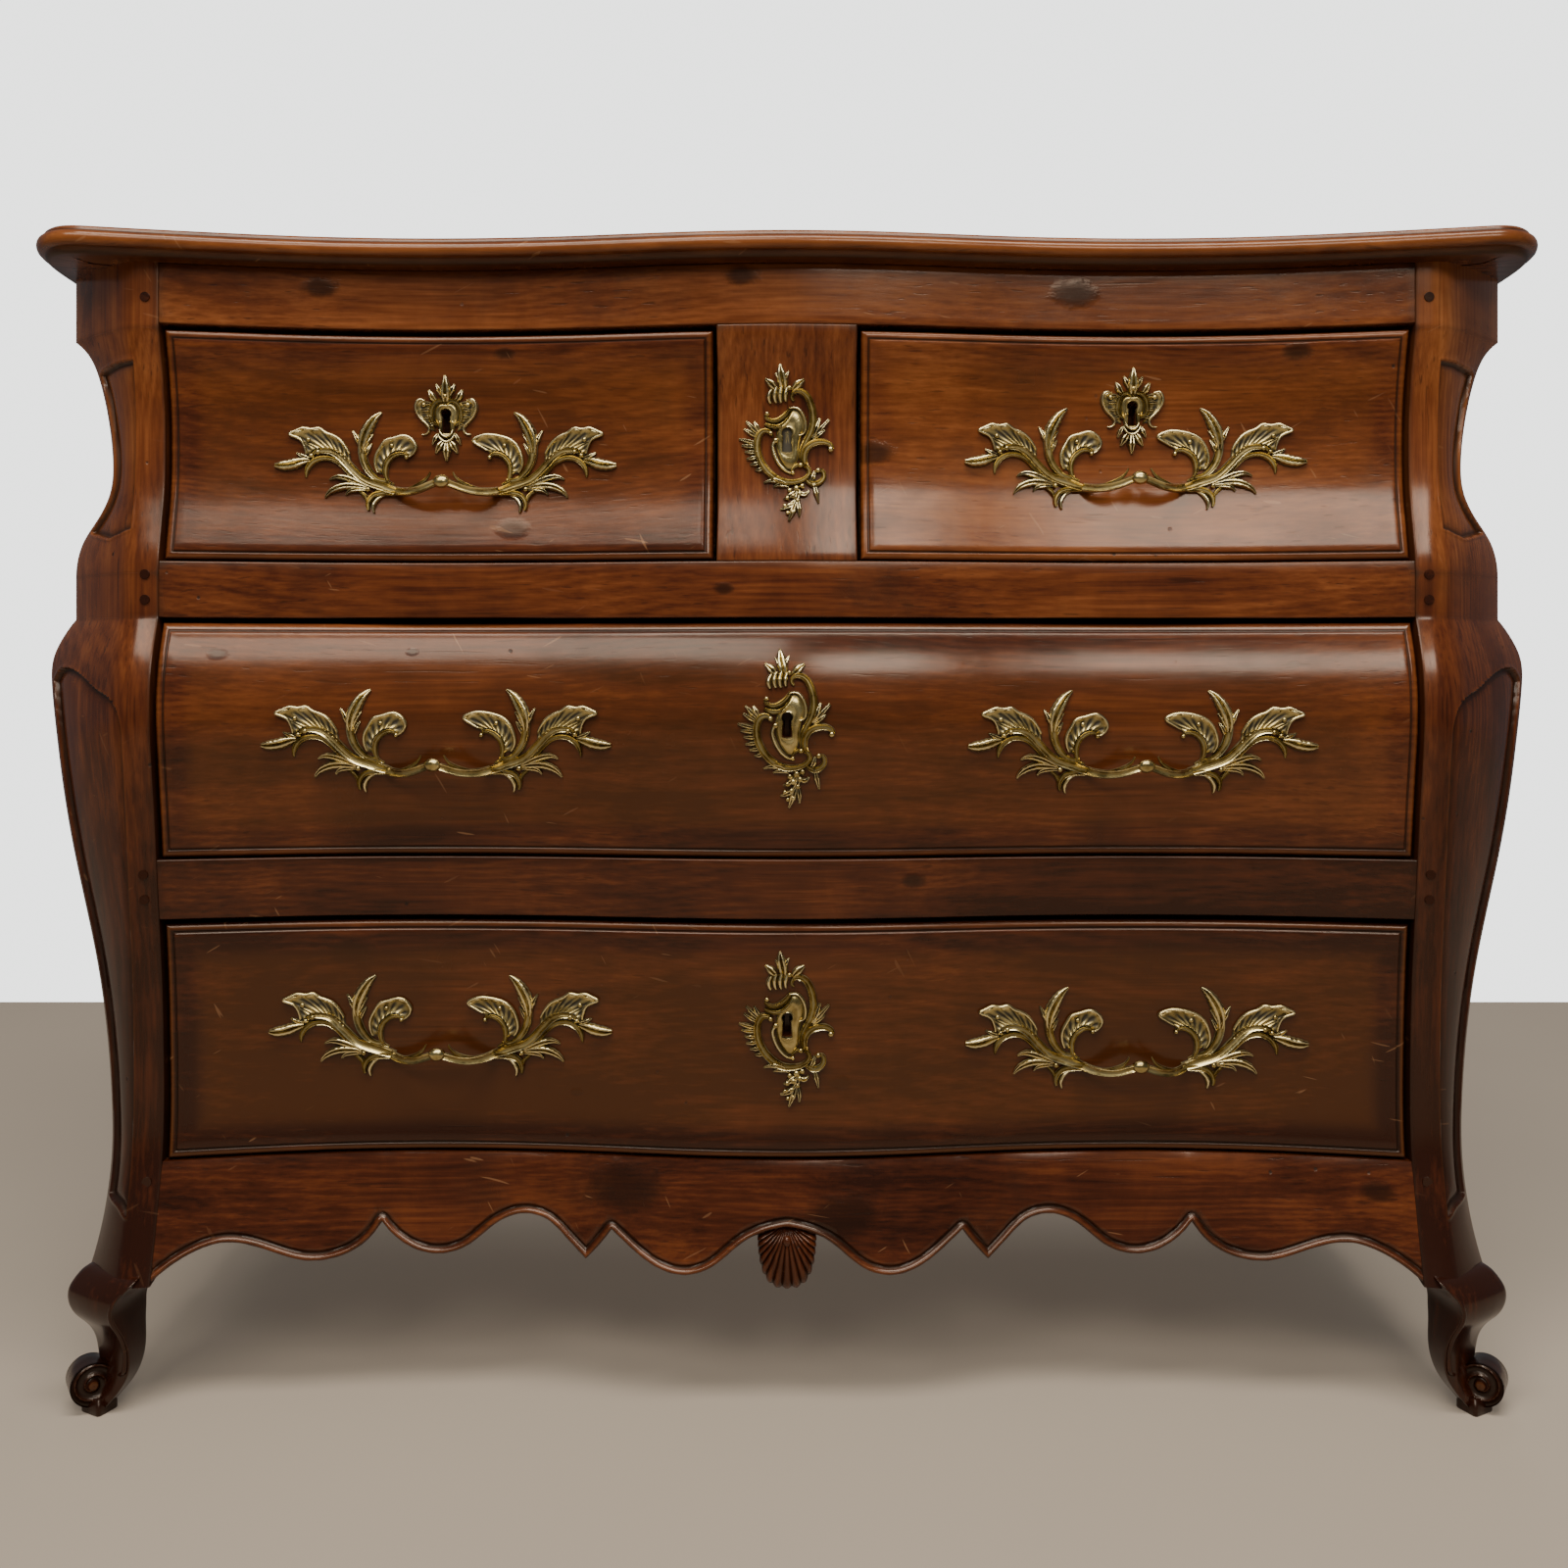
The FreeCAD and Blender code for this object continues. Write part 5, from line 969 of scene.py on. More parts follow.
def front_post(name, side, finish):
    """A corner post with its sunk panels and its foot."""
    heights = post_heights()
    z = heights[:, None]
    cant_steps = np.concatenate([CANT_START, np.linspace(9.5, cant.length - 12, 22), cant.length - CANT_END])
    flank_steps = np.linspace(0, flank.along_at(POST_BACK), 12)[1:]
    face = np.stack(np.broadcast_arrays(POST_FACE[None, :], front_y(POST_FACE[None, :], z), z), axis=-1)
    face[..., 1] += eased(POST_FACE - JOINT_X, POST_EASE)
    cant_x, cant_y = cant.at(np.broadcast_to(cant_steps, (len(heights), len(cant_steps))), z)
    near_x, near_y = ARRIS_X - ARRIS_ROUND, front_y(ARRIS_X - ARRIS_ROUND, z)
    far_x, far_y = cant.at(np.full(z.shape, ARRIS_ROUND), z)
    for x, y, steps in ((face[..., 0], face[..., 1], POST_FACE - ARRIS_X), (cant_x, cant_y, cant_steps)):
        bend = np.abs(steps) < ARRIS_ROUND
        u = (steps[bend] / ARRIS_ROUND + 1) / 2
        x[:, bend] = near_x * (1 - u) ** 2 + 2 * ARRIS_X * u * (1 - u) + far_x * u ** 2
        y[:, bend] = near_y * (1 - u) ** 2 + 2 * front_y(ARRIS_X, z) * u * (1 - u) + far_y * u ** 2
    flank_x, flank_y = flank.at(np.broadcast_to(flank_steps, (len(heights), len(flank_steps))), z)
    cant_z = np.broadcast_to(z, cant_x.shape)
    fall, wax = panel_carving(cant_x, cant_z)
    cant_grid = np.stack([cant_x - fall * 0.7, cant_y + fall * 0.7, cant_z], axis=-1)
    flank_grid = np.stack([flank_x, flank_y, np.broadcast_to(z, flank_x.shape)], axis=-1)
    back_y = flank_grid[:, -1, 1]
    corners = ((POST_CORNER_X, back_y), (JOINT_X, back_y), (JOINT_X, back_y - POST_THICK))
    inner = np.stack([upright(x, y, heights) for x, y in corners], axis=1)
    rings = np.concatenate([face, cant_grid, flank_grid, inner], axis=1)
    follow_scallops(rings)
    # Painted shade and highlight: the post is darkened at its joint with the rails, along the crisp lines of
    # the profile and in the quirks and hollows of the sunk panels, partly for old polish and partly as
    # painted shade, and the panels' raised lines are lightened, partly for wear and partly as a painted
    # highlight.
    joint_wax_and_shade = 0.7 * np.exp(-(POST_FACE - JOINT_X) / 2.5)
    ring_wax_shade_and_sheen = np.concatenate([np.broadcast_to(joint_wax_and_shade, face.shape[:2]), wax,
                               np.full((len(heights), len(flank_steps) + len(corners)), 0.1)], axis=1)
    crisp = sum(np.exp(-((z - level) / 3.0) ** 2) for level in CRISP_HEIGHTS)
    rings[..., 0] *= side
    work = Work()
    work.tube(rings, ring_wax_shade_and_sheen + 0.35 * crisp)
    carve_foot(work, side)
    finish_piece(name + "_wood", work.mesh(name, 38), finish, "case", name)


# %% [markdown]
# The feet are scrolls: a rolled knee, a shin that curves in and out, and a toe that winds up into a
# volute. The stem is lofted through rounded sections, and its inner arris carries a bead that runs down
# into the volute. The face of the volute is a disc whose relief follows a spiral.

# %% Feet
STEM = [
    (4, (-548, 2), (-537, -7), (-535, 9), (-545, 14)),
    (12, (-550, 4), (-530, -10), (-528, 10), (-545, 20)),
    (21, (-549, 8), (-523, -11), (-521, 13), (-543, 26)),
    (32, (-549, 9), (-517, -12), (-516, 16), (-542, 29)),
    (45, (-550.5, 8), (-515, -13), (-514, 19), (-542, 32)),
    (57, (-552.5, 7), (-515.5, -16), (-514.5, 21), (-544, 35)),
    (68, (-558, 4), (-517.5, -21), (-515, 22), (-548, 37)),
    (78, (-566, -1), (-520, -27), (-515, 23), (-553, 40)),
    (88, (-570, -2), (-521, -30.5), (-514, 23), (-556, 43)),
    (97, (-569.5, -2), (-518, -31), (-507, 23), (-557, 45)),
    (104, (-566, 1), (-512, -29), (-500, 22), (-556, 46)),
    (109, (-562, 5), (-507, -26), (-498, 22), (-553, 46)),
    (112.5, (-552, 12), (-505, -17), (-498, 22), (-548, 46)),
]
STEM_RADII = (7.0, 2.2, 3.0, 7.0)
STEM_CROWN = 1.6
VOLUTE = np.array([-545.0, -7.5, 22.5])
VOLUTE_RADIUS = 17.0
VOLUTE_DEPTH = 27.0
VOLUTE_TURN = radians(32)
VOLUTE_COILS = 1.75
VOLUTE_EYE = 4.0
BUTTON_RADIUS = 4.2
BUTTON_HEIGHT = 1.6
GROOVE_DEPTH = 2.6
GROOVE_FROM = 3.2
PAD = np.array([(-558, -2), (-539, -13), (-531, 6), (-548, 18)], float)
PAD_ROWS = ((0, -0.8), (0.8, 0), (6.5, 0), (9.5, -1.5), (12, -3.0))
PAD_REACH = 14
FULL_TURN = np.linspace(0, 2 * pi, 73)[:-1]
ROUND_LIMIT = 0.45


def round_end(corner, other, radius):
    """Where the rounding of a corner ends, on the way to another corner."""
    return corner + (other - corner) * min(ROUND_LIMIT, radius / np.linalg.norm(other - corner))


def rounded_section(corners, radii, crown=0.0):
    """A ring round four corners, each rounded, with the first side a little crowned."""
    corners = np.array(corners, float)
    ring = []
    for i, (corner, radius) in enumerate(zip(corners, radii)):
        before, after = corners[i - 1], corners[(i + 1) % len(corners)]
        start, stop = round_end(corner, before, radius), round_end(corner, after, radius)
        for t in np.linspace(0, 1, 6):
            ring.append(start * (1 - t) ** 2 + corner * 2 * t * (1 - t) + stop * t * t)
        following = round_end(after, corner, radii[(i + 1) % len(radii)])
        across = np.array([(after - corner)[1], -(after - corner)[0]])
        across /= np.linalg.norm(across)
        bulge = crown if i == 0 else 0.0
        for t in np.linspace(0, 1, 8)[1:-1]:
            ring.append(stop + (following - stop) * t + across * bulge * 4 * t * (1 - t))
    return np.array(ring)


def placed(points, side):
    """Points written for the left foot, moved behind the front plane and to their side."""
    points = np.array(points, float) + (0, FRONT_PLANE, 0)
    return points * (-side, 1, 1)


def level_ring(ring, height):
    """A flat ring lifted to a height."""
    return np.column_stack([ring, np.full(len(ring), float(height))])


def round_strand(line, radii):
    """Closed rings of ten points round a line, each upright to it."""
    ahead = np.gradient(line, axis=0)
    ahead /= np.linalg.norm(ahead, axis=1)[:, None]
    first = np.cross(ahead, (0.31, 0.9, 0.29))
    first /= np.linalg.norm(first, axis=1)[:, None]
    second = np.cross(ahead, first)
    turn = np.linspace(0, 2 * pi, 10, endpoint=False)[None, :, None]
    return line[:, None] + np.reshape(radii, (-1, 1, 1)) * (first[:, None] * np.cos(turn)
                                                            + second[:, None] * np.sin(turn))


def volute(work, side, centre, turn, depth, radius):
    """A rolled toe: a drum whose front end is a spiral carved in relief."""
    axis = np.array([-sin(turn), cos(turn), 0.0])
    across = np.array([cos(turn), sin(turn), 0.0])
    up = np.array([0.0, 0.0, 1.0])
    radii = np.concatenate([np.linspace(0.3, radius - 0.6, 40), [radius - 0.2, radius]])
    r, a = np.meshgrid(radii, FULL_TURN, indexing="ij")
    pitch = (radius - VOLUTE_EYE) / VOLUTE_COILS
    phase = ((radius - r) / pitch - a / (2 * pi)) % 1.0
    wall = np.abs(phase - 0.5) * 2
    groove = GROOVE_DEPTH * (1 - wall ** 2) * np.clip((r - GROOVE_FROM) / 2.0, 0, 1)
    button = BUTTON_HEIGHT * np.sqrt(np.clip(1 - (r / BUTTON_RADIUS) ** 2, 0, 1))
    rim = np.where(r > radius - 0.5, 0.7, 0.0) * (r - radius + 0.5) * 2
    inset = groove - button + rim + 0.5
    spot = centre + across * (r * np.cos(a))[..., None] + up * (r * np.sin(a))[..., None]
    face = spot + axis * inset[..., None]
    # The spiral's groove is darkened, partly for old polish and partly as painted shade, and its ridge is
    # lightened, partly for wear and partly as a painted highlight.
    wax = np.clip(groove / 2.4, 0, 1) - 0.35 * (groove < 0.5)
    work.grid(placed(face, side), wax, around=True)
    work.fan(placed(face[0], side))
    drum = np.array([centre + (across * np.cos(t) + up * np.sin(t)) * radius for t in FULL_TURN])
    rows = [drum + axis * step for step in (1.2, 3, depth * 0.5, depth - 2)]
    shrunk = [centre + (drum - centre) * share + axis * depth for share in (0.94, 0.5)]
    work.grid(placed([face[-1]] + rows + shrunk, side), 0.3, around=True)
    work.fan(placed(shrunk[-1], side))


def corner_at(curve, height):
    """Where one corner of the stem is at a height."""
    return [np.interp(height, curve[:, 2], curve[:, j]) for j in (0, 1)]


def arris_bead(arris):
    """The bead that runs down an arris of the stem and on round the volute."""
    start = np.array([corner_at(arris, height) + [height] for height in np.linspace(103, 30, 40)])
    start += np.linspace(0, 1, 40)[:, None] * (-2.5, 0.0, 0.0) + (-1.2, 0.4, 0.0)
    turn = np.linspace(radians(38), radians(-90), 16)[3::4, None]
    across = np.array([cos(VOLUTE_TURN), sin(VOLUTE_TURN), 0.0])
    wrap = VOLUTE + VOLUTE_RADIUS * (across * np.cos(turn) + (0, 0, 1) * np.sin(turn)) + (0, -0.4, 0)
    line = Spline(np.vstack([start[::4], wrap])).run(70)
    swell = np.concatenate([np.linspace(0.3, 1.7, 8), np.full(54, 1.7), np.linspace(1.7, 0.4, 8)])
    return round_strand(line, swell)


def carve_foot(work, side):
    """The scroll foot of a front post: its stem, the bead on it, the volute and the pad."""
    heights = [row[0] for row in STEM]
    corners = [Spline(np.column_stack([[row[1 + i] for row in STEM], heights])).run(400) for i in range(4)]
    rings = []
    for height in np.concatenate([np.linspace(4, KNEE, 60), np.linspace(KNEE + 1, 112.5, 8)]):
        section = rounded_section([corner_at(curve, height) for curve in corners], STEM_RADII, STEM_CROWN)
        rings.append(level_ring(section, height))
    work.tube(placed(rings, side), 0.15)
    work.tube(placed(arris_bead(corners[1]), side), 0.0)
    volute(work, side, VOLUTE, VOLUTE_TURN, VOLUTE_DEPTH, VOLUTE_RADIUS)
    middle = PAD.mean(axis=0)
    pad = [level_ring(rounded_section(middle + (PAD - middle) * (1 + grow / PAD_REACH), (3, 3, 3, 3)), height)
           for height, grow in PAD_ROWS]
    work.tube(placed(pad, side), 0.5)


front_post("front_post_left", -1, finishes["post_left"])
front_post("front_post_right", 1, finishes["post_right"])

# %% [markdown]
# The rear posts are plainer: the bulge outside, flat faces behind and inside, and a foot of the same
# outline that is flat at the back, so that the chest can stand against a wall.

# %% Rear posts
REAR_OUTER_X = 540.0
REAR_INNER_X = 495.0
REAR_STEM_X = -518
REAR_FOOT = (520, 568)
REAR_VOLUTE = np.array([-545.0, 519.0, 22.5])
REAR_VOLUTE_DEPTH = 48.5
REAR_PAD = (-557, -526)
REAR_PAD_ROWS = ((0, 0.8), (0.8, 0), (7, 0), (12, 3))


def rear_post(name, side, finish):
    """A rear post with its foot."""
    upper = spread(LEVEL_ABOVE, CASE_TOP, SIDE_PITCH, CRISP_HEIGHTS)[1:]
    heights = np.concatenate([spread(KNEE, LEVEL_ABOVE, 5), upper])
    steps = np.linspace(flank.along_at(REAR_POST), flank.length, 14)
    z = heights[:, None]
    x, y = flank.at(np.broadcast_to(steps, (len(heights), len(steps))), z)
    x = x - eased(steps - steps[0], 1.0) - eased(steps[-1] - steps, 1.0)
    outer = np.stack([x, y, np.broadcast_to(z, x.shape)], axis=-1)
    near, far = FRONT_PLANE + REAR_POST, FRONT_PLANE + CASE_BACK
    corners = ((REAR_OUTER_X, far), (REAR_INNER_X, far), (REAR_INNER_X, near), (REAR_OUTER_X, near))
    rings = np.concatenate([outer, np.stack([upright(a, b, heights) for a, b in corners], axis=1)], axis=1)
    follow_scallops(rings)
    rings[..., 0] *= side
    work = Work()
    work.tube(rings, 0.15)
    front, back = REAR_FOOT
    stem = []
    for height in np.linspace(4, 112, 46):
        outer_x = np.interp(height, [row[0] for row in STEM], [row[1][0] for row in STEM])
        corners = ((outer_x, front), (REAR_STEM_X, front), (REAR_STEM_X, back), (outer_x, back))
        stem.append(level_ring(rounded_section(corners, (5, 3, 1, 2)), height))
    work.tube(placed(stem, side), 0.2)
    volute(work, side, REAR_VOLUTE, 0.0, REAR_VOLUTE_DEPTH, VOLUTE_RADIUS)
    pad = []
    for height, shrink in REAR_PAD_ROWS:
        left, right = REAR_PAD[0] + shrink, REAR_PAD[1] - shrink
        corners = ((left, front + shrink), (right, front + shrink), (right, back), (left, back))
        pad.append(level_ring(rounded_section(corners, (3, 3, 1, 1)), height))
    work.tube(placed(pad, side), 0.5)
    finish_piece(name + "_wood", work.mesh(name, 38), finish, "case", name)


rear_post("rear_post_left", -1, finishes["rear"])
rear_post("rear_post_right", 1, finishes["rear"])

# %% [markdown]
# The brass was cast in sand, chased and gilded, and two centuries of rubbing left its ridges bright and
# its hollows nearly black with patina; the brightness of the ridges is partly that wear and partly a
# painted highlight. A rococo mount is mostly made of strands: scrolls with two ridges, leaves with a sunk
# vein, and ruffled shells between them. Each strand is a line with a half-width at even steps, and one
# of three sections is drawn across it. The whole lies on the skin of the chest, so every point is lifted
# from the skin where it is. Tables are in millimetres from the middle of the mount.

# %% Strands, frills and beads of a casting
ACROSS = np.linspace(-1, 1, 15)
SECTIONS = {
    "round": np.sqrt(1 - ACROSS ** 2),
    "ridge": np.interp(ACROSS, [-1, -0.9, -0.7, -0.48, -0.15, 0.2, 0.5, 0.72, 0.9, 1],
                       [0, 0.62, 1.0, 0.78, 0.42, 0.40, 0.66, 0.92, 0.6, 0]),
    "leaf": np.interp(np.abs(ACROSS), [0, 0.09, 0.3, 0.6, 0.85, 1], [0.5, 0.62, 0.97, 0.94, 0.6, 0]),
}
UNDER = np.array([0.85, 0.45, 0.0, -0.45, -0.85])
STRAND_PITCH = 1.1
LEAF_NOTCH = 4.2
FRILL_OUT = np.array([0, 0.12, 0.3, 0.5, 0.68, 0.8, 0.88, 0.94, 0.98, 1.0])[:, None]
FRILL_LIFT = 0.3
SHIELD_SHARES = (0, 0, 0.06, 0.14, 0.3, 0.5, 0.7, 0.85, 0.95, 1.0, 1.0)
SHIELD_LEVELS = (-0.2, 0.75, 1.0, 0.86, 0.92, 1.0, 0.9, 0.66, 0.45, 0.3, -0.2)
SHIELD_PATINA_AND_SHEEN = np.array([0.9, 0.2, -0.5, 0.3, 0.0, -0.3, -0.2, 0.1, 0.6, 0.9, 0.9])[:, None]
BEAD_TURN = np.linspace(0, 2 * pi, 17)[:-1]
BASE_LIFT = -0.2


class Casting:
    """A brass mount that lies on the front of the chest."""

    def __init__(self, x, z):
        self.place = (x, z)
        self.work = Work()

    def lay(self, flat, lift):
        """Flat points of the mount, set on the skin and lifted from it."""
        x = self.place[0] + flat[..., 0]
        z = self.place[1] + flat[..., 1]
        return np.stack([x, front_y(x, z) - lift, z], axis=-1)

    def strand(self, section, height, line, halves, side=1, lift=0.0, under=0.2, steps=None):
        """One strand: a section drawn along a line of (across, up) or (across, up, lift)."""
        line = np.array(line, float)
        if line.shape[1] == 2:
            line = np.column_stack([line, np.full(len(line), lift)])
        length = running_length(line)[-1]
        count = steps or max(10, int(length / STRAND_PITCH))
        spots = Spline(line).run(count)
        share = np.linspace(0, 1, count)
        half = np.interp(share, np.linspace(0, 1, len(halves)), halves)
        rise = height * (half / max(halves)) ** 0.7
        if section == "leaf":
            notch = np.abs(np.sin(pi * share * round(length / LEAF_NOTCH))) * (share < 0.92)
            half = half * (1 - 0.13 * notch)
        ahead = np.gradient(spots[:, :2], axis=0)
        ahead /= np.linalg.norm(ahead, axis=1)[:, None] + 1e-9
        across = np.column_stack([-ahead[:, 1], ahead[:, 0]])
        turns = np.concatenate([ACROSS, UNDER])
        levels = np.concatenate([SECTIONS[section], np.zeros(len(UNDER))])
        flat = spots[:, None, :2] + across[:, None] * (half[:, None] * turns)[..., None]
        level = spots[:, None, 2] + rise[:, None] * levels
        level[:, len(ACROSS):] -= under * np.sqrt(1 - UNDER ** 2)
        # Low parts of a section get patina, and high parts are lightened, partly wear and partly a painted
        # highlight.
        wax = np.clip(0.95 - 1.5 * levels, -0.7, 1.0)
        self.work.tube(self.lay(flat * (side, 1), level), np.broadcast_to(wax, level.shape))

    def frill(self, root, tip, ribs, height, side=1):
        """A ruffled leaf between a root line and a scalloped outer line, with a rolled rim."""
        count = ribs * 8 + 1
        roots, tips = Spline(root).run(count), Spline(tip).run(count)
        lobe = np.abs(np.sin(pi * np.linspace(0, ribs, count)))
        reach = 1 - 0.08 * (1 - lobe) ** 2
        flat = (roots + (tips - roots) * (FRILL_OUT * reach)[..., None]) * (side, 1)
        dish = np.interp(FRILL_OUT, [0, 0.15, 0.5, 0.78, 0.9, 0.96, 1.0],
                         [0.95, 0.7, 0.36, 0.5, 0.95, 1.0, 0.7])
        fold = 0.36 * (1 - lobe) * np.interp(FRILL_OUT, [0, 0.2, 0.8, 1.0], [0.3, 1.0, 0.8, 0.2])
        top = self.lay(flat, FRILL_LIFT + height * (dish - fold))
        base = self.lay(flat, BASE_LIFT)
        self.work.board(top, base, np.clip(1.0 - 1.5 * (dish - fold * 1.2), -0.8, 1.0), 0.8, 0.8)
        rim_lift = FRILL_LIFT + height * 0.5
        self.strand("round", height * 0.55, tip, [0.9] + [1.35] * 5 + [0.9], side, lift=rim_lift)

    def bead(self, across, up, wide, high, lift=0.0, side=1, tall=None):
        """A rounded boss."""
        oval = np.column_stack([np.cos(BEAD_TURN) * wide, np.sin(BEAD_TURN) * (tall or wide)])
        rings = []
        for climb in np.linspace(-0.5 * pi, 0.5 * pi, 9)[1:-1]:
            flat = (oval * cos(climb) + (across, up)) * (side, 1)
            rings.append(self.lay(flat, lift + high * sin(climb)))
        self.work.tube(rings, -0.3)

    def shield(self, outline, keyhole, height):
        """A domed plate between an outline and a keyhole."""
        rim = Spline(np.vstack([outline, outline[:1]])).run(len(keyhole) + 1)[:-1]
        middle = keyhole.mean(axis=0)
        bearing = np.arctan2(*(rim - middle).T)
        order = np.argsort(bearing)
        marks = np.arctan2(*(keyhole - middle).T)
        rim = np.column_stack([np.interp(marks, bearing[order], rim[order, i], period=2 * pi)
                               for i in range(2)])
        rows = [self.lay(keyhole + (rim - keyhole) * share, height * max(level, 0) + BASE_LIFT)
                for share, level in zip(SHIELD_SHARES, SHIELD_LEVELS)]
        self.work.grid(rows, SHIELD_PATINA_AND_SHEEN, around=True)
        self.work.grid([rows[0], rows[-1]], 0.9, around=True)


# %% [markdown]
# A handle doesn't swing: it is one casting with two sprays of leaves, nailed to the drawer, and a bar
# that bows out between them with a knot in the middle. The spray is drawn once and mirrored for the
# other side, with a longer frill on the inner scroll there, as the founder's two patterns differ.

# %% Handles
SPRAY = [
    ("ridge", 4.6, [(39, -8), (46, -6), (53, -3.5), (61, -1), (68, 2), (74.5, 7.5), (81.5, 15), (88, 21.5),
                    (95, 25), (102, 25.3), (107.5, 23.5), (109, 21)],
     [3.3, 4.2, 4.6, 4.4, 4.0, 3.8, 3.9, 3.9, 3.7, 3.3, 2.6, 1.3]),
    ("ridge", 3.6, [(64, -3), (71, 0), (77, 5), (84, 12.4), (90.5, 17.4), (97.5, 19.4), (104, 18.6),
                    (109.4, 15.3), (112.8, 10), (113.6, 3.6)],
     [1.0, 2.0, 2.4, 2.4, 2.3, 2.2, 2.4, 2.7, 2.4, 0.7]),
    ("leaf", 5.4, [(111, 17.5), (116, 16.5), (121, 15), (127, 13.4), (134, 12.8), (138, 13)],
     [1.8, 4.0, 5.3, 5.0, 4.6, 2.0]),
    ("leaf", 3.4, [(111, 19), (116.5, 20.8), (121.5, 23.4)], [1.4, 2.4, 0.7]),
    ("ridge", 3.8, [(44, -1.5), (50, 1), (56.4, 2.4), (62, 6.6), (67, 14), (69.3, 22), (69.8, 30)],
     [0.9, 1.8, 2.6, 3.2, 3.5, 3.7, 3.4]),
    ("leaf", 4.8, [(69.6, 24), (69.6, 31), (67.6, 38.5), (63.5, 46.6), (58.4, 53.3), (53.9, 56.8)],
     [2.6, 4.8, 5.9, 5.4, 3.9, 0.9]),
    ("leaf", 3.4, [(70.5, 27), (73.6, 35.5), (77.3, 42)], [1.6, 2.7, 0.7]),
    ("leaf", 3.4, [(68, 27), (64.8, 34.5), (61, 39)], [1.6, 2.7, 0.7]),
    ("leaf", 3.0, [(67, 21), (64.4, 27.6), (61.8, 31.6)], [1.4, 2.2, 0.6]),
    ("ridge", 3.6, [(47, -1), (50, 3.9), (50.9, 9.8), (49.6, 16), (45.6, 21), (40, 23.6), (35.6, 23),
                    (33.8, 20)],
     [1.2, 1.8, 2.3, 2.5, 2.5, 2.3, 1.9, 1.2]),
    ("leaf", 4.2, [(66, -4), (74.5, 0.4), (83.5, 3.6), (90.6, 4), (95.4, 1.8)], [1.6, 2.9, 3.4, 2.8, 0.7]),
    ("leaf", 4.6, [(65, -5), (74.6, -3.2), (84, -3.4), (90.6, -5.6), (95.7, -9.2), (98.2, -12.9)],
     [1.6, 3.0, 3.7, 3.8, 2.9, 0.7]),
    ("leaf", 3.8, [(66, -6), (74.6, -6), (79.2, -7.4), (82, -10.6)], [1.6, 2.7, 2.4, 0.7]),
    ("ridge", 3.2, [(74.5, -6.6), (69.6, -8.4), (66, -12), (65, -16)], [0.8, 1.5, 1.8, 0.9]),
    ("ridge", 4.2, [(36, -9.5), (45, -8.8), (54, -8.9), (60.6, -11.4), (63.6, -16), (63.3, -23)],
     [1.3, 2.3, 2.7, 2.6, 2.3, 1.1]),
    ("round", 3.4, [(51, -10.5), (57, -14.2), (59.6, -19), (58.9, -25)], [1.0, 1.9, 2.0, 0.8]),
]
OUTER_FRILL = (
    [(78, 14), (83.8, 20), (88.3, 24), (95.2, 27.4), (102, 27.8), (107.7, 26.2), (111, 21)],
    [(79.6, 23), (83.8, 30.4), (88.6, 35.4), (94, 38.2), (98.6, 40), (103.7, 43.3), (109, 42.4),
     (115.7, 43.2), (121.6, 40.9), (126.4, 38.3), (119.4, 35), (115, 29), (113.6, 22.5)], 10)
INNER_FRILL = (
    [(52, 6), (53, 14), (50.7, 19.5), (46.1, 24), (40.4, 26.4), (35.6, 25), (33.5, 21.5)],
    [(56.6, 8), (58.8, 14), (58.4, 22), (55.3, 28), (50.7, 34.3), (45, 36), (39.9, 37.6), (34.5, 38),
     (29, 34.6), (26.3, 29.5), (28.3, 24.2), (32.4, 21)], 8)
LONG_INNER_FRILL = (
    [(52, 6), (53, 14), (50.7, 19.5), (46.1, 24), (40.4, 26.4), (36.6, 25.6), (34.5, 23)],
    [(57.6, 8), (60.6, 14), (59.8, 22), (56.8, 29), (51.5, 34.3), (45, 37), (38.6, 38.4), (31.5, 39),
     (25.4, 37.8), (20.2, 34.4), (25, 30.4), (32, 26.4)], 9)
SCROLL_EYES = ((33.9, 20.6, 2.1, 3.2, 1.2), (109.2, 21.2, 2.2, 3.4, 1.6))
BAR = [(42, -7), (30, -9), (16, -7), (0, -2.5)]
BAR_HALVES = [3.9, 3.7, 3.5, 3.3, 3.1, 3.3, 3.5, 3.7, 3.9]
BAR_RINGS = 64
BAR_HOOK = [(34, -7.5), (26, -6.5), (18, -3.5), (12, 0.5), (9, 5.6)]
BAR_BOW = 24.5
BAR_START = 2.5
HANDLES = {
    "upper_left_drawer": {"handle": (-276, 738)}, "upper_right_drawer": {"handle": (282, 741)},
    "middle_drawer": {"left_handle": (-277, 513), "right_handle": (281, 512)},
    "lower_drawer": {"left_handle": (-279, 281), "right_handle": (282, 271)},
}


def bowed(points):
    """Points of the bar with the lift of its bow."""
    return [(a, b, BAR_START + BAR_BOW * (1 - (a / BAR[0][0]) ** 2)) for a, b in points]


def handle_mesh(name, x, z):
    """One fixed handle."""
    cast = Casting(x, z)
    for side, inner in ((-1, INNER_FRILL), (1, LONG_INNER_FRILL)):
        for root, tip, ribs in (OUTER_FRILL, inner):
            cast.frill(root, tip, ribs, 3.4, side)
        for order, (section, height, line, halves) in enumerate(SPRAY):
            cast.strand(section, height, line, halves, side, lift=0.1 + 0.04 * order)
        for eye in SCROLL_EYES:
            cast.bead(*eye, side)
        cast.strand("ridge", 2.6, bowed(BAR_HOOK), [0.9, 1.5, 1.6, 1.5, 0.6], side, under=2.0)
    whole = bowed(BAR + [(-a, b) for a, b in BAR[-2::-1]])
    cast.strand("ridge", 3.0, whole, BAR_HALVES, under=3.0, steps=BAR_RINGS)
    cast.bead(0, -2.0, 7.0, 5.4, BAR_START + BAR_BOW, tall=5.6)
    return cast.work.mesh(name, 50)


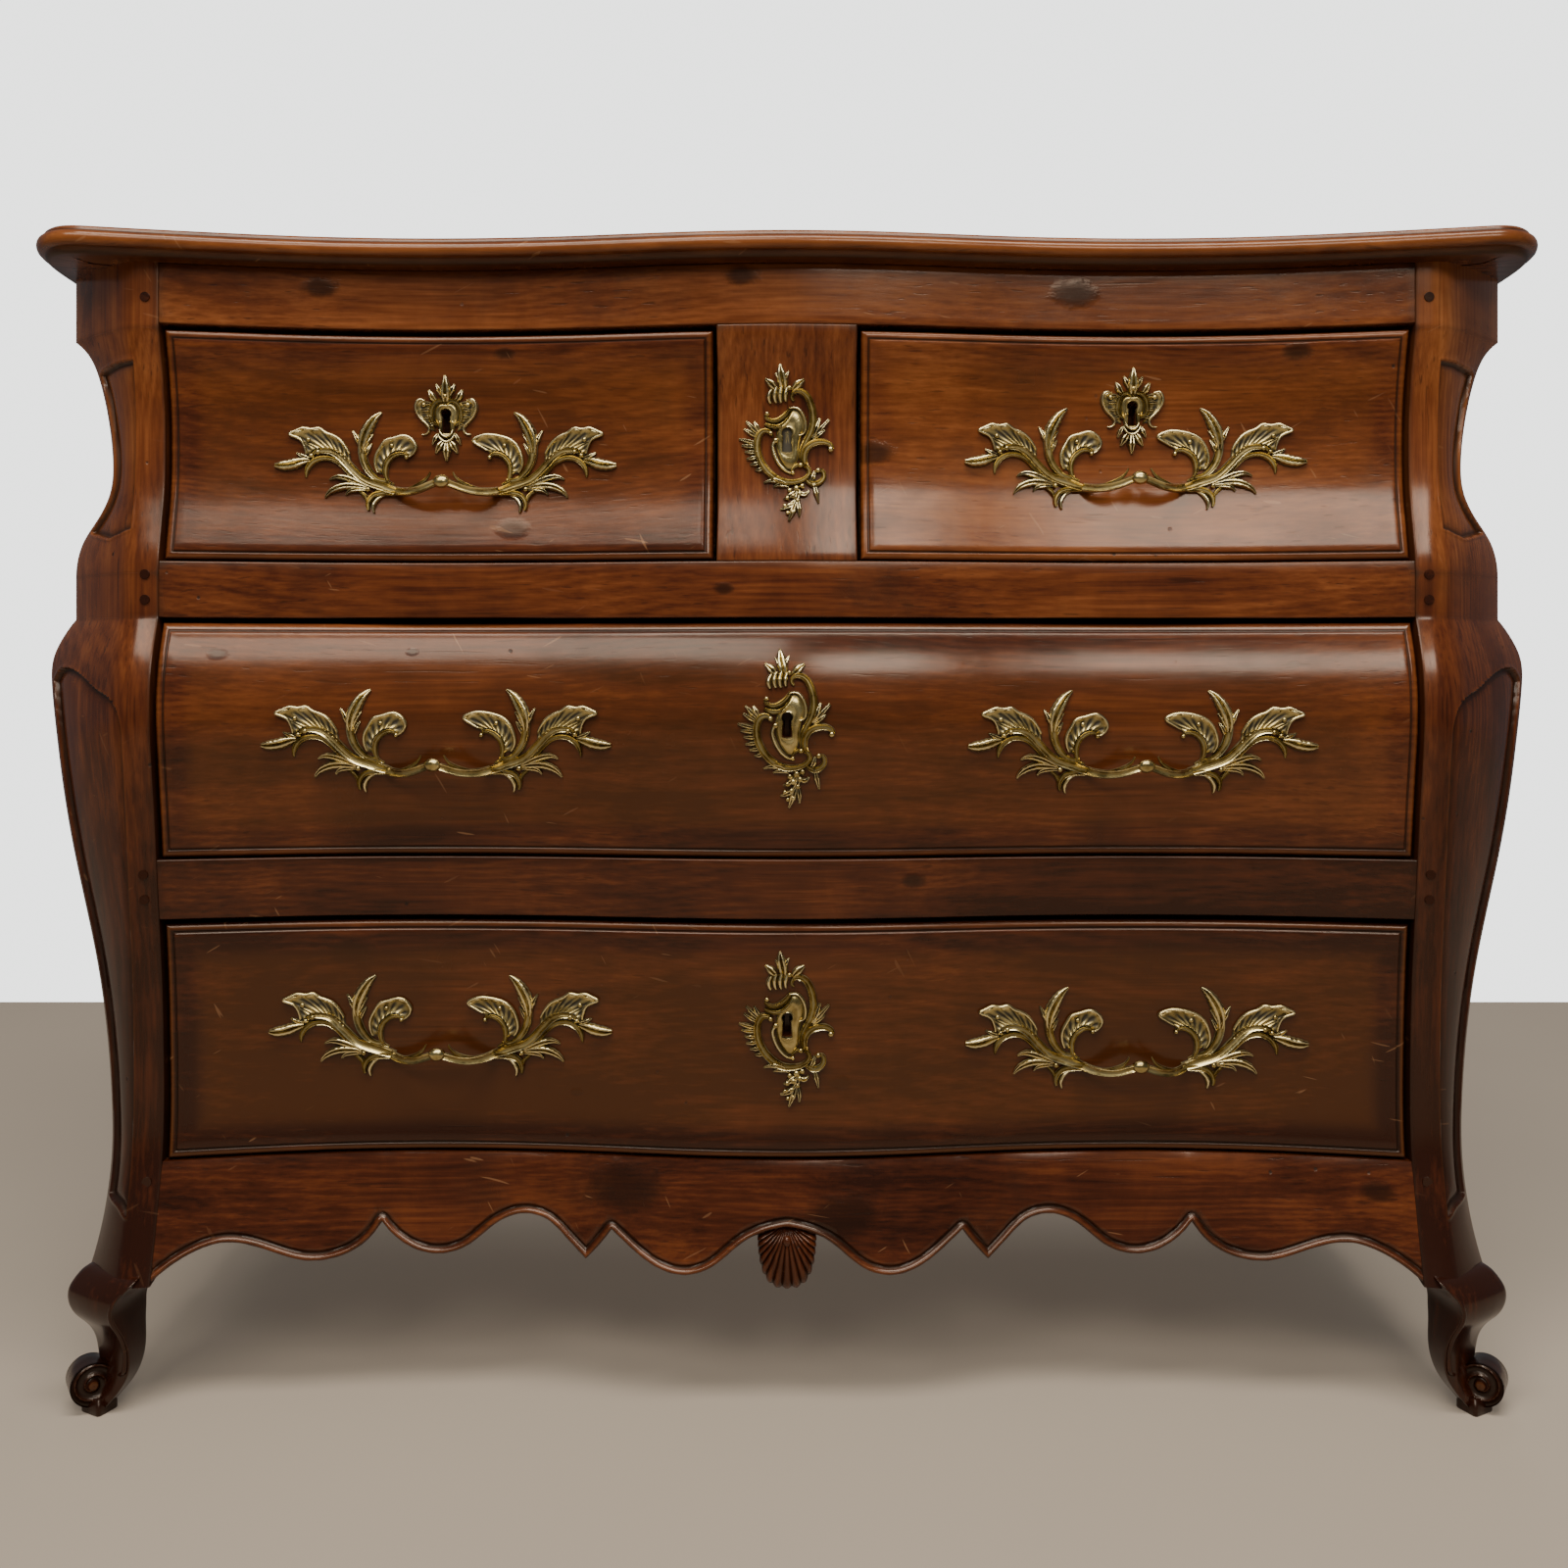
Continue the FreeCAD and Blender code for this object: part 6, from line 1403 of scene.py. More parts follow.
GILT = ((0.30, (0.220, 0.160, 0.054, 1)), (0.50, (0.420, 0.325, 0.122, 1)), (0.70, (0.620, 0.510, 0.225, 1)))
RUBBED_GILT_AND_HIGHLIGHT = (0.980, 0.870, 0.520, 1)
GRIME_AND_SHADOW = (0.014, 0.010, 0.005, 1)


def brass_recipe(place):
    """Old gilt brass: ridges bright from wear and a painted highlight, hollows dark with patina."""
    wax = place.wax()
    blotch = place.noise(90.0, 4.0, 0.6)
    grain = place.noise(700.0, 3.0, 0.6)
    # The dark mixed in here is patina in the hollows of the casting and, in the stile's keyhole, painted
    # shadow.
    grime_and_shadow = (wax + (blotch - 0.5) * 1.1).between(-0.04, 0.78)
    # The ridges are mixed towards pale gilt, partly for wear and partly as a painted highlight.
    colour = blotch.colours(*GILT).mixed(RUBBED_GILT_AND_HIGHLIGHT, (wax * -1).between(0.16, 0.75) * 0.80)
    colour = colour.mixed(GRIME_AND_SHADOW, grime_and_shadow * 0.96)
    height = blotch * 0.0003 + grain * 0.00012
    return {"Base Color": colour, "Roughness": 0.16 + blotch * 0.14 + grime_and_shadow * 0.42,
            "Metallic": 1 - grime_and_shadow * 0.88, "Normal": height.bump(0.6)}


brass = make_finish("gilt_brass", brass_recipe)
for drawer, handles in HANDLES.items():
    for word, (x, z) in handles.items():
        name = f"{drawer}_{word}"
        finish_piece(name + "_brass", handle_mesh(name, x, z), brass, drawer, name)

# %% [markdown]
# The keyhole plates come in two patterns. The short drawers have a small one that is the same on both
# sides; the long drawers and the middle stile have a tall, crooked one, pierced between its scrolls. In
# both, a domed shield surrounds the keyhole, which is a round hole over a flaring slot. On the stile the
# keyhole does not go through, and a near-black disc in it is painted shadow.

# %% Keyhole plates
TALL_SHIELD = [
    (4.5, 19.2), (9.6, 17.4), (13.3, 11.7), (14.2, 4.9), (12.4, -1.9), (10.4, -9.3), (10.0, -18.5),
    (7.6, -25.3), (3.3, -31), (-0.7, -28.7), (-5.2, -21.9), (-8.4, -13.9), (-9.2, -5.4), (-8.2, 1.5),
    (-4.4, 6.4), (0.5, 12.6),
]
TALL_STRANDS = [
    ("leaf", 4.4, [(-2.4, 33), (-3.6, 41), (-5, 48.2), (-5.5, 54)], [2.8, 5.0, 4.4, 0.8]),
    ("leaf", 3.4, [(-3, 40), (-0.6, 44.5), (1.6, 48.6)], [1.4, 2.2, 0.6]),
    ("leaf", 3.4, [(-4, 40), (-7, 44), (-9.4, 47)], [1.4, 2.2, 0.6]),
    ("leaf", 4.2, [(-8, 33.5), (-12.8, 38.6), (-17.4, 42.4)], [2.2, 4.2, 1.2]),
    ("leaf", 4.2, [(4.5, 33.5), (9.4, 38.6), (13.8, 42)], [2.2, 4.4, 1.4]),
    ("round", 5.0, [(-12, 34), (-14.6, 28.6), (-12.8, 23)], [1.6, 2.4, 1.4]),
    ("round", 5.4, [(-8, 36), (-10, 30), (-8.6, 23.4)], [1.6, 2.4, 1.4]),
    ("round", 5.6, [(-4, 36.4), (-5.6, 30.4), (-4.6, 23.6)], [1.6, 2.4, 1.4]),
    ("round", 5.4, [(0.4, 35.4), (-1.2, 30), (-0.8, 24.6)], [1.6, 2.4, 1.4]),
    ("ridge", 4.8, [(5.6, 25.4), (3.6, 28.6), (5.4, 32), (10, 32.9), (15.3, 29.8), (19, 22.6), (20.8, 13.5),
                    (19.6, 3.2), (16.6, -3.7), (13.2, -10.5), (11.5, -17.3), (12.3, -24.7)],
     [1.1, 2.0, 2.8, 3.2, 3.4, 3.5, 3.4, 3.2, 3.0, 2.8, 2.5, 1.5]),
    ("round", 4.6, [(2.2, 19.2), (8.4, 19.2), (13, 13.8), (14.9, 6), (13.2, -0.8), (9.6, -2.2)],
     [1.0, 1.4, 1.5, 1.5, 1.4, 1.0]),
    ("ridge", 4.4, [(3.2, 20.5), (-1.6, 14), (-7, 10.3), (-13.2, 9.8), (-17, 12.9), (-15.2, 15.8)],
     [1.5, 2.2, 2.4, 2.2, 1.8, 1.0]),
    ("ridge", 4.0, [(4.5, 16.3), (0, 9.5), (-6.4, 5), (-13, 5.2), (-17.8, 7.4)], [1.4, 2.0, 2.1, 2.2, 1.2]),
    ("ridge", 5.0, [(-11.6, -3), (-14.6, 1.2), (-19.4, 1.3), (-22.9, -3), (-24, -9.9), (-22.4, -19),
                    (-17.8, -27.8), (-10.7, -35), (-1.8, -39.2), (7.3, -39.2), (14.7, -36.1),
                    (17.9, -31), (15.6, -26.8), (10.6, -25.4), (5.8, -27.6), (3.7, -31.6)],
     [1.2, 2.4, 3.2, 3.5, 3.5, 3.5, 3.5, 3.5, 3.4, 3.2, 2.7, 2.3, 2.1, 2.0, 1.7, 1.0]),
    ("round", 4.0, [(-8.9, -6.2), (-11.2, -9.3), (-10.6, -15.6), (-7.2, -23.3), (-1.8, -29.6), (2.9, -32.3)],
     [1.7, 1.8, 1.9, 1.9, 1.8, 1.0]),
    ("leaf", 3.6, [(20.5, -4), (23.8, 4.6), (26.4, 11.8)], [1.6, 2.6, 1.1]),
    ("leaf", 3.6, [(20.5, -4), (28, 4.4), (33.8, 10.6)], [1.6, 2.6, 1.2]),
    ("leaf", 3.4, [(20.5, -4.5), (26, -1), (30.4, 2.4)], [1.6, 2.3, 1.0]),
    ("ridge", 4.6, [(16, -27), (13.9, -19.6), (15.8, -12.8), (21, -8.4), (27.8, -7.2), (33.4, -8.6),
                    (36.4, -12), (34.8, -14.2)],
     [1.8, 2.8, 3.2, 3.4, 3.4, 3.0, 2.4, 1.0]),
    ("ridge", 4.4, [(15.3, -37.3), (21, -41), (26.7, -39.2), (29.6, -34), (27.8, -29.8), (24.6, -29.6)],
     [1.6, 2.6, 2.8, 2.4, 2.0, 1.0]),
    ("leaf", 3.6, [(18.6, -39.6), (21, -35), (22.2, -30.4)], [1.6, 2.6, 1.2]),
    ("leaf", 3.6, [(-0.7, -41.3), (-9.8, -38.2), (-18.6, -40)], [1.6, 3.0, 0.8]),
    ("leaf", 3.6, [(1.6, -43), (-4.1, -41.6), (-10.9, -43.2)], [1.6, 2.8, 0.8]),
    ("leaf", 3.8, [(8, -46), (2.7, -50.4), (-2.8, -53.4)], [1.6, 3.2, 0.8]),
    ("leaf", 4.0, [(8.4, -46), (8, -52), (4, -56.6)], [1.6, 3.0, 0.8]),
    ("leaf", 3.8, [(9, -46), (14, -49.4), (17.6, -46)], [1.6, 2.8, 0.9]),
    ("leaf", 4.0, [(7, -53), (1, -59.4), (-5.4, -61.4)], [1.6, 3.0, 0.8]),
    ("leaf", 4.4, [(7.2, -54), (4.4, -63), (1.4, -71)], [1.6, 3.4, 0.9]),
    ("leaf", 4.0, [(8.4, -54), (9.8, -61.4), (9.8, -67.5)], [1.5, 2.6, 0.8]),
    ("leaf", 3.8, [(21.5, -40), (23.8, -49.2), (25.2, -56.4)], [1.5, 2.8, 0.8]),
]
RAYS = [
    ((-22.6, -0.4), (-32.8, 9.4)), ((-21.6, 1), (-26.4, 9.2)), ((-24, -3), (-34.4, 3.2)),
    ((-25, -8), (-38.5, -4.8)), ((-25, -11), (-36.4, -10)), ((-24, -15.6), (-34, -15)),
    ((-23, -19.4), (-32.6, -20.8)), ((-21, -24.4), (-29.6, -25.2)), ((-18.4, -29), (-25.6, -29.8)),
]
TALL_BEADS = [
    (-9, -6.2, 2.5), (-16, 15, 1.9), (35, -13, 2.5), (25, -30, 2.2), (7.6, -44.4, 2.8), (4.6, -32, 1.6),
    (12.2, -42.6, 2.3), (2.2, -46.2, 2.3), (10.2, -48.6, 2.4), (5.0, -50.6, 2.6), (0.2, -52.4, 2.1),
    (8.6, -54.2, 2.3), (3.6, -57.6, 2.4), (-1.6, -58.6, 1.9), (4.8, -63.6, 2.2), (0.6, -64.4, 1.8),
]
SMALL_SHIELD = [
    (0, 8.0), (5, 8.8), (9.4, 4.8), (10.4, -1), (8.6, -6.8), (7.0, -11), (5.8, -16.2), (0, -19.4),
    (-5.8, -16.2), (-7.0, -11), (-8.6, -6.8), (-10.4, -1), (-9.4, 4.8), (-5, 8.8),
]
SMALL_STRANDS = [
    ("ridge", 4.6, [(0.3, 7.4), (3.4, 10.4), (7.6, 9.4), (11.2, 4.9), (12.2, -1.4), (10.2, -7.4), (6, -8.6),
                    (5, -6.6)], [1.4, 1.9, 2.1, 2.1, 2.1, 1.9, 1.6, 0.9]),
    ("leaf", 3.8, [(3, 15), (6, 20.4), (7.6, 23.6)], [2.2, 2.8, 0.8]),
    ("leaf", 4.0, [(8, 10), (11.6, 14.8), (13.6, 19)], [2.0, 3.5, 1.0]),
    ("round", 3.6, [(20, -16.6), (15.6, -15.6), (14, -12), (19, -5.6), (23.4, 0.6), (24.5, 6.8), (21.7, 11.2),
                    (17.6, 10.4)], [0.8, 1.3, 1.4, 1.5, 1.6, 1.7, 1.6, 1.0]),
    ("leaf", 3.4, [(12, 8), (16, 8.4), (19.6, 7.2)], [1.4, 2.4, 1.2]),
    ("leaf", 3.4, [(12.4, 3), (16.4, 3.2), (20.4, 2.6)], [1.4, 2.4, 1.2]),
    ("leaf", 3.2, [(12, -2.4), (15.4, -2.6), (18.6, -2.6)], [1.4, 2.2, 1.1]),
    ("leaf", 3.2, [(10.4, -8.4), (12.6, -9), (14.6, -9.4)], [1.4, 2.2, 1.2]),
    ("leaf", 3.6, [(7, -16.4), (9.7, -20.8), (11.4, -25)], [1.4, 2.5, 0.8]),
    ("leaf", 4.2, [(2.1, -21.4), (5.7, -26.2), (8.9, -32)], [1.8, 3.9, 0.9]),
]
SMALL_MIDDLE = [
    ("leaf", 4.8, [(0, 9.5), (0, 17), (0, 25), (0, 30.6)], [3.4, 5.4, 4.0, 0.9]),
    ("round", 4.2, [(-5.4, -12.6), (-3.6, -16.8), (0, -18.6), (3.6, -16.8), (5.4, -12.6)],
     [0.9, 1.4, 1.5, 1.4, 0.9]),
    ("round", 3.8, [(-6.8, -15.6), (-4.4, -20.4), (0, -22.6), (4.4, -20.4), (6.8, -15.6)],
     [0.9, 1.5, 1.6, 1.5, 0.9]),
    ("leaf", 4.6, [(0, -23), (0, -31), (0, -38.4)], [2.0, 4.0, 0.9]),
]
EAR_FRILL = ([(11, 9), (13, 3), (12.6, -3), (10.6, -9), (8.6, -14)],
             [(17, 10.6), (23.6, 7), (22.6, 0.4), (18.2, -5.8), (13.4, -12.4)], 4)


def keyhole_line():
    """The outline of a keyhole, round above and flaring below, from its top and clockwise."""
    turn = np.linspace(0, radians(136), 13)
    half = [(KEY_RADIUS * sin(t), KEY_RADIUS * cos(t)) for t in turn]
    half += [(3.0 + 0.9 * share, -3.4 - 11.4 * share) for share in np.linspace(0.05, 1, 8)]
    half += [(2.2, -15.4)]
    return np.array(half + [(0, -15.5)] + [(-a, b) for a, b in half[:0:-1]])


def tall_plate(name, x, z, blind_with_painted_shadow=False):
    """The crooked plate of the long drawers and of the stile, where its keyhole does not go through and is
    filled by a near-black disc of painted shadow.
    """
    cast = Casting(x, z + KEY_RISE)
    cast.shield(TALL_SHIELD, keyhole_line(), 3.4)
    # Painted shadow: a near-black disc fills the keyhole, where there is no hole behind the plate.
    if blind_with_painted_shadow:
        floor = ((1.03, BASE_LIFT), (1.03, -BASE_LIFT), (0.04, -BASE_LIFT))
        cast.work.tube([cast.lay(keyhole_line() * share, lift) for share, lift in floor], 1.4)
    for root, tip in RAYS:
        middle = np.array(root) * 0.45 + np.array(tip) * 0.55
        cast.strand("leaf", 3.6, [root, middle, tip], [1.7, 2.5, 1.0])
    for order, (section, height, line, halves) in enumerate(TALL_STRANDS):
        cast.strand(section, height, line, halves, lift=0.1 + 0.02 * order)
    for across, up, radius in TALL_BEADS:
        cast.bead(across, up, radius, radius, 2.2)
    return cast.work.mesh(name, 50)


def small_plate(name, x, z):
    """The even plate of the short drawers."""
    cast = Casting(x, z + KEY_RISE)
    cast.shield(SMALL_SHIELD, keyhole_line(), 3.2)
    for side in (-1, 1):
        root, tip, ribs = EAR_FRILL
        cast.frill(root, tip, ribs, 1.9, side)
        for order, (section, height, line, halves) in enumerate(SMALL_STRANDS):
            cast.strand(section, height, line, halves, side, lift=0.1 + 0.03 * order)
        cast.bead(5.2, -7.0, 1.5, 2.4, 1.4, side)
    for section, height, line, halves in SMALL_MIDDLE:
        cast.strand(section, height, line, halves, lift=0.6)
    return cast.work.mesh(name, 50)


PLATES = {
    "upper_left_drawer": small_plate, "upper_right_drawer": small_plate,
    "middle_drawer": tall_plate, "lower_drawer": tall_plate,
}
STILE_PLATE = (0, 771)
for drawer, make in PLATES.items():
    name = drawer + "_escutcheon"
    finish_piece(name + "_brass", make(name, *KEYHOLES[drawer]), brass, drawer, name)
finish_piece("stile_escutcheon_brass", tall_plate("stile_escutcheon", *STILE_PLATE, blind_with_painted_shadow=True), brass,
             "case", "stile_escutcheon")

# %% [markdown]
# Small things that repeat are made with Geometry Nodes: brass pins with domed heads, and the pegs that
# lock the joints. One tree serves both. It puts a shape on every point of a mesh, makes the copies real
# and gives them their finish. Its sizes are named inputs, set by their identifiers on the modifier.

# %% Repeating a shape on points


def stud_shape(sizes):
    """A ball pressed flat along Y."""
    ball = sizes["Radius"].node("GeometryNodeMeshUVSphere", None, {
        "Segments": 14, "Rings": 8, "Radius": sizes["Radius"]})
    press = sizes["Flatness"].node("ShaderNodeCombineXYZ", None, {0: 1.0, 1: sizes["Flatness"], 2: 1.0})
    return ball.node("GeometryNodeTransform", None, {"Geometry": ball, "Scale": press})


def peg_shape(sizes):
    """A short round peg along Y."""
    rod = sizes["Radius"].node("GeometryNodeMeshCylinder", None, {
        "Vertices": 18, "Radius": sizes["Radius"], "Depth": sizes["Length"]})
    turned = {"Geometry": rod, "Rotation": (pi / 2, 0, 0)}
    return rod.node("GeometryNodeTransform", None, turned)


def repeated(name, shape, spots, sizes, finish):
    """A plain mesh of one shape repeated on points, given in millimetres."""
    tree = bpy.data.node_groups.new(name, "GeometryNodeTree")
    face = tree.interface
    face.new_socket("Places", in_out="INPUT", socket_type="NodeSocketGeometry")
    knobs = {key: face.new_socket(key, in_out="INPUT", socket_type="NodeSocketFloat") for key in sizes}
    coat = face.new_socket("Finish", in_out="INPUT", socket_type="NodeSocketMaterial")
    face.new_socket("Pieces", in_out="OUTPUT", socket_type="NodeSocketGeometry")
    inlet = tree.nodes.new("NodeGroupInput")
    places = Tint(tree, inlet.outputs["Places"])
    piece = shape({key: Tint(tree, inlet.outputs[key]) for key in sizes})
    many = places.node("GeometryNodeInstanceOnPoints", None, {"Points": places, "Instance": piece})
    real = many.node("GeometryNodeRealizeInstances", None, {0: many})
    done = real.node("GeometryNodeSetMaterial", None, {
        "Geometry": real, "Material": Tint(tree, inlet.outputs["Finish"])})
    tree.links.new(done.socket, tree.nodes.new("NodeGroupOutput").inputs[0])
    points = bpy.data.meshes.new(name + "_places")
    points.from_pydata((np.array(spots, float) * MM).tolist(), [], [])
    holder = bpy.data.objects.new(name + "_places", points)
    bpy.context.scene.collection.objects.link(holder)
    step = holder.modifiers.new("repeat", "NODES")
    step.node_group = tree
    for key, value in sizes.items():
        step[knobs[key].identifier] = value
    step[coat.identifier] = finish
    ready = holder.evaluated_get(bpy.context.evaluated_depsgraph_get())
    mesh = bpy.data.meshes.new_from_object(ready)
    bpy.data.objects.remove(holder)
    mesh.name = name
    mesh.shade_smooth()
    mesh.set_sharp_from_angle(angle=radians(40))
    return mesh


# %% Pins in the brass
HANDLE_PINS = [(64, -6, 4.0), (112, 34, 2.4), (104, 24, 4.2), (46, 30, 2.2)]
SMALL_PINS = [(-18, 7, 2.6), (18, 7, 2.6), (0, 13.6, 4.4)]
TALL_PINS = [(11, -26, 3.4), (-13, -0.6, 3.4), (2, 35, 3.8)]
PIN_SIZES = {"Radius": 1.9 * MM, "Flatness": 0.75}


def on_skin(x, z, lift):
    """A point above the skin."""
    return (x, float(front_y(x, z)) - lift, z)


def plate_pins(make, x, z):
    """The places of the pins of a keyhole plate."""
    places = SMALL_PINS if make is small_plate else TALL_PINS
    return [on_skin(x + a, z + KEY_RISE + b, lift) for a, b, lift in places]


for drawer, handles in HANDLES.items():
    spots = plate_pins(PLATES[drawer], *KEYHOLES[drawer])
    for x, z in handles.values():
        spots += [on_skin(x + side * a, z + b, lift) for side in (-1, 1) for a, b, lift in HANDLE_PINS]
    mesh = repeated(drawer + "_pin_heads", stud_shape, spots, PIN_SIZES, brass)
    finish_piece(drawer + "_pins_brass", mesh, brass, drawer, drawer + "_pins")
stile_spots = plate_pins(tall_plate, *STILE_PLATE)
stile_pins = repeated("stile_pin_heads", stud_shape, stile_spots, PIN_SIZES, brass)
finish_piece("stile_escutcheon_pins_brass", stile_pins, brass, "case", "stile_escutcheon_pins")

# %% Pegs through the joints
PEG_X = 507
PEG_HEIGHTS = (880, 661, 641, 424, 404, 180)
PEG_LENGTH = 12.0
PEG_PROUD = 0.7
PEG_SIZES = {"Radius": 3.8 * MM, "Length": PEG_LENGTH * MM}
peg_spots = [(side * PEG_X, float(front_y(PEG_X, z)) + PEG_LENGTH / 2 - PEG_PROUD, z)
             for side in (-1, 1) for z in PEG_HEIGHTS]
pegs = repeated("pegs", peg_shape, peg_spots, PEG_SIZES, finishes["pegs"])
finish_piece("joint_pegs_wood", pegs, finishes["pegs"], "case", "joint_pegs")

# %% [markdown]
# The shell under the middle of the apron is carved from its own small block and set in with a tongue.
# It is one grid that fans out from a root behind the apron's bead. A superellipse gives its square
# sides and round foot, and a sine across the angle gives its ribs, which swell towards the rim.

# %% Carved shell
SHELL_ROOT = 146.0
SHELL_WIDE = 23.5
SHELL_DEEP = 50.0
SHELL_SQUARE = 2.8
SHELL_RIBS = 19
SHELL_BLOCK = 11
SHELL_HALF_TURN = radians(88)
SHELL_OUT = np.array([0.05, 0.15, 0.3, 0.45, 0.6, 0.72, 0.83, 0.9, 0.95, 0.98, 1.0])[:, None]
HOLLOW_FROM = 134
HOLLOW_DEPTH = 7.0
BOSS_WIDE = 3.6
BOSS_TALL = 4.4
BOSS_HIGH = 3.4


def shell_boss(front_plane):
    """The small boss at the root of the ribs."""
    rings = []
    for climb in np.linspace(-1.2, 1.45, 8):
        x = BOSS_WIDE * cos(climb) * np.cos(BEAD_TURN)
        z = HOLLOW_FROM + BOSS_TALL * cos(climb) * np.sin(BEAD_TURN)
        y = np.full(len(BEAD_TURN), front_plane + 2 - BOSS_HIGH * sin(climb))
        rings.append(np.column_stack([x, y, z]))
    return rings


def apron_shell(name, finish):
    """The ribbed fan, hollowed where it passes under the apron's bead."""
    front_plane = float(front_y(0, SHELL_ROOT)) - 1.0
    turn = np.linspace(-SHELL_HALF_TURN, SHELL_HALF_TURN, SHELL_RIBS * 8 + 1)
    rib = np.abs(np.sin(pi * np.linspace(0, SHELL_RIBS, len(turn))))
    rim = ((np.abs(np.sin(turn)) / SHELL_WIDE) ** SHELL_SQUARE
           + (np.abs(np.cos(turn)) / SHELL_DEEP) ** SHELL_SQUARE) ** (-1 / SHELL_SQUARE)
    reach = SHELL_OUT * rim * (0.96 + 0.04 * rib)
    z = SHELL_ROOT - reach * np.cos(turn)
    rise = np.interp(SHELL_OUT, [0, 0.3, 0.8, 0.93, 1.0], [0.0, 0.9, 2.5, 2.3, 0.5]) * rib
    dish = np.interp(SHELL_OUT, [0, 0.4, 0.8, 0.93, 1.0], [2.0, 1.0, 1.4, 2.2, 4.2])
    sunk = HOLLOW_DEPTH * np.clip((z - HOLLOW_FROM) / 9, 0, 1)
    front = np.stack([reach * np.sin(turn), front_plane + dish + sunk - rise, z], axis=-1)
    back = front.copy()
    back[..., 1] = front_plane + SHELL_BLOCK
    work = Work()
    # The valleys between the ribs are darkened, partly for old polish and partly as painted shade, and the
    # crests lightened a little, partly for wear and partly as a painted highlight.
    work.board(front, back, np.interp(rib, [0, 0.5, 1.0], [1.0, 0.35, -0.15])[None, :], 0.4, 0.4)
    work.tube(shell_boss(front_plane), -0.1)
    finish_piece(name + "_wood", work.mesh(name, 50), finish, "case", name)


apron_shell("apron_shell", finishes["shell"])

# %% [markdown]
# Inside, the chest is plain pine, sawn and never waxed, greyed by dust. The locks are
# forged iron, brown and dull, with brighter rubbed places. These pieces stay as they were modelled and
# only get their finish.

# %% Pine and iron for the pieces inside
PINE = (
    (0.30, (0.115, 0.060, 0.026, 1)), (0.50, (0.215, 0.128, 0.062, 1)),
    (0.66, (0.300, 0.195, 0.105, 1)), (0.82, (0.380, 0.262, 0.155, 1)),
)
PINE_STAIN = (0.090, 0.056, 0.030, 1)
IRON = ((0.3, (0.030, 0.020, 0.014, 1)), (0.6, (0.075, 0.052, 0.038, 1)), (0.8, (0.130, 0.085, 0.052, 1)))
RUBBED_IRON = (0.150, 0.145, 0.140, 1)


def pine_recipe(grain, shift):
    """A recipe for old unwaxed pine."""

    def recipe(place):
        board = place.stretched(1, 1, 1, shift)
        bands = board.stretched(*grained(grain, 1.2, 30.0)).noise(1.0, 4.0, 0.6, 0.8)
        fibre = board.stretched(*grained(grain, 10.0, 500.0)).noise(1.0, 2.0, 0.6)
        dust = board.noise(4.0, 4.0, 0.6)
        level = bands * 0.8 + fibre * 0.25 + dust * 0.2 - 0.12
        stain = board.noise(3.0, 3.0, 0.6).between(0.52, 0.72)
        height = bands * 0.0006 + fibre * 0.0002
        return {"Base Color": level.colours(*PINE).mixed(PINE_STAIN, stain * 0.4),
                "Roughness": 0.62 + fibre * 0.2, "Normal": height.bump(0.6)}

    return recipe


def iron_recipe(place):
    """Old iron: brown scale with rubbed grey places."""
    scale = place.noise(60.0, 5.0, 0.65)
    patches = place.noise(14.0, 3.0, 0.6).between(0.42, 0.62)
    height = scale * 0.0006
    return {"Base Color": scale.colours(*IRON).mixed(RUBBED_IRON, patches * 0.6),
            "Roughness": 0.62 - patches * 0.22 + scale * 0.1,
            "Metallic": 0.55 + patches * 0.4, "Normal": height.bump(0.5)}


pine_long = make_finish("old_pine_across", pine_recipe(0, (0.4, 1.3, 0.8)))
pine_deep = make_finish("old_pine_sides", pine_recipe(1, (1.9, 0.2, 2.4)))
iron = make_finish("old_iron", iron_recipe)
INSIDE = {
    "dust_boards": pine_long, "back_rails": pine_long, "back_boards": pine_long,
    "drawer_runners": pine_deep, "drawer_guides": pine_deep, "drawer_stops": pine_long,
}
for drawer in KEYHOLES:
    INSIDE.update({drawer + "_sides": pine_deep, drawer + "_back": pine_long, drawer + "_bottom": pine_long,
                   drawer + "_lock": iron, drawer + "_bolt": iron})
for name, finish in INSIDE.items():
    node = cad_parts[name]
    node.data.materials.clear()
    node.data.materials.append(finish)
print(len(INSIDE), "pieces inside the chest keep their modelled shape")

# %% [markdown]
# The chest stands on a plain pale floor under a large soft lamp, with two more behind the viewer and a
# weak one behind the chest, for its back. The camera is level at a little under sixty centimetres, a
# metre and a quarter from the front, and its lens is shifted down, so that the posts stay upright.

# %% Floor, light and camera
FLOOR_HALF = 9
FLOOR_END = 1.27
FLOOR_COLOUR = (0.345, 0.289, 0.229, 1)
FLOOR_GLOW = 0.24
LAMP_TINT = (1.0, 0.94, 0.86)
LAMPS = {
    "ceiling_lamp": ((0.1, -1.15, 2.7), (0.0, -0.2, 0.8), 2.2, 0.7, 72),
    "room_lamp": ((-1.1, -2.9, 2.9), (-0.1, -0.2, 0.7), 2.2, 1.0, 62),
    "window_lamp": ((0.75, -2.95, 2.15), (0.1, -0.25, 0.7), 1.0, 0.7, 27),
    "back_lamp": ((0.5, 2.7, 2.3), (0.0, 0.3, 0.5), 1.8, 1.2, 20),
}


def plain(name, colour, roughness, glow):
    """A plain finish for the studio, with a faint glow for the light that walls throw under a chest."""

    def recipe(place):
        cloud = place.noise(2.0, 2.0, 0.5)
        bright = cloud.colours((0.3, [c * 0.97 for c in colour[:3]] + [1]), (0.7, colour))
        return {"Base Color": bright, "Emission Color": bright}

    return make_finish(name, recipe, Roughness=roughness, Emission_Strength=glow)


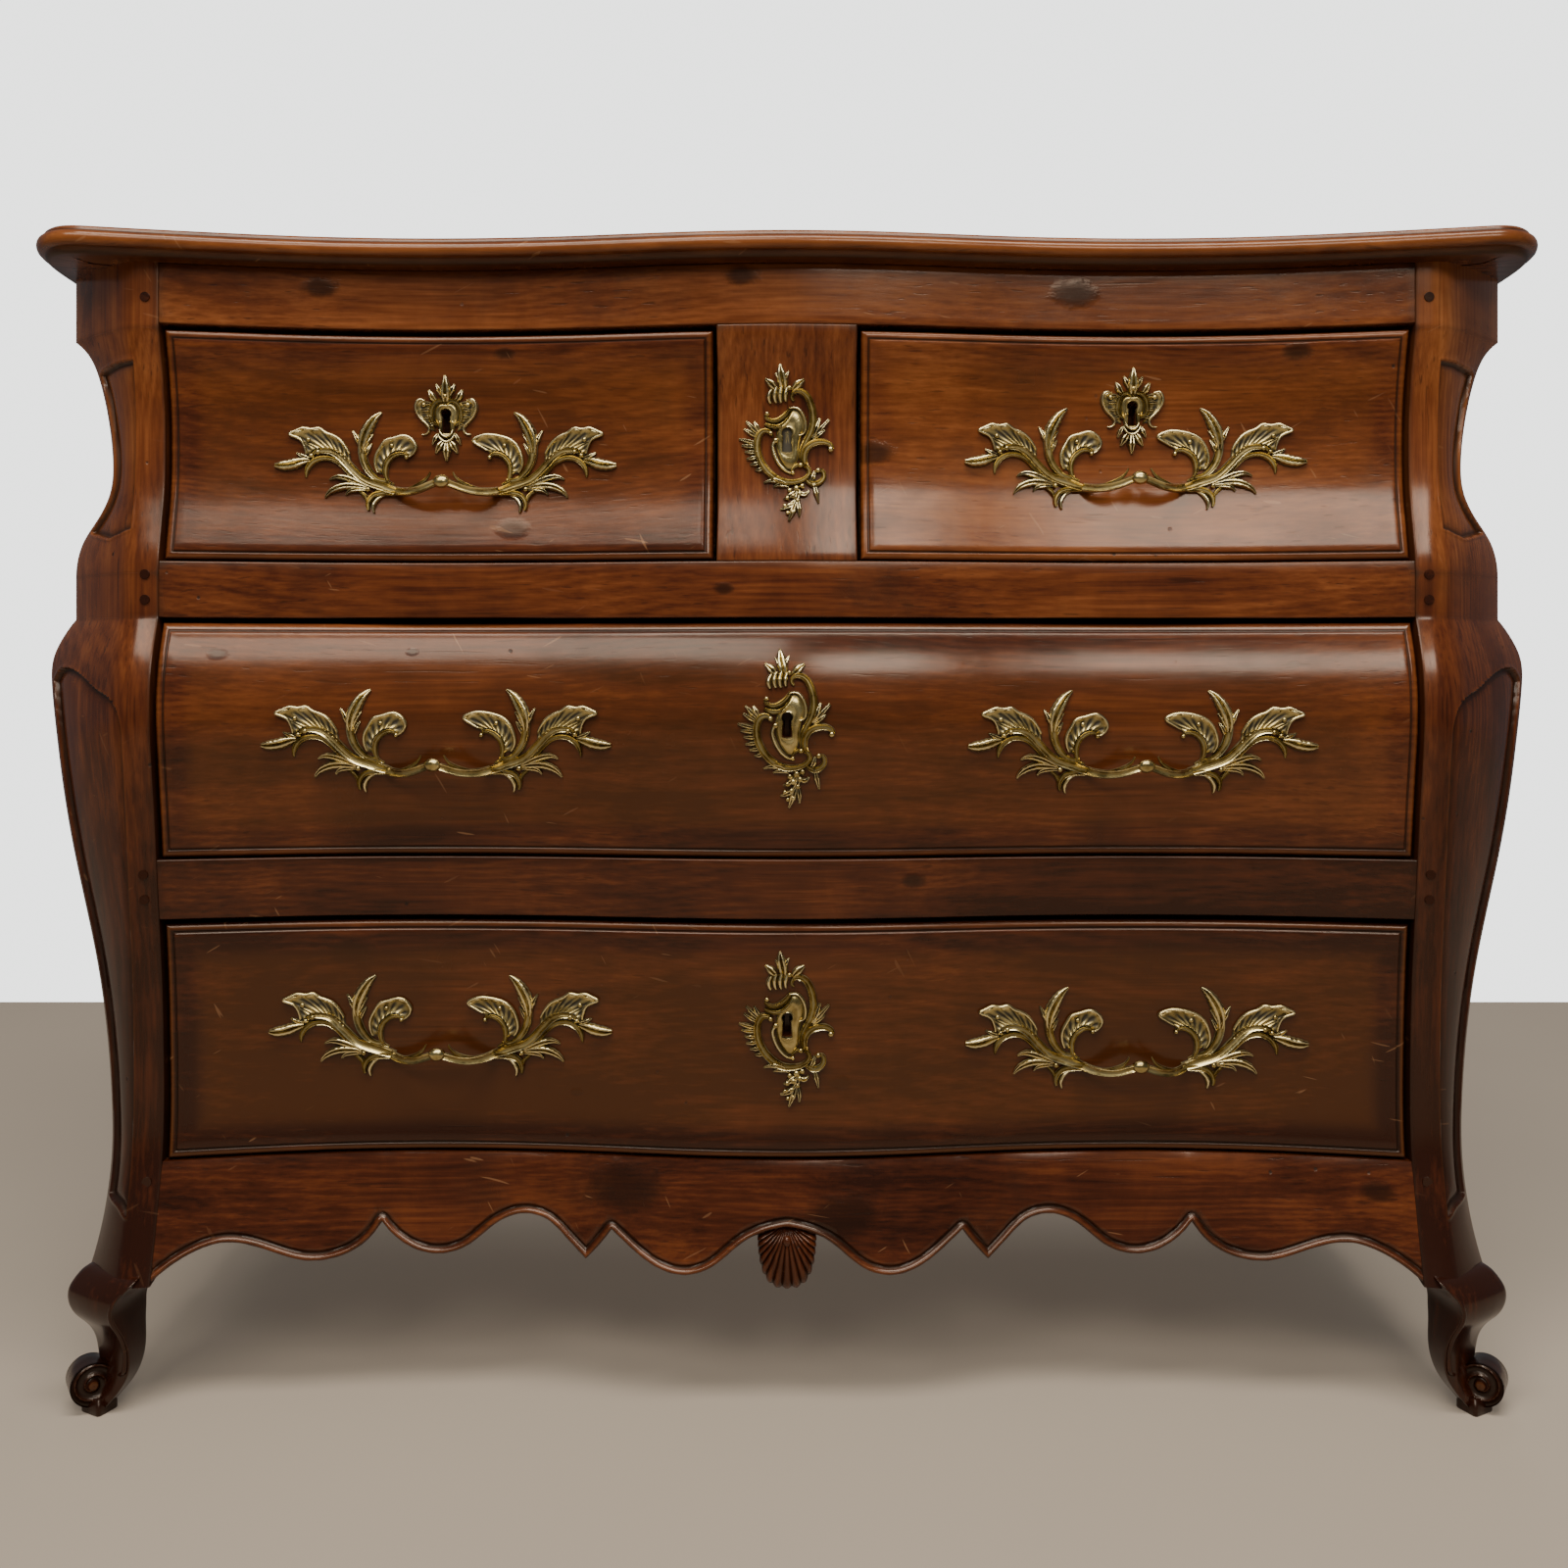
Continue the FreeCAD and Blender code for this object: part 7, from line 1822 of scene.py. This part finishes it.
floor_mesh = bpy.data.meshes.new("floor")
floor_mesh.from_pydata([(-FLOOR_HALF, -FLOOR_HALF, 0), (FLOOR_HALF, -FLOOR_HALF, 0),
                        (FLOOR_HALF, FLOOR_END, 0), (-FLOOR_HALF, FLOOR_END, 0)], [], [(0, 1, 2, 3)])
floor = bpy.data.objects.new("floor", floor_mesh)
bpy.context.scene.collection.objects.link(floor)
floor_mesh.materials.append(plain("pale_floor", FLOOR_COLOUR, 0.7, FLOOR_GLOW))

world = bpy.data.worlds.new("studio")
bpy.context.scene.world = world
world.use_nodes = True
world.node_tree.nodes.clear()
sky = Tint(world.node_tree, None)
wall_light = sky.node("ShaderNodeBackground", None, {"Color": (0.93, 0.96, 1.0, 1), "Strength": 0.16})
pale_wall = sky.node("ShaderNodeBackground", None, {"Color": (0.80, 0.81, 0.80, 1), "Strength": 3.1})
camera_ray = sky.node("ShaderNodeLightPath", out="Is Camera Ray")
choice = sky.node("ShaderNodeMixShader", None, {0: camera_ray, 1: wall_light, 2: pale_wall})
world.node_tree.links.new(choice.socket, world.node_tree.nodes.new("ShaderNodeOutputWorld").inputs["Surface"])


def softbox(name, place, aim, width, height, watts):
    """A soft rectangular lamp that looks at a point."""
    data = bpy.data.lights.new(name, "AREA")
    data.shape = "RECTANGLE"
    data.size = width
    data.size_y = height
    data.energy = watts
    data.color = LAMP_TINT
    lamp = bpy.data.objects.new(name, data)
    lamp.location = place
    gaze = np.array(aim, float) - np.array(place, float)
    lamp.rotation_euler = Vector(gaze).to_track_quat("-Z", "Y").to_euler()
    bpy.context.scene.collection.objects.link(lamp)


for name, sizes in LAMPS.items():
    softbox(name, *sizes)

lens = bpy.data.cameras.new("front_view")
lens.lens = 36
lens.sensor_width = 36
lens.shift_x = -0.0019
lens.shift_y = -0.07
lens.clip_start = 0.05
camera = bpy.data.objects.new("front_view", lens)
camera.location = (0.0, -1.514, 0.582)
camera.rotation_euler = (pi / 2, 0, 0)
bpy.context.scene.collection.objects.link(camera)
bpy.context.scene.camera = camera
